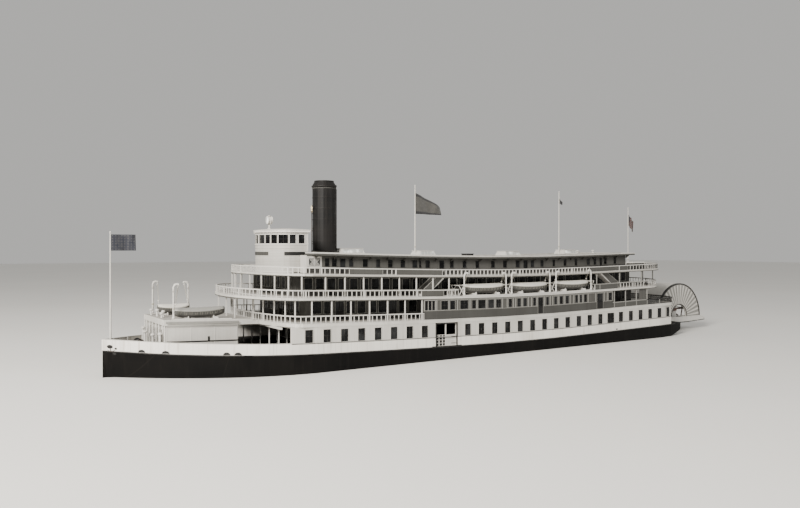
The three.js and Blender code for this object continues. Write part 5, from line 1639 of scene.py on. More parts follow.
    def _fore_house_trim(self) -> None:
        """Corner boards, posts and ventilators of the fore house."""
        trim = self.kit.shape(WHITE_TRIM).strakes([
            *((at - 0.16, at + 0.16, 12.0, 12.09, MAIN_DECK + 0.1, 12.9) for at in (16.6, 24.2, 31.8, 39.2)),
            (16.4, 39.6, 12.0, 12.14, 12.5, 12.95), (16.4, 39.6, 12.0, 12.09, MAIN_DECK + 0.05, MAIN_DECK + 0.5),
        ])
        for across in (-12.2, -9.9, -5.8, -2.2, 2.2, 5.8, 9.9, 12.2):
            foot = spot(15.95, across, MAIN_DECK + 0.02)
            trim.rod(foot, spot(15.95, across, self.beams_under), 0.2, sides=10)
            trim.turned(foot, [(0.3, 0.0), (0.3, 0.25), (0.2, 0.35)], sides=10)
        for feet, across, height in ((14.2, 5.0, 5.6), (14.2, -5.0, 5.6), (15.0, 10.6, 6.4), (15.0, -10.6, 6.4)):
            self._cowl(trim, spot(feet, across, MAIN_DECK + 0.02), height, 0.5)
        for feet, across, height in ((17.2, -9.0, 2.1), (17.6, -3.0, 2.4), (17.4, 3.4, 1.8), (18.6, 0.6, 2.2)):
            self._cowl(trim, spot(feet, across, PLATFORM_TOP), height, 0.42)
        trim.piece("fore_house_trim", "house_white")

    @staticmethod
    def _cowl(shape: Shape, foot: Vector, height: float, radius: float) -> None:
        """Ventilator with a mushroom head."""
        profile = [
            (0.9, 0.0), (0.75, 0.3), (0.7, height - 0.7), (1.35, height - 0.7), (1.5, height - 0.35),
            (1.0, height - 0.08), (0.3, height),
        ]
        shape.turned(foot, [(radius * share, rise) for share, rise in profile], sides=14)

    def _freight_deck(self) -> None:
        """Stanchions of the open freight deck, beams over it, and doors in its bulkhead."""
        shape = self.kit.shape(WHITE_TRIM)
        for feet in (50.5, 56.9, 63.4):
            for across in (-20.0, -12.0, -4.0, 4.0, 12.0, 20.0):
                shape.rod(spot(feet, across, MAIN_DECK), spot(feet, across, self.beams_under), 0.22)
        for feet in (48.5, 52.5, 56.9, 61.3, 65.7):
            half = min(27.8, hull_half(feet) - 1.0)
            shape.block(feet - 0.25, feet + 0.25, -half, half, 12.3, self.beams_under)
        shape.piece("freight_deck_stanchions", "house_white")
        marks = end_windows(70.0, [(-22, -17), (-3.5, 3.5), (17, 22)], MAIN_DECK + 0.3, 11.8, door=1.0)
        marks += end_windows(70.0, [(-14, -11), (-8.5, -5.5), (5.5, 8.5), (11, 14)], 7.8, 11.4)
        self.kit.windows("freight_bulkhead_doors", marks, "shade_grey", frame=0.25, depth=0.16)


# Galleries


@dataclass
class Galleries:
    """Railings, panels and mouldings round the three upper decks."""

    kit: Kit
    baluster_pitch: float = 1.75
    baluster: float = 0.24
    lattice_pitch: float = 0.95
    lattice: float = 0.14
    saloon_rails: tuple[float, float] = (101.8, 200.2)
    stair_panels: tuple[tuple[float, float], ...] = ((100.9, 110.4), (189.0, 203.2))
    after_rails: float = 222.0
    lattice_to: float = 50.7
    texas_panels: tuple[tuple[float, float], ...] = ((72.3, 85.2), (90.8, 110.4), (186.6, 210.3))
    stern_curve_from: float = 226.0

    def build(self) -> None:
        """Build the railings from the saloon deck up."""
        self._mouldings()
        self._saloon(Edge.rounded(*SALOON_DECK, inset=RAIL_LINE))
        self._observation(Edge.rounded(*OBSERVATION_DECK, inset=RAIL_LINE, bay=22.5))
        self._texas(Edge.rounded(*TEXAS_DECK, inset=RAIL_LINE))

    def _mouldings(self) -> None:
        """Bead along the upper edge of each deck's fascia, and a grey band of painted shadow under the upper two.
        """
        shape = self.kit.shape(WHITE_TRIM)
        for plan, floor in (
            (SALOON_DECK, SALOON_FLOOR), (OBSERVATION_DECK, OBSERVATION_FLOOR), (TEXAS_DECK, TEXAS_FLOOR),
        ):
            shape.sweep(Edge.rounded(*plan).loop(floor), rectangle(-0.3, 0.075, -0.12, 0.05), True)
        # Grey band under the observation and texas decks' edges: painted shadow.
        shape.use(GREY_RAILING_IN_SHADE)
        for plan, floor, thick in ((OBSERVATION_DECK, OBSERVATION_FLOOR, 1.0), (TEXAS_DECK, TEXAS_FLOOR, 0.8)):
            section = rectangle(-0.3, 0.06, -thick - 0.03, 0.22 - thick)
            shape.sweep(Edge.rounded(*plan).loop(floor), section, True)
        shape.piece("deck_mouldings_and_painted_shadow", "house_white")

    def _rail_strips(self, name: str, paths: Sequence[list[Vector]], rail: float) -> None:
        """Strip along the balusters' feet and a thin cap on the top rail."""
        shape = self.kit.shape(WHITE_TRIM)
        for path in paths:
            shape.sweep(path, rectangle(-0.1, 0.1, 0.26, 0.34))
            shape.sweep(path, rectangle(-0.24, 0.2, rail - 0.02, rail + 0.05))
        shape.piece(name, "house_white")

    def _solid_panels(self, name: str, paths: Sequence[list[Vector]], rail: float) -> None:
        """Boarded panels that fill a railing, in grey and trim darkened as painted shade."""
        shape = self.kit.shape()
        # Panels and caps take greys darkened as painted shade.
        for finish, section in (
            (GREY_RAILING_IN_SHADE, rectangle(-0.08, 0.1, 0.08, rail - 0.25)),
            (SHADED_TRIM, rectangle(-0.2, 0.2, rail - 0.02, rail + 0.06)),
        ):
            shape.use(finish)
            for path in paths:
                shape.sweep(path, section)
        shape.piece(name, "shade_grey")

    def _netting(self, name: str, path: list[Vector], spacing: float, width: float, height: float) -> None:
        """Dark wires that cross each other along a path."""
        for label, lean in (("left", -0.7), ("right", 0.7)):
            self.kit.bars(f"{name}_{label}", [path], spacing, width, height, BLACK_TRIM, "iron_dark", lean)

    def _saloon(self, edge: Edge) -> None:
        """Balusters forward, panels aft, and the dark netted railing round the stern."""
        rail, middle = 2.4, SALOON_FLOOR + 1.05
        aft, (fore_rails_to, panels_from) = self.after_rails, self.saloon_rails
        balusters = [edge.round_bow(fore_rails_to, middle)]
        self.kit.bars("saloon_balusters", balusters, self.baluster_pitch, self.baluster, 2.1)
        self._rail_strips("saloon_rail_caps", [edge.round_bow(fore_rails_to, SALOON_FLOOR)], rail)
        self._solid_panels("saloon_after_panels", edge.on_sides([(panels_from, aft)], SALOON_FLOOR), rail)
        self._netting("stern_netting", edge.round_stern(aft, middle), 0.42, 0.07, 2.1)
        dark = self.kit.shape(BLACK_TRIM)
        for reach, low, high in ((0.2, rail - 0.34, rail + 0.06), (0.1, 0.2, 0.4), (0.06, 1.1, 1.25)):
            inner = -0.22 if high > rail else -reach
            dark.sweep(edge.round_stern(aft, SALOON_FLOOR), rectangle(inner, reach, low, high))
        dark.piece("stern_rail_cap", "iron_dark")

    def _observation(self, edge: Edge) -> None:
        """Balusters with solid panels beside the stairs."""
        rail, floor = 2.45, OBSERVATION_FLOOR
        (bow_to, boats_from), (boats_to, after_from) = self.stair_panels
        aft = self.after_rails
        spans = [(boats_from, boats_to), (after_from, aft)]
        at_middle, at_floor = [
            [edge.round_bow(bow_to, height), *edge.on_sides(spans, height), edge.round_stern(aft, height)]
            for height in (floor + 1.07, floor)
        ]
        self.kit.bars("observation_balusters", at_middle, self.baluster_pitch, self.baluster, 2.14)
        self._rail_strips("observation_rail_caps", at_floor, rail)
        self._solid_panels("observation_panels", edge.on_sides(self.stair_panels, floor), rail)

    def _texas(self, edge: Edge) -> None:
        """Fine lattice forward, balusters, and solid panels between them."""
        rail, middle = 2.2, TEXAS_FLOOR + 0.95
        (fore, fore_end), (stair_fore, boats_from), (boats_to, aft) = self.texas_panels
        boats = edge.on_sides([(boats_from, boats_to)], middle)
        self.kit.bars("texas_boat_balusters", boats, self.baluster_pitch, 0.3, 1.9)
        for label, lean in (("left", -math.pi / 4), ("right", math.pi / 4)):
            path = [edge.round_bow(self.lattice_to, middle)]
            self.kit.bars(f"texas_lattice_{label}", path, self.lattice_pitch, self.lattice, 1.62, lean=lean)
        spans = [(self.lattice_to, fore), (fore_end, stair_fore), (aft, self.stern_curve_from)]
        upright = [*edge.on_sides(spans, middle), edge.round_stern(self.stern_curve_from, middle)]
        self.kit.bars("texas_balusters", upright, self.baluster_pitch, self.baluster * 0.9, 1.9)
        cap = rectangle(-0.22, 0.2, rail - 0.02, rail + 0.06)
        caps = self.kit.shape(WHITE_TRIM).sweep(edge.round_bow(fore, TEXAS_FLOOR), cap)
        # After caps in white trim darkened as painted shade.
        caps.use(SHADED_TRIM).sweep(edge.round_stern(boats_from, TEXAS_FLOOR), cap)
        caps.piece("texas_rail_caps", "house_white")
        self._solid_panels("texas_panels", edge.on_sides(self.texas_panels, TEXAS_FLOOR), rail)
        self._netting("texas_netting", edge.round_stern(aft, middle), 0.5, 0.08, 1.7)


# Cabins


@dataclass(frozen=True)
class CabinWalls:
    """Plain walls of one cabin in feet, and whether its front and its after wall show."""

    name: str
    fore: float
    aft: float
    half: float
    floor: float
    ceiling: float
    pitch: float
    wide: float
    fore_shows: bool
    aft_shows: bool


@dataclass
class Cabins:
    """Windows, doors, boards and mouldings on the walls of the three cabins."""

    kit: Kit
    saloon: tuple[CabinWalls, ...] = (
        CabinWalls("saloon_fore", 60.0, 107.0, 20.0, SALOON_FLOOR, 21.4, 4.3, 3.3, True, False),
        CabinWalls("saloon_aft", 200.0, 222.4, 20.0, SALOON_FLOOR, 21.4, 4.3, 3.3, False, True),
    )
    observation: CabinWalls = CabinWalls(
        "observation", 57.0, 222.4, 19.0, OBSERVATION_FLOOR, 29.2, 4.35, 3.0, True, True,
    )
    flush_ends: tuple[float, float] = (107.0, 200.0)
    flush_half: float = 28.8
    flush_windows: tuple[tuple[float, float], ...] = (
        (109.2, 112.3), (113.2, 115.5), (117.8, 121.5), (123.3, 125.2), (126.2, 129.8), (131.0, 133.9),
        (134.9, 137.4), (141.2, 142.9), (145.5, 147.5), (148.6, 150.6), (153.8, 155.4), (160.8, 162.4),
        (165.2, 166.9), (168.3, 170.2), (171.7, 173.6), (177.1, 178.8), (179.7, 181.2), (182.3, 184.1),
        (197.2, 199.4),
    )
    flush_doors: tuple[tuple[float, float], ...] = ((156.5, 159.2), (190.1, 193.8))
    texas_half: float = 17.0
    texas_windows: tuple[tuple[float, float], ...] = (
        (68.7, 70.3), (71.4, 73.2), (78.1, 79.7), (83.6, 85.6), (89.1, 90.7), (94.1, 96.0), (99.5, 101.4),
        (104.7, 106.8), (107.7, 108.6), (110.6, 112.5), (122.0, 123.7), (128.1, 129.9), (134.5, 136.2),
        (142.4, 144.2), (148.6, 150.5), (155.4, 157.4), (163.6, 165.4), (169.1, 170.8), (176.1, 177.4),
        (182.6, 184.2), (189.3, 190.7), (196.7, 198.6), (201.1, 202.6), (207.7, 209.4), (214.2, 215.7),
    )
    texas_doors: tuple[tuple[float, float], ...] = ((74.6, 76.6), (117.0, 119.2), (159.6, 161.8), (205.0, 206.4))

    def build(self) -> None:
        """Build the walls' joinery from the saloon up."""
        self._saloon_flush()
        for walls in self.saloon:
            self._wall_set(walls)
        self._end_screens()
        self._step_windows()
        self._wall_set(self.observation)
        self._texas()
        self._texas_front()

    def _saloon_flush(self) -> None:
        """Wide part of the saloon, flush with the deck's edge: posts and grey panels darkened as painted shade,
        and dark windows.
        """
        half, (fore, aft) = self.flush_half, self.flush_ends
        marks = wall_windows(self.flush_windows, half, 17.65, 20.85)
        marks += wall_windows(self.flush_doors, half, SALOON_FLOOR + 0.2, 20.85, 1.0)
        self.kit.windows("saloon_side_windows", marks, casing=SHADED_TRIM, frame=0.1, depth=0.1, bar=0.07)
        # Grey panels and white posts, both darkened as painted shade.
        panel, trim = self.kit.shape(GREY_PANEL_IN_SHADE), self.kit.shape(SHADED_TRIM)
        ends = [fore + 0.1, *(feet for span in self.flush_doors for feet in span), aft - 0.1]
        for start, end in zip(ends[::2], ends[1::2]):
            panel.strakes([(start + 0.1, end - 0.1, half, half + 0.07, SALOON_FLOOR + 0.08, 17.3)])
            trim.strakes([(start + 0.1, end - 0.1, half, half + 0.17, 17.3, 17.46)])
        openings = sorted(self.flush_windows + self.flush_doors)
        posts = [fore + 0.35, aft - 0.4]
        for (_, left), (right, _) in zip(openings, openings[1:]):
            narrow = right - left < 2.4
            posts += [(left + right) / 2] if narrow else [left + 0.75, right - 0.75]
        trim.strakes([(feet - 0.15, feet + 0.15, half, half + 0.15, 17.46, 21.3) for feet in posts])
        trim.strakes([(fore + 0.1, aft - 0.1, half, half + 0.18, 21.08, 21.36)])
        panel.piece("saloon_lower_panels", "shade_grey")
        trim.piece("saloon_side_posts", "house_white")

    def _step_windows(self) -> None:
        """Windows in the walls across the vessel, where the saloon widens to the deck's edge."""
        steps = [(21.2, 23.6), (25.0, 27.4), (-23.6, -21.2), (-27.4, -25.0)]
        fore, aft = self.flush_ends
        marks = end_windows(fore, steps, 16.6, 20.65) + end_windows(aft, steps, 16.6, 20.65, True)
        self.kit.windows("saloon_step_windows", marks)

    def _wall_set(self, walls: CabinWalls) -> None:
        """Windows and doors of a cabin's plain walls, with pilasters, a skirting and a cornice in colours
        darkened as painted shade, and dark bands of painted shade along the lower wall and under the cornice.
        """
        fore, aft, half, floor, ceiling = walls.fore, walls.aft, walls.half, walls.floor, walls.ceiling
        sill, head, door_foot = floor + 2.3, ceiling - 0.75, floor + 0.2
        shown = [end for end in ((walls.fore_shows, fore, False), (walls.aft_shows, aft, True)) if end[0]]
        spans = even_spans(fore + 1.2, aft - 1.2, walls.pitch, walls.wide)
        doors = spans[2::5]
        marks = wall_windows([span for span in spans if span not in doors], half, sill, head)
        marks += wall_windows(doors, half, door_foot, head, 1.0)
        across = even_spans(2.6 - half, half - 2.6, walls.pitch * 1.05, walls.wide)
        middle = across.pop(len(across) // 2)
        for _, feet, aftwards in shown:
            marks += end_windows(feet, across, sill, head, aftwards)
            marks += end_windows(feet, [middle], door_foot, head, aftwards, 1.0)
        self.kit.windows(f"{walls.name}_windows", marks, casing=SHADED_TRIM, frame=0.14)
        # Dark bands along the lower wall and under the cornice: painted shade.
        lower = self.kit.shape(SHADED_WALL).strakes([
            (fore, aft, half, half + 0.05, floor + 0.4, floor + 2.1),
            (fore, aft, half, half + 0.03, ceiling - 0.9, ceiling - 0.35),
        ])
        lower.piece(f"{walls.name}_painted_shade_band", "shade_grey")
        pilasters = [(left + right) / 2 for (_, left), (right, _) in zip(spans, spans[1:])]
        # Pilasters, skirting and cornice in grey darkened as painted shade.
        trim = self.kit.shape(GREY_RAILING_IN_SHADE).strakes([
            (fore, aft, half, half + 0.08, floor + 0.05, floor + 0.4),
            (fore, aft, half, half + 0.12, ceiling - 0.35, ceiling - 0.04),
            *((at - 0.14, at + 0.14, half, half + 0.09, floor + 0.4, ceiling - 0.35) for at in pilasters),
        ])
        for _, feet, aftwards in shown:
            start = feet if aftwards else feet - 0.09
            for low, high in ((floor + 0.05, floor + 0.4), (ceiling - 0.35, ceiling - 0.04)):
                trim.block(start, start + 0.09, -half, half, low, high)
        trim.piece(f"{walls.name}_boards", "house_white")

    def _end_screens(self) -> None:
        """Glazed screens that close the galleries' ends against the wide part of the saloon."""
        # The screens' grey boards, panels and frames are darkened as painted shade.
        parts = (
            ("gallery_after_screens", GREY_WALL_IN_SHADE, (217.6, 222.0, 28.35, 28.5, SALOON_FLOOR + 0.1, 21.3)),
            ("gallery_screen_panels", GREY_PANEL_IN_SHADE, (101.9, 107.15, 28.855, 28.93, SALOON_FLOOR + 0.08, 17.3)),
        )
        for name, finish, row in parts:
            self.kit.shape(finish).strakes([row]).piece(name, "shade_grey")
        trim = self.kit.shape(SHADED_TRIM).strakes([
            (101.9, 107.15, 28.4, 28.92, 17.24, 17.5), (101.9, 107.15, 28.4, 28.92, 20.95, 21.38),
        ])
        trim.blocks([
            (feet - wide, feet + wide, 28.42, 28.8, 17.4, 21.1)
            for feet, wide in ((102.05, 0.18), (103.7, 0.07), (105.3, 0.07), (106.85, 0.18))
        ])
        trim.piece("gallery_screen_frames", "house_white")
        glass = self.kit.shape(PANE).strakes([(102.1, 107.0, 28.5, 28.58, 17.4, 21.1)])
        glass.piece("gallery_screen_panes", "house_white")

    def _texas(self) -> None:
        """Small windows, doors and boards of the texas, most in grey darkened as painted shade, and a dark band
        of painted shade along its lower wall.
        """
        half = self.texas_half
        marks = wall_windows(self.texas_windows, half, 32.55, 35.25)
        marks += wall_windows(self.texas_doors, half, 30.2, 35.25, 1.0)
        marks += end_windows(222.2, even_spans(-15, 15, 5.2, 1.8), 32.4, 35.2, True)
        marks += end_windows(222.2, [(-1.5, 1.5)], 30.2, 35.2, True, 1.0)
        # Casings and boards in grey darkened as painted shade.
        self.kit.windows("texas_windows", marks, casing=GREY_RAILING_IN_SHADE, frame=0.09, depth=0.09, bar=0.07)
        trim = self.kit.shape(GREY_RAILING_IN_SHADE).strakes([
            (61.9, 222.1, half, half + 0.1, low, high) for low, high in ((30.05, 30.35), (35.85, 36.16))
        ])
        trim.use(WHITE_TRIM).strakes([
            (fore, aft, half, half + 0.1, low, high) for fore, aft, low, high in (
                (62.4, 67.1, 32.3, 32.5), (62.4, 67.1, 35.3, 35.5), (62.4, 62.6, 32.3, 35.5),
                (66.9, 67.1, 32.3, 35.5), (64.6, 64.8, 32.3, 35.5),
            )
        ])
        trim.piece("texas_boards", "house_white")
        # Dark band along the lower wall: painted shade.
        lower = self.kit.shape(SHADED_WALL).strakes([(61.8, 222.1, half, half + 0.05, 30.35, 32.1)])
        lower.piece("texas_painted_shade_band", "shade_grey")

    def _texas_front(self) -> None:
        """White boards and the trellis window beside the pilothouse."""
        half = self.texas_half
        white = self.kit.shape(WHITE_BOARDS).strakes([(61.8, 67.5, half, half + 0.04, 32.12, 35.84)])
        white.blocks([(61.7, 61.8, 12.2, half + 0.04, 30.1, 36.1)])
        white.piece("texas_fore_boards", "house_white")
        glass = self.kit.shape(TRELLIS_GLASS).strakes([(62.5, 67.0, half + 0.04, half + 0.07, 32.4, 35.4)])
        glass.piece("trellis_panes", "house_white")
        paths = []
        for side in BOTH:
            ends = [spot(feet, side * (half + 0.1), 33.9) for feet in (63.9, 65.6)]
            paths.append(ends[::side])
        for label, lean in (("left", -0.78), ("right", 0.78)):
            self.kit.bars(f"trellis_{label}", paths, 0.42, 0.1, 2.9, lean=lean)


# Pilothouse


@dataclass
class Pilothouse:
    """Window joinery, boards, cornice, steering wheel and searchlight of the pilothouse, which stands plumb."""

    kit: Kit
    fore: float = 51.6
    fore_run: float = 8.0
    aft: float = 64.7
    half: float = 12.0
    floor: float = 37.6
    sill: float = 40.05
    head: float = 43.1
    bar_at: float = 41.5
    top: float = 43.9
    roof_thick: float = 0.77
    overhang: float = 0.6
    aft_half: float = 8.0
    lamp_at: float = 55.5
    bays: tuple[tuple[float, float], ...] = ((4, 19), (24, 33), (38, 49), (54, 74))
    sashes: tuple[tuple[float, float], ...] = ((2.4, 20.4), (22.4, 34.6), (36.6, 50.8), (52.9, 75.2))
    side_bays: tuple[tuple[float, float], ...] = ((57.8, 60.3), (61.1, 63.6))

    def __post_init__(self) -> None:
        """Find the rise of the sheer that lifts the whole pilothouse, and the bays of both sides."""
        self.rise = sheer_at(self.fore + self.fore_run)
        self.all_bays = [*self.bays, *((-end, -start) for start, end in self.bays)]

    def build(self) -> None:
        """Build all of it."""
        self._glazing()
        self._casings()
        self._roof()
        self._boards()
        self._steering()
        self._searchlight()

    def _spot(self, feet: float, across: float, height: float) -> Vector:
        """Point lifted as the pilothouse is."""
        return plumb(feet, across, height + self.rise)

    def _point(self, degrees: float, out: float, height: float) -> Vector:
        """Point on the round front, by its angle off the bow, at a distance outside the wall."""
        angle = math.radians(degrees)
        feet = self.fore + self.fore_run - (self.fore_run + out) * math.cos(angle)
        return self._spot(feet, (self.half + out) * math.sin(angle), height)

    def _arc(self, start: float, end: float, out: float, height: float) -> list[Vector]:
        """Path on the round front between two angles, from starboard to port."""
        count = max(2, math.ceil((end - start) / 5))
        return [self._point(start + (end - start) * k / count, out, height) for k in range(count + 1)]

    def _wrap(self, out: float, height: float) -> list[Vector]:
        """Closed path round the whole house."""
        rear = [self._spot(self.aft + out, side * (self.half + out), height) for side in BOTH]
        return [*self._arc(-90, 90, out, height), *rear]

    def _block(
        self, shape: Shape, fore: float, aft: float, y0: float, y1: float, low: float, high: float,
    ) -> None:
        """Square block in feet, lifted as the pilothouse is."""
        shift = self.rise - sheer_at((fore + aft) / 2)
        shape.block(fore, aft, y0, y1, low + shift, high + shift)

    def _post(
        self, shape: Shape, degrees: float, outs: tuple[float, float], wide: float, low: float, high: float,
    ) -> None:
        """Upright strip on the round front.

        Args:
            shape: Shape that it joins.
            degrees: Its angle off the bow.
            outs: Its inner and outer face, in feet outside the wall.
            wide: Its width in feet.
            low: Height of its foot.
            high: Height of its top.
        """
        near, far = (self._point(degrees, out, 0) for out in outs)
        run = (far - near).normalized()
        side = Vector((-run.y, run.x, 0.0)) * wide * FT / 2
        corners = (near - side, far - side, far + side, near + side)
        shape.loft([[Vector((p.x, p.y, level(h + self.rise))) for p in corners] for h in (low, high)])

    def _glazing(self) -> None:
        """Panes in the window openings."""
        glass = self.kit.shape(PANE)
        pane = rectangle(-0.03, 0.03, -0.06, self.head - self.sill + 0.06)
        foot, top = self.sill - 0.05, self.head + 0.05
        for start, end in self.all_bays:
            glass.sweep(self._arc(start - 0.6, end + 0.6, -0.22, self.sill), pane)
        for side in BOTH:
            y = side * (self.half - 0.22)
            for fore, aft in self.side_bays:
                self._block(glass, fore - 0.05, aft + 0.05, y - 0.03, y + 0.03, foot, top)
        half = self.aft_half + 0.05
        self._block(glass, self.aft - 0.25, self.aft - 0.19, -half, half, foot, top)
        glass.piece("pilothouse_panes", "house_white")

    def _casings(self) -> None:
        """Casings, dark stiles and glazing bars, and the long sill and head boards."""
        sill, head = self.sill, self.head
        trim = self.kit.shape(WHITE_TRIM)
        for low, high, out in ((-0.42, -0.02, 0.16), (3.02, 3.3, 0.1)):
            trim.sweep(self._wrap(0.0, sill), rectangle(-0.06, out, low, high), True)
        for mirror in (1, -1):
            for degrees in (edge for span in self.sashes for edge in span):
                self._post(trim, mirror * degrees, (-0.1, 0.06), 0.1, sill, head)
        for side in BOTH:
            near, far = side * (self.half - 0.3), side * (self.half + 0.09)
            for feet in (edge for span in self.side_bays for edge in span):
                self._block(trim, feet - 0.07, feet + 0.07, near, far, sill, head)
        for k in range(9):
            across, wide = -self.aft_half + 2 * k, 0.13 if k % 8 else 0.2
            self._block(trim, self.aft - 0.3, self.aft + 0.06, across - wide, across + wide, sill, head)
        across = self.aft_half
        self._block(trim, self.aft - 0.3, self.aft + 0.02, -across, across, self.bar_at, self.bar_at + 0.12)
        trim.use(SASH)
        for (start, end), (low, high) in zip(self.bays, self.sashes):
            for mirror in (1, -1):
                for span in ((low, start + 0.3), (end - 0.3, high)):
                    stile = self._arc(*sorted(mirror * edge for edge in span), 0.02, sill)
                    trim.sweep(stile, rectangle(-0.04, 0.02, 0.0, head - sill))
        for start, end in self.all_bays:
            count = max(1, round((end - start) / 8))
            for k in range(1, count):
                self._post(trim, start + (end - start) * k / count, (-0.25, 0.0), 0.13, sill, head)
            bar = self._arc(start, end, -0.16, (sill + head) / 2)
            trim.sweep(bar, rectangle(-0.05, 0.08, -0.05, 0.05))
        for side in BOTH:
            near, far = side * (self.half - 0.3), side * (self.half - 0.03)
            for fore, aft in self.side_bays:
                self._block(trim, fore, aft, near, far, self.bar_at, self.bar_at + 0.1)
        trim.piece("pilothouse_casings", "house_white")

    def _roof(self) -> None:
        """Crowned canvas, cornice mouldings and brackets under the eave."""
        foot = self.top + 0.02
        rows = ((0.5, 0.0), (0.3, 0.1), (-1.5, 0.36), (-4.5, 0.58), (-7.2, 0.64))
        crown = self.kit.shape(ROOF_CANVAS)
        crown.loft([self._wrap(out, foot + self.roof_thick + height) for out, height in rows])
        crown.piece("pilothouse_canvas", "deck_grey")
        trim = self.kit.shape(WHITE_TRIM)
        eave = self._wrap(self.overhang, foot)
        trim.sweep(eave, rectangle(-0.1, 0.12, self.roof_thick - 0.2, self.roof_thick + 0.06), True)
        trim.sweep(eave, rectangle(-0.1, 0.06, -0.02, 0.16), True)
        trim.sweep(self._wrap(0.0, foot), rectangle(-0.05, 0.2, -0.34, -0.03), True)
        for k in range(19):
            self._post(trim, -90 + 10 * k, (0.0, 0.5), 0.16, self.top - 0.34, self.top + 0.01)
        trim.piece("pilothouse_cornice", "house_white")

    def _boards(self) -> None:
        """Blank boards below the windows, corner boards and a waist moulding."""
        trim = self.kit.shape(WHITE_TRIM)
        for side in BOTH:
            near, far = side * (self.half - 0.3), side * (self.half + 0.07)
            self._block(trim, self.aft - 0.3, self.aft + 0.06, near, far, 37.3, 43.6)
        trim.sweep(self._arc(-88, 88, 0.0, 38.4), rectangle(-0.05, 0.12, 0.0, 0.16))
        trim.sweep(self._arc(-88, 88, 0.0, 29.0), rectangle(-0.05, 0.12, 1.1, 1.6))
        trim.piece("pilothouse_mouldings", "house_white")
        board, foot = rectangle(-0.06, 0.07, 0.0, 1.2), 36.0
        port, starboard = (self._spot(64.3, side * (self.half + 0.05), foot) for side in BOTH)
        dark = self.kit.shape(BLACK_TRIM)
        dark.sweep([*self._arc(66, 90, 0.05, foot), port], board)
        dark.sweep([starboard, *self._arc(-90, -66, 0.05, foot)], board)
        dark.use(GREY_PANEL_IN_SHADE).sweep(self._arc(-30, 30, 0.05, foot), board)
        dark.piece("pilothouse_blank_boards", "funnel_black")

    def _steering(self) -> None:
        """Floor, steering wheel and binnacle inside the windows."""
        shape = self.kit.shape(DECK)
        shape.plate(self._wrap(-0.45, self.floor), move(z=0.2))
        shape.use(WHEEL_TIMBER)
        hub = self._spot(57.2, 0.0, 40.3)
        for arm in spokes(Z_AXIS, Y_AXIS, 10):
            shape.rod(hub, hub + arm * 2.6 * FT, 0.08, 0.05, 6)
        shape.hoop(hub, X_AXIS, [(1.85, -0.1), (2.1, -0.1), (2.1, 0.1), (1.85, 0.1)], spokes(Z_AXIS, Y_AXIS, 24))
        self._block(shape, 57.5, 58.0, -0.3, 0.3, self.floor + 0.2, 40.5)
        binnacle = self._spot(55.2, 1.6, self.floor + 0.2)
        shape.use(BRASS).turned(binnacle, [(0.4, 0), (0.35, 2.2), (0.5, 2.3), (0.4, 2.8), (0.1, 3.0)])
        shape.piece("pilothouse_steering", "wheel_timber")

    def _searchlight(self) -> None:
        """Yoke, lens, rims and cooling louvres of the searchlight."""
        base = self._spot(self.lamp_at, 0.0, self.top + self.roof_thick + 0.02)
        lamp = base + move(z=3.6)
        trim = self.kit.shape(WHITE_TRIM, smooth=True)
        for at in (-0.86, 0.62):
            rim = [(1.28, 0.0), (1.42, 0.04), (1.42, 0.2), (1.28, 0.24)]
            trim.turned(lamp + move(x=at), rim, X_AXIS, 20)
        trim.turned(lamp - move(x=0.85), [(1.0, 0.02), (0.85, -0.28), (0.3, -0.46), (0.05, -0.48)], X_AXIS, 16)
        for side in BOTH:
            yoke = ((1.5, 0.15), (1.55, -0.6), (1.1, -1.35), (0.2, -1.55))
            trim.tube([lamp + move(y=side * y, z=z) for y, z in yoke], 0.12)
            trim.turned(lamp + move(y=side * 1.3), [(0.28, 0.0), (0.28, 0.3)], Y_AXIS * side, 10)
        trim.turned(lamp + move(z=1.2), [(0.5, 0.0), (0.5, 0.3), (0.62, 0.32), (0.3, 0.5)], sides=12)
        trim.turned(base, [(0.75, 0.02), (0.75, 0.62), (0.42, 0.72), (0.36, 1.0)], sides=14)
        trim.piece("searchlight_mounting", "house_white")
        glass = self.kit.shape(ROOF_GLASS)
        glass.turned(lamp + move(x=0.85), [(1.2, -0.02), (1.2, 0.02), (0.8, 0.09), (0.05, 0.12)], X_AXIS, 20)
        glass.piece("searchlight_lens", "iron_dark")


# Roof, funnel and stairs


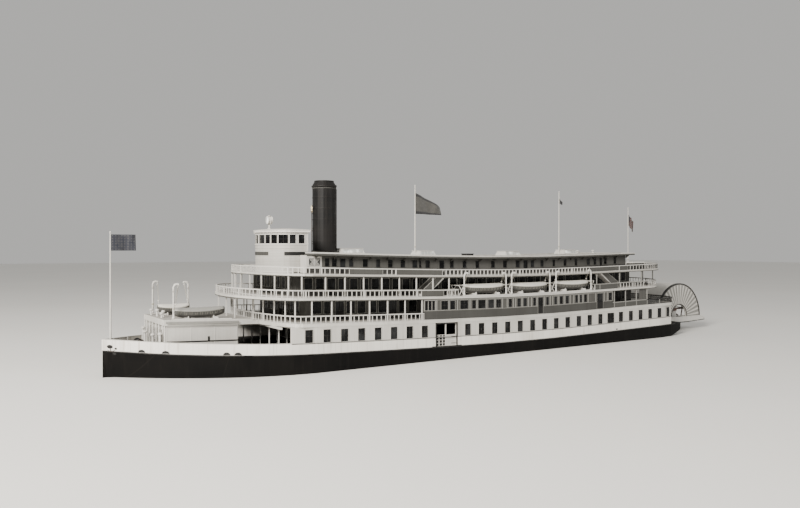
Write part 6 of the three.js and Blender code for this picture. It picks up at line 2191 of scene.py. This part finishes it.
@dataclass
class RoofGear:
    """Edges, brackets, skylights, ventilators and walkways of the texas roof, and the lockers beside it."""

    kit: Kit
    half: float = 19.0
    fore: float = 63.6
    aft: float = 226.0
    skylights: tuple[tuple[float, float, float, float], ...] = (
        (87.2, 8.5, 3.0, 2.0), (121.3, 6.4, 2.6, 1.9), (166.2, 7.3, 2.6, 1.9), (201.2, 6.6, 2.6, 1.9),
    )
    ventilators: tuple[float, ...] = (209.0, 219.4)

    def build(self) -> None:
        """Build all of it."""
        self._edges()
        self._skylights()
        self._fittings()
        self._walkways()
        self._lockers()

    def _edges(self) -> None:
        """Gutter and bead round the roof, and the brackets under its eaves."""
        around = Edge([(self.fore, self.half), (self.aft, self.half)]).loop(ROOF_TOP)
        path = [spot(self.fore, 12.3, ROOF_TOP), *around, spot(self.fore, -12.3, ROOF_TOP)]
        trim = self.kit.shape(WHITE_TRIM).sweep(path, rectangle(-0.12, 0.12, -0.3, 0.07))
        trim.use(GREY_RAILING_IN_SHADE).sweep(path, rectangle(-0.1, 0.07, -0.94, -0.32))
        bracket = ((17.0, 34.9), (17.35, 34.9), (18.75, 35.95), (18.75, 36.17), (17.0, 36.17))
        for step in range(23):
            for side in BOTH:
                outline = [spot(65.0 + 7.15 * step, side * y, h) for y, h in bracket]
                trim.plate(outline, move(x=-0.22))
        trim.piece("texas_roof_edge", "house_white")

    def _skylights(self) -> None:
        """Sloping sides of the skylights with their panes."""
        frames, panes = self.kit.shape(WHITE_TRIM), self.kit.shape(ROOF_GLASS)
        for middle, length, half, height in self.skylights:
            foot = ROOF_TOP + 0.02 + sheer_at(middle)
            top = ROOF_TOP + height + 0.06 + sheer_at(middle)
            rings = []
            hood = ((0.08, top - 0.12), (0.3, top - 0.1), (0.3, top + 0.06))
            for grow, at in ((0.75, foot), (0.7, foot + 0.25), *hood):
                run, wide = length / 2 + grow, half + grow
                corners = ((-run, -wide), (run, -wide), (run, wide), (-run, wide))
                rings.append([plumb(middle + x, y, at) for x, y in corners])
            frames.loft(rings)
            count = max(3, round(length / 1.5))
            for k in range(count):
                start, end = (middle - length / 2 + length * (k + part) / count for part in (0.12, 0.88))
                low, high = (half + 0.62, foot + 0.42), (half + 0.22, top - 0.35)
                for side in BOTH:
                    pane = ((start, low), (end, low), (end, high), (start, high))
                    outline = [plumb(feet, side * y, h) for feet, (y, h) in pane]
                    panes.plate(outline, move(y=side * 0.1, z=0.05))
        frames.piece("skylight_frames", "house_white")
        panes.piece("skylight_panes", "house_white")

    def _fittings(self) -> None:
        """Two ventilators and a dark box."""
        metal, high = self.kit.shape(WHITE_TRIM, smooth=True), 1.5
        for feet in self.ventilators:
            metal.turned(spot(feet, 0.0, ROOF_TOP), [
                (0.75, 0.0), (0.7, 0.25), (0.42, 0.35), (0.42, high - 0.6), (0.85, high - 0.55),
                (0.85, high - 0.35), (0.4, high - 0.05), (0.05, high),
            ], sides=14)
        metal.piece("roof_ventilators", "house_white")
        dark = self.kit.shape(BLACK_TRIM)
        dark.block(142.0, 145.8, -1.6, 1.6, ROOF_TOP + 0.02, ROOF_TOP + 0.8)
        dark.block(141.8, 146.0, -1.8, 1.8, ROOF_TOP + 0.8, ROOF_TOP + 0.96)
        dark.piece("roof_box", "iron_dark")

    def _walkways(self) -> None:
        """Boarded walkways on their bearers, one on either side."""
        walk = self.kit.shape(DECK).strakes([(66.5, 224.0, 11.6, 13.4, ROOF_TOP + 0.1, ROOF_TOP + 0.24)])
        bearers = [67.5 + 4 * step for step in range(40)]
        walk.blocks([(feet, feet + 0.3, 11.7, 13.3, ROOF_TOP + 0.01, ROOF_TOP + 0.12) for feet in bearers])
        walk.piece("roof_walkways", "deck_grey")

    def _lockers(self) -> None:
        """Lockers on the after end of the texas deck."""
        lid = TEXAS_FLOOR + 2.8
        locker = self.kit.shape(GREY_PANEL_IN_SHADE).blocks([(214.7, 222.3, 24.0, 27.2, TEXAS_FLOOR + 0.05, lid)])
        locker.use(WHITE_TRIM).blocks([(214.5, 222.5, 23.8, 27.4, lid, lid + 0.5)])
        locker.piece("texas_deck_lockers", "house_white")


@dataclass
class FunnelFittings:
    """Bands, rivets, pipes, ladder and whistle of the funnel."""

    kit: Kit
    at: float = 77.0
    radius: float = 4.3
    laps: tuple[float, ...] = (42.6, 46.6, 50.6, 54.6, 58.6)
    pale_band: float = 62.1
    cap_rims: tuple[tuple[float, float, float, float], ...] = ((64.72, 3.2, 3.62, 0.3), (62.85, 4.5, 4.68, 0.25))
    rivets: int = 40
    pipe_top: float = 63.2
    whistle_foot: float = 53.4
    ladder: tuple[float, float] = (2.5, 3.6)

    def build(self) -> None:
        """Build all of it."""
        self.roof = ROOF_TOP + sheer_at(self.at)
        self._collars()
        self._pipes()
        self._whistle()

    def _ring(self, shape: Shape, height: float, inner: float, outer: float, tall: float) -> None:
        """Band round the funnel, with a hole so that it closes on the drum."""
        section = [(inner, 0), (outer, 0), (outer, tall), (inner, tall)]
        shape.hoop(plumb(self.at, 0.0, height), Z_AXIS, section, spokes(X_AXIS, Y_AXIS, 32))

    def _collars(self) -> None:
        """Pale band under the cap, dark lap bands with their rivets down the drum, and the cap's rims."""
        pale, dark = self.kit.shape(GREY_RAILING_IN_SHADE), self.kit.shape(FUNNEL_BLACK)
        self._ring(pale, self.pale_band, self.radius - 0.04, self.radius + 0.09, 0.24)
        pale.piece("funnel_pale_bands", "shade_grey")
        for height in self.laps:
            self._ring(dark, height, self.radius - 0.05, self.radius + 0.06, 0.3)
        for row in self.cap_rims:
            self._ring(dark, *row)
        dark.piece("funnel_lap_bands", "funnel_black")
        marks = []
        for height in self.laps:
            for step, out in enumerate(spokes(X_AXIS, Y_AXIS, self.rivets)):
                at = plumb(self.at, 0, height + 0.15) + out * (self.radius + 0.07) * FT
                marks.append(Mark(at, 2 * math.pi * step / self.rivets - math.pi / 2))
        self.kit.bolts("funnel_rivets", marks, "funnel_black", finish=FUNNEL_BLACK, radius=0.07)

    def _pipes(self) -> None:
        """Escape pipe on the after edge with its brackets, and a ladder."""
        aft = self.at + self.radius + 0.42
        pipe = self.kit.shape(FUNNEL_BLACK, smooth=True)
        pipe.tube([plumb(aft, 0, h) for h in (self.roof + 0.05, 50, self.pipe_top)], 0.34, 12)
        lip = [(0.34, 0.0), (0.46, 0.1), (0.46, 0.5), (0.3, 0.55)]
        pipe.turned(plumb(aft, 0, self.pipe_top), lip, sides=12)
        for height in (44, 50, 56, 61):
            pipe.rod(plumb(self.at + self.radius - 0.1, 0, height), plumb(aft, 0, height), 0.12)
        stiles = [(self.at + math.sqrt((self.radius + 0.3) ** 2 - y ** 2), y) for y in self.ladder]
        for stile in stiles:
            pipe.rod(plumb(*stile, self.roof + 0.1), plumb(*stile, 62.0), 0.07)
        for step in range(22):
            pipe.rod(*(plumb(*stile, self.roof + 1.0 + step) for stile in stiles), 0.05, sides=6)
        pipe.piece("funnel_pipes", "funnel_black")

    def _whistle(self) -> None:
        """Whistle of three bells and its steam pipe on the forward edge."""
        fore = self.at - self.radius - 0.75
        whistle = self.kit.shape(BRASS, smooth=True)
        foot = plumb(fore, 0, self.whistle_foot)
        for shift in (-0.42, 0.0, 0.42):
            high = 2.5 - abs(shift) * 1.2
            whistle.turned(foot + move(y=shift), [
                (0.08, 0), (0.1, 0.3), (0.2, 0.4), (0.2, 0.7), (0.17, 0.75), (0.19, 0.95), (0.19, high),
                (0.05, high + 0.12),
            ], sides=12)
        whistle.rod(foot - move(y=0.55), foot + move(y=0.55), 0.12)
        whistle.piece("whistle", "iron_dark")
        steam = self.kit.shape(IRON, smooth=True)
        steam.tube([plumb(fore, 0, h) for h in (self.roof + 0.05, 45, self.whistle_foot)], 0.14)
        for height in (42, 47.5, 53.0):
            steam.rod(plumb(fore, 0, height), plumb(self.at - self.radius + 0.1, 0, height), 0.08)
        steam.piece("whistle_pipe", "iron_dark")


@dataclass
class StairFittings:
    """Side boards and handrails of the stairs."""

    kit: Kit
    runs: tuple[tuple[float, float], ...] = ((103.3, 112.3), (205.6, 194.6))
    faces: tuple[float, ...] = (23.26, 26.63)
    thick: float = 0.11

    def build(self) -> None:
        """Build them on both sides."""
        # Side boards and handrails in grey and trim darkened as painted shade.
        boards, trim = self.kit.shape(GREY_WALL_IN_SHADE), self.kit.shape(SHADED_TRIM)
        low, high = OBSERVATION_FLOOR, TEXAS_FLOOR
        for foot, head in self.runs:
            run = head - foot
            rows = ((foot, low + 0.06), (foot + run * 0.12, low + 0.06), (head, high - 0.1), (head, high + 1.9),
                    (foot + run * 0.02, low + 2.7))
            for y in (side * face for side in BOTH for face in self.faces):
                thick = move(y=math.copysign(self.thick, y))
                boards.plate([spot(feet, y, height) for feet, height in rows], thick)
                start, end = (spot(foot, y, low + 2.72) + thick / 2, spot(head, y, high + 2.0) + thick / 2)
                trim.rod(start, end, 0.13)
                trim.rod(spot(foot, y, low + 0.03) + thick / 2, start, 0.14)
                trim.rod(spot(head, y, high - 0.1) + thick / 2, end, 0.12)
        boards.piece("stair_side_boards", "shade_grey")
        trim.piece("stair_handrails", "house_white")


# Boats


@dataclass(frozen=True)
class BoatForm:
    """Sizes of one boat in feet, where it hangs and where its davits stand."""

    node: str
    at: float
    offset: float
    length: float
    half: float
    depth: float
    crown: float
    keel: float
    davits: tuple[float, ...]
    canvas: Paint = CANVAS

    @property
    def skiff(self) -> bool:
        """Whether it is one of the skiffs on the fore platform."""
        return self.node.startswith("skiff")

    def place(self, share: float, across: float, height: float) -> Vector:
        """Point at a share of the length abaft the middle, feet off the boat's centreline and over its keel."""
        feet = self.at + share * self.length
        return plumb(feet, self.offset + across, self.keel + height + sheer_at(self.at))

    def lines(self, share: float) -> tuple[float, float, float]:
        """Half breadth, rise of the keel and height of the gunwale at a share of the length."""
        end = min(1.0, abs(2 * share))
        breadth = self.half * max(0.03, (1 - end ** 2.3)) ** 0.55
        return breadth, self.depth * 0.5 * end ** 4, self.depth * (1 + 0.25 * end ** 2)


@dataclass
class Boats:
    """Covered boats on their chocks, with falls from the davits and braced stands between them."""

    kit: Kit
    lifeboats_at: tuple[float, ...] = (129.9, 152.9, 176.5)
    lifeboat_shift: float = 0.9
    davit_reach: float = 10.1
    stands_at: tuple[float, ...] = (118.9, 141.4, 164.7, 187.6)
    bend: float = 1.3
    sections: int = 21

    def build(self) -> None:
        """Build every boat and its gear."""
        forms = [
            BoatForm("skiff_port", 27.9, 8.4, 17.0, 2.6, 2.2, 0.9, 15.3, (18.8,), GREY_CANVAS),
            BoatForm("skiff_starboard", 24.4, -8.4, 10.8, 2.6, 2.2, 0.9, 15.3, (18.4, 30.4)),
        ]
        for side, label in SIDES:
            for number, at in enumerate(self.lifeboats_at, 1):
                davits = (at - self.davit_reach, at + self.davit_reach)
                sizes = (at + self.lifeboat_shift, side * 26.0, 20.0, 2.9, 2.3, 1.1, 23.3)
                forms.append(BoatForm(f"lifeboat_{label}_{number}", *sizes, davits))
        for form in forms:
            self._hull(form)
            self._cover(form)
            self._lacing(form)
        self._chocks(forms)
        self._falls(forms)
        self._stands()

    def _shares(self, reach: float) -> list[float]:
        """Shares of a boat's length at which its sections stand, out to a reach from the middle."""
        return [-reach + 2 * reach * step / (self.sections - 1) for step in range(self.sections)]

    def _hull(self, form: BoatForm) -> None:
        """Round-bilged hull with its gunwale, keel and stems."""
        shape = self.kit.shape(BOAT_PAINT, smooth=True)
        rings, spine = [], []
        for share in self._shares(0.495):
            half, keel, gunwale = form.lines(share)
            spine.append(form.place(share, 0.0, keel - 0.04))
            ring = []
            for k in range(-8, 9):
                angle = math.pi / 2 * k / 8
                across = half * math.copysign(abs(math.sin(angle)) ** 0.75, angle)
                ring.append(form.place(share, across, keel + (gunwale - keel) * (1 - math.cos(angle)) ** 1.1))
            rings.append(ring)
        shape.loft(rings)
        shape.use(WHITE_TRIM, smooth=True).tube(spine, 0.12, 6)
        for side in BOTH:
            rail = []
            for share in self._shares(0.49):
                half, _, gunwale = form.lines(share)
                rail.append(form.place(share, side * (half + 0.02), gunwale - 0.1))
            shape.tube(rail, 0.11, 6)
        name = f"{form.node}_hull"
        launch(name, shape.mesh(name), stands_for=(form.node,))

    def _cover(self, form: BoatForm) -> None:
        """Canvas cover stretched over a ridge pole and lapped down over the gunwale."""
        shape = self.kit.shape(form.canvas, smooth=True)
        rings = []
        for step, share in enumerate(self._shares(0.488)):
            half, _, gunwale = form.lines(share)
            crown = form.crown * (0.3 + 0.7 * half / form.half)
            sag = 0.05 * math.sin(step * math.pi / 2) ** 2
            outer, inner = [], []
            for k in range(-7, 8):
                lap = abs(k) == 7
                part = math.copysign(min(abs(k), 6) / 6, k)
                reach = half + (0.16 if lap else 0.1)
                height = gunwale + (crown - sag) * (1 - abs(part) ** 1.5) + 0.06 - (0.42 if lap else 0.0)
                outer.append((part * reach, height))
                inner.append((part * (reach - 0.05), height - (0.0 if lap else 0.05)))
            rings.append([form.place(share, y, h) for y, h in outer + inner[::-1]])
        shape.loft(rings)
        name = f"{form.node}_cover"
        made = shape.mesh(name)
        cover = launch(name, made)

    def _lacing(self, form: BoatForm) -> None:
        """Zigzag of line that ties the cover down to the hull."""
        lacing = self.kit.shape(ROPE)
        count = round(form.length * 1.1)
        for step in range(1, count):
            share = -0.46 + 0.92 * step / count
            half, keel, gunwale = form.lines(share)
            low = keel + (gunwale - keel) * 0.42
            swing = 0.012 if step % 2 else -0.012
            for side in BOTH:
                start = form.place(share, side * (half + 0.17), gunwale - 0.36)
                lacing.rod(start, form.place(share + swing, side * half * 0.93, low), 0.03, sides=4)
        lacing.piece(f"{form.node}_lacing", "boat_grey")

    def _chocks(self, forms: Sequence[BoatForm]) -> None:
        """Shaped chocks that carry each boat on its deck."""
        shape = self.kit.shape(WHITE_TRIM)
        for form in forms:
            floor = PLATFORM_TOP if form.skiff else OBSERVATION_FLOOR
            half = form.half * 0.62
            for share in (-0.24, 0.24):
                base = floor + sheer_at(form.at + share * form.length) - form.keel - sheer_at(form.at) + 0.02
                outline = [(-half - 0.3, base), (half + 0.3, base), (half, 0.62), (half * 0.6, 0.14), (0, 0.0),
                           (-half * 0.6, 0.14), (-half, 0.62)]
                shape.plate([form.place(share, y, h) for y, h in outline], move(x=-0.35))
        shape.piece("boat_chocks", "house_white")

    def _falls(self, forms: Sequence[BoatForm]) -> None:
        """Hooked davit heads, collars, blocks and falls down to the boats' ends."""
        rope = self.kit.shape(ROPE)
        gear, blocks = self.kit.shape(WHITE_TRIM, smooth=True), self.kit.shape(WHITE_TRIM, smooth=True)
        collars = [(0.46, 0.36), (0.46, 0.75), (0.3, 0.95), (0.29, 2.6), (0.38, 2.7), (0.38, 2.95), (0.28, 3.05)]
        for form in forms:
            floor, high, across = (PLATFORM_TOP, 11.2, 11.9) if form.skiff else (OBSERVATION_FLOOR, 8.6, 28.75)
            side = PORT if form.offset > 0 else STARBOARD
            for post in form.davits:
                towards = 1 if post > form.at else -1
                foot = spot(post, side * across, floor)
                gear.turned(foot, collars, sides=10)
                shoulder = foot + move(z=high - self.bend)
                reach = self.bend * 0.85
                curve = [foot + move(z=high - 2.6)]
                for angle in (math.pi * 0.62 * k / 6 for k in range(7)):
                    ahead = towards * (1 - math.cos(angle)) * reach
                    curve.append(shoulder + move(x=ahead, z=math.sin(angle) * reach))
                gear.tube(curve, 0.31)
                head = curve[-1]
                gear.ball(head, 0.4)
                low = form.place(towards * 0.455, 0.0, form.lines(0.455)[2] + form.crown * 0.55)
                lower, upper = low + (head - low) * 0.16, low + (head - low) * 0.9
                for block, wide, tall in ((lower, 0.28, 0.32), (upper, 0.26, 0.3)):
                    cheeks = [(0.05, -tall), (wide - 0.04, 0.1 - tall), (wide, 0.0), (wide - 0.04, tall - 0.1),
                              (0.05, tall)]
                    blocks.turned(block, cheeks, sides=8)
                blocks.rod(low, lower, 0.06, sides=6)
                for shift in (-0.1, 0.0, 0.1):
                    rope.rod(lower + move(x=shift), upper + move(x=shift), 0.035, sides=5)
                cleat = foot + move(z=3.4)
                rope.rod(head - move(z=0.2), cleat + move(y=-side * 0.35), 0.035, sides=5)
                rope.turned(cleat, [(0.36, -0.35), (0.42, -0.1), (0.42, 0.1), (0.36, 0.35)], sides=8)
        gear.piece("davit_heads", "house_white")
        blocks.piece("boat_blocks", "iron_dark")
        rope.piece("boat_falls", "boat_grey")

    def _stands(self) -> None:
        """Crossed white braces between the lifeboats, on the outer edge of the deck."""
        shape = self.kit.shape(WHITE_TRIM)
        run, near, far = 1.25, 23.5, 28.3
        foot, head, bar = (OBSERVATION_FLOOR + height for height in (0.05, 3.9, 3.85))
        for side in BOTH:
            for feet in self.stands_at:
                fore, aft = feet - run, feet + run
                for y in (side * far, side * near):
                    shape.rod(spot(fore, y, foot), spot(aft, y, head), 0.15)
                    shape.rod(spot(aft, y, foot), spot(fore, y, head), 0.15)
                for x in (fore, aft):
                    shape.rod(spot(x, side * near, bar), spot(x, side * far, bar), 0.13)
        shape.piece("boat_stands", "house_white")


# Poles and flags


@dataclass(frozen=True)
class Pole:
    """Place and height of one pole in feet."""

    name: str
    at: float
    deck: float
    top: float
    foot_radius: float

    def radius(self, z: float) -> float:
        """Radius in metres at a height in metres: the pole tapers to half."""
        foot, top = (level(height + sheer_at(self.at)) for height in (self.deck, self.top))
        return self.foot_radius * FT * (1 - 0.5 * min(1.0, max(0.0, (z - foot) / (top - foot))))


@dataclass(frozen=True)
class Flag:
    """Flag on a pole, with its sizes in feet and the waves of its cloth."""

    node: str
    pole: Pole
    top: float
    hoist: float
    fly: float
    share: float
    droop: float
    cloth: Cloth
    slot: str
    waves: float
    swing: float

    def place(self, u: float, v: float, face: int, thick: float) -> tuple[float, float, float]:
        """Point of the waving cloth in metres.

        Args:
            u: Share of the fly, from the hoist out.
            v: Share of the hoist, from the foot up.
            face: 1 for the port face, -1 for the other.
            thick: Half the cloth's thickness in metres.

        Returns:
            Its place in the model's frame.
        """
        at_hoist = self.top - self.hoist * (1 - v)
        at_fly = self.top - self.hoist / 2 - self.droop + self.hoist * self.share * (v - 0.5)
        z = level(at_hoist + (at_fly - at_hoist) * u ** 1.15)
        start = along(self.pole.at) - self.pole.radius(z) - 0.0009
        wave = math.sin(2 * math.pi * (self.waves * u + 0.22 * v)) * u ** 0.6
        ripple = math.sin(2 * math.pi * (3.3 * u - 0.5 * v)) * 0.18 * u
        x = start + (along(self.pole.at + self.fly) - start) * u
        return x, (wave + ripple) * self.swing * FT + face * thick, z


@dataclass
class PoleGear:
    """Flags, trucks, steps and halyards of the four poles."""

    kit: Kit
    jackstaff: Pole = Pole("jackstaff", 2.6, MAIN_DECK, 45.0, 0.34)
    burgee_mast: Pole = Pole("burgee_mast", 117.4, ROOF_TOP, 65.0, 0.34)
    pennant_mast: Pole = Pole("pennant_mast", 197.0, ROOF_TOP, 65.9, 0.34)
    stern_flagstaff: Pole = Pole("stern_flagstaff", 244.4, TEXAS_FLOOR, 60.0, 0.3)
    columns: int = 40
    rows: int = 18
    half_thick: float = 0.0007

    def build(self) -> None:
        """Build all of it."""
        flags = (
            Flag("jack_flag", self.jackstaff, 44.6, 5.1, 7.6, 1.0, 0.0, JACK_CLOTH, "flag_dark", 1.3, 0.42),
            Flag("burgee", self.burgee_mast, 62.3, 8.3, 12.6, 0.385, 2.8, BURGEE_CLOTH, "flag_pale", 1.4, 0.7),
            Flag("pennant", self.pennant_mast, 63.0, 2.2, 2.1, 0.6, 1.0, PENNANT_CLOTH, "flag_dark", 1.0, 0.2),
            Flag("ensign", self.stern_flagstaff, 57.0, 5.4, 3.7, 1.0, 3.3, ENSIGN_CLOTH, "flag_dark", 1.9, 0.5),
        )
        for flag in flags:
            self._flag(flag)
        self._fittings()

    def _cloth_mesh(self, flag: Flag) -> bpy.types.Mesh:
        """Closed sheet of two faces and a rim, with the flag's own map."""
        columns, rows = self.columns, self.rows
        grid = [(i / columns, j / rows) for i in range(columns + 1) for j in range(rows + 1)]
        points = [flag.place(u, v, face, self.half_thick) for face in (1, -1) for u, v in grid]
        per, tall = len(grid), rows + 1
        faces = []
        for corner in (i * tall + j for i in range(columns) for j in range(rows)):
            a, b, c, d = corner, corner + tall, corner + tall + 1, corner + 1
            faces += [(a, b, c, d), (per + d, per + c, per + b, per + a)]
        rim = [i * tall for i in range(columns + 1)] + [columns * tall + j for j in range(1, tall)]
        rim += [i * tall + rows for i in range(columns - 1, -1, -1)] + [*range(rows - 1, 0, -1)]
        faces += [(a, per + a, per + b, b) for a, b in zip(rim, rim[1:] + rim[:1])]
        made = bpy.data.meshes.new(f"{flag.node}_cloth")
        made.from_pydata(points, [], faces)
        form = bmesh.new()
        form.from_mesh(made)
        bmesh.ops.recalc_face_normals(form, faces=form.faces[:])
        layer = form.loops.layers.uv.new("flag")
        for face in form.faces:
            face.smooth = True
            for loop in face.loops:
                loop[layer].uv = grid[loop.vert.index % per]
        form.to_mesh(made)
        form.free()
        made.materials.append(self.kit.shop.cloth(flag.cloth))
        return made

    def _flag(self, flag: Flag) -> None:
        """Wavy sheet of cloth that hangs from its pole."""
        name = f"{flag.node}_cloth"
        made = self._cloth_mesh(flag)
        cloth = launch(name, made, stands_for=(flag.node,))

    def _fittings(self) -> None:
        """Trucks on the poles' tops, steps and bands at their feet, and halyards with their cleats."""
        truck, step = self.kit.shape(WHITE_TRIM, smooth=True), self.kit.shape(WHITE_TRIM)
        rope = self.kit.shape(ROPE)
        for pole in (self.jackstaff, self.burgee_mast, self.pennant_mast, self.stern_flagstaff):
            top = plumb(pole.at, 0.0, pole.top)
            truck.turned(top, [(0.2, -0.05), (0.34, 0.02), (0.34, 0.12), (0.16, 0.18)], sides=12)
            truck.ball(top + move(z=0.36), 0.24)
            base = spot(pole.at, 0.0, pole.deck)
            step.turned(base, [(0.7, 0.02), (0.7, 0.3), (0.5, 0.42), (0.48, 0.9), (0.36, 1.0)], sides=14)
            for low in (3.2, 12.0):
                band = [(0.38, low), (0.4, low + 0.04), (0.4, low + 0.2), (0.36, low + 0.24)]
                step.turned(base, band, sides=12)
            cleat = pole.deck + sheer_at(pole.at) + 3.4
            for side in BOTH:
                y = side * pole.foot_radius * 1.05
                end = plumb(pole.at, y * 0.62, pole.top - 0.05)
                rope.rod(plumb(pole.at, y, cleat), end, 0.032, sides=5)
            rope.turned(plumb(pole.at, 0, cleat), [(0.4, -0.2), (0.44, 0.0), (0.4, 0.2)], sides=10)
        truck.piece("pole_trucks", "house_white")
        step.piece("pole_steps", "house_white")
        rope.piece("halyards", "boat_grey")


# Stern


@dataclass
class Stern:
    """Fan boards of the wheel housing, trim of the timbers, and the frames and straps of wheel and rudders."""

    kit: Kit
    at: float = 265.5
    base: float = 6.6
    eye: float = 5.9
    rim: float = 16.3
    shaft_height: float = 10.0
    boards: int = 20
    arms: int = 12

    def build(self) -> None:
        """Build all of it."""
        self._fans()
        self._timbers()
        self._wheel()
        self._bolts()
        self._rudders()

    def _arc_band(
        self, shape: Shape, radii: tuple[float, float], faces: tuple[float, float], start: float = 0.0,
    ) -> None:
        """Curved band on both fans.

        Args:
            shape: Shape that it joins.
            radii: Its inner and outer radius.
            faces: Its inner and outer face, off the centreline.
            start: Degrees over the horizon at which it begins and ends.
        """
        (inner, outer), (near, far) = radii, faces
        corners = ((inner, near), (outer, near), (outer, far), (inner, far))
        for side in BOTH:
            rings = []
            for step in range(37):
                angle = math.radians(start + (180 - 2 * start) * step / 36)
                out = X_AXIS * math.cos(angle) + Z_AXIS * math.sin(angle)
                rings.append([plumb(self.at, side * y, self.base) + out * radius * FT for radius, y in corners])
            shape.loft(rings)

    def _fans(self) -> None:
        """Radial boards on both faces of both fans, with dark rims and a grey backing of painted shade between
        the boards.
        """
        turns = [math.pi * ((k + 0.5) / self.boards - 0.5) for k in range(self.boards)]
        marks = [Mark(plumb(self.at, side * y, self.base), turn) for side in BOTH for y in (13.87, 13.13)
                 for turn in turns]
        values = {
            "Inner": self.eye + 0.35, "Outer": self.rim - 0.75, "Thick": 0.12,
            "Spread": math.pi / self.boards * 0.4, "Board Paint": WHITE,
        }
        grown = self.kit.nursery.grow("fan_boards", mark_mesh(marks), self.kit.nursery.boards, values)
        launch("fan_boards", grown)
        rim, dim = self.kit.shape(BLACK_TRIM), self.kit.shape(SHADED_TRIM)
        for faces in ((13.8, 13.97), (13.03, 13.2)):
            self._arc_band(rim, (self.rim - 0.4, self.rim + 0.06), faces)
            self._arc_band(rim, (self.eye - 0.05, self.eye + 0.35), faces)
        self._arc_band(rim, (self.rim, self.rim + 0.16), (12.95, 14.05))
        # Grey backing between the boards: white trim darkened as painted shade.
        for faces in ((13.8, 13.83), (13.17, 13.2)):
            self._arc_band(dim, (self.eye + 0.1, self.rim - 0.5), faces, 0.2)
        rim.piece("fan_rims", "iron_dark")
        dim.piece("fan_backing_painted_shade", "shade_grey")

    def _timbers(self) -> None:
        """Dark lower edge of the stern timbers, top caps, side battens and bearing seats."""
        dark, pale = self.kit.shape(BLACK_TRIM), self.kit.shape(WHITE_TRIM)
        edge = ((250.1, 3.5), (272, 3.7), (285, 4.3), (285, 4.62), (272, 4.1), (250.1, 3.95))
        cap = ((250.1, 6.35), (281.6, 6.35), (284.9, 5.1), (285.0, 5.42), (281.8, 6.66), (250.1, 6.66))
        for side in BOTH:
            dark.plate([plumb(feet, side * 14.6, h) for feet, h in edge], move(y=side * 0.08))
            pale.plate([plumb(feet, side * 14.6, h) for feet, h in cap], move(y=side * 0.1))
        for feet in (252.0, 256.5, 261.0, 270.0, 274.5, 279.0):
            rise = sheer_at(feet)
            pale.blocks([(feet - 0.15, feet + 0.15, 14.6, 14.7, 4.0 - rise, 6.4 - rise)])
        rise = sheer_at(self.at)
        dark.blocks([(self.at - 1.5, self.at + 1.5, 13.15, 14.55, 6.62 - rise, 6.8 - rise)])
        dark.piece("stern_timber_edges", "iron_dark")
        pale.piece("stern_timber_caps", "house_white")

    def _wheel(self) -> None:
        """Middle frames, hoops and hub plates of the paddle wheel, which turn with it."""
        timber, iron = self.kit.shape(WHEEL_TIMBER), self.kit.shape(IRON)
        shaft = plumb(self.at, 0.0, self.shaft_height)
        for y in (-2.9, 2.9):
            centre = shaft + move(y=y)
            for hoop, half in ((9.3, 0.225), (6.0, 0.15)):
                section = [(hoop - half, -0.13), (hoop + half, -0.13), (hoop + half, 0.13), (hoop - half, 0.13)]
                timber.hoop(centre, Y_AXIS, section, spokes(Z_AXIS, X_AXIS, 36))
            for arm in spokes(Z_AXIS, X_AXIS, self.arms):
                timber.rod(centre + arm * 0.7 * FT, centre + arm * 11.2 * FT, 0.24, sides=4)
            iron.turned(centre, [(1.7, -0.3), (1.8, -0.2), (1.8, 0.2), (1.7, 0.3)], Y_AXIS, 20)
        for y in (-9.05, 9.05):
            iron.turned(shaft + move(y=y), [(1.75, -0.06), (1.75, 0.1), (1.2, 0.18)], Y_AXIS, 20)
        timber.piece("wheel_middle_frames", "wheel_timber", "wheel")
        iron.piece("wheel_hub_plates", "iron_dark", "wheel")

    def _bolts(self) -> None:
        """Bolt heads on the arms of the wheel's outer frames."""
        shaft = plumb(self.at, 0.0, self.shaft_height)
        marks = []
        for arm in spokes(Z_AXIS, X_AXIS, self.arms):
            for y, turn in ((-8.93, math.pi), (8.93, 0.0)):
                for radius in (3.2, 6.0, 9.6, 10.6, 11.4):
                    marks.append(Mark(shaft + move(y=y) + arm * radius * FT, turn))
        self.kit.bolts("wheel_bolts", marks, "iron_dark", "wheel", radius=0.12)

    def _rudders(self) -> None:
        """Iron straps on the rudder blades."""
        rise = sheer_at(243)
        for body, y in (("rudder_port", 13.0), ("rudder_centre", 0.0), ("rudder_starboard", -13.0)):
            shape = self.kit.shape(IRON)
            for height in (-5.9, -4.2, -2.5):
                shape.block(238.2, 247.0, y - 0.31, y + 0.31, height - rise, height + 0.3 - rise)
            shape.piece(f"{body}_straps", "iron_dark", body)


def build_steamer() -> None:
    """Build the sub-assemblies in order."""
    shop = PaintShop()
    kit = Kit(frame, shop, Nursery(shop))
    Studio().build()
    for section in (
        Paintwork, HullFittings, MainDeck, Galleries, Cabins, Pilothouse, RoofGear, FunnelFittings, StairFittings,
        Boats, PoleGear, Stern,
    ):
        section(kit).build()


def main() -> None:
    """Build the model."""
    logging.basicConfig(level=logging.INFO, format="%(message)s", stream=sys.stdout)
    build_steamer()


if __name__ == "__main__":
    main()
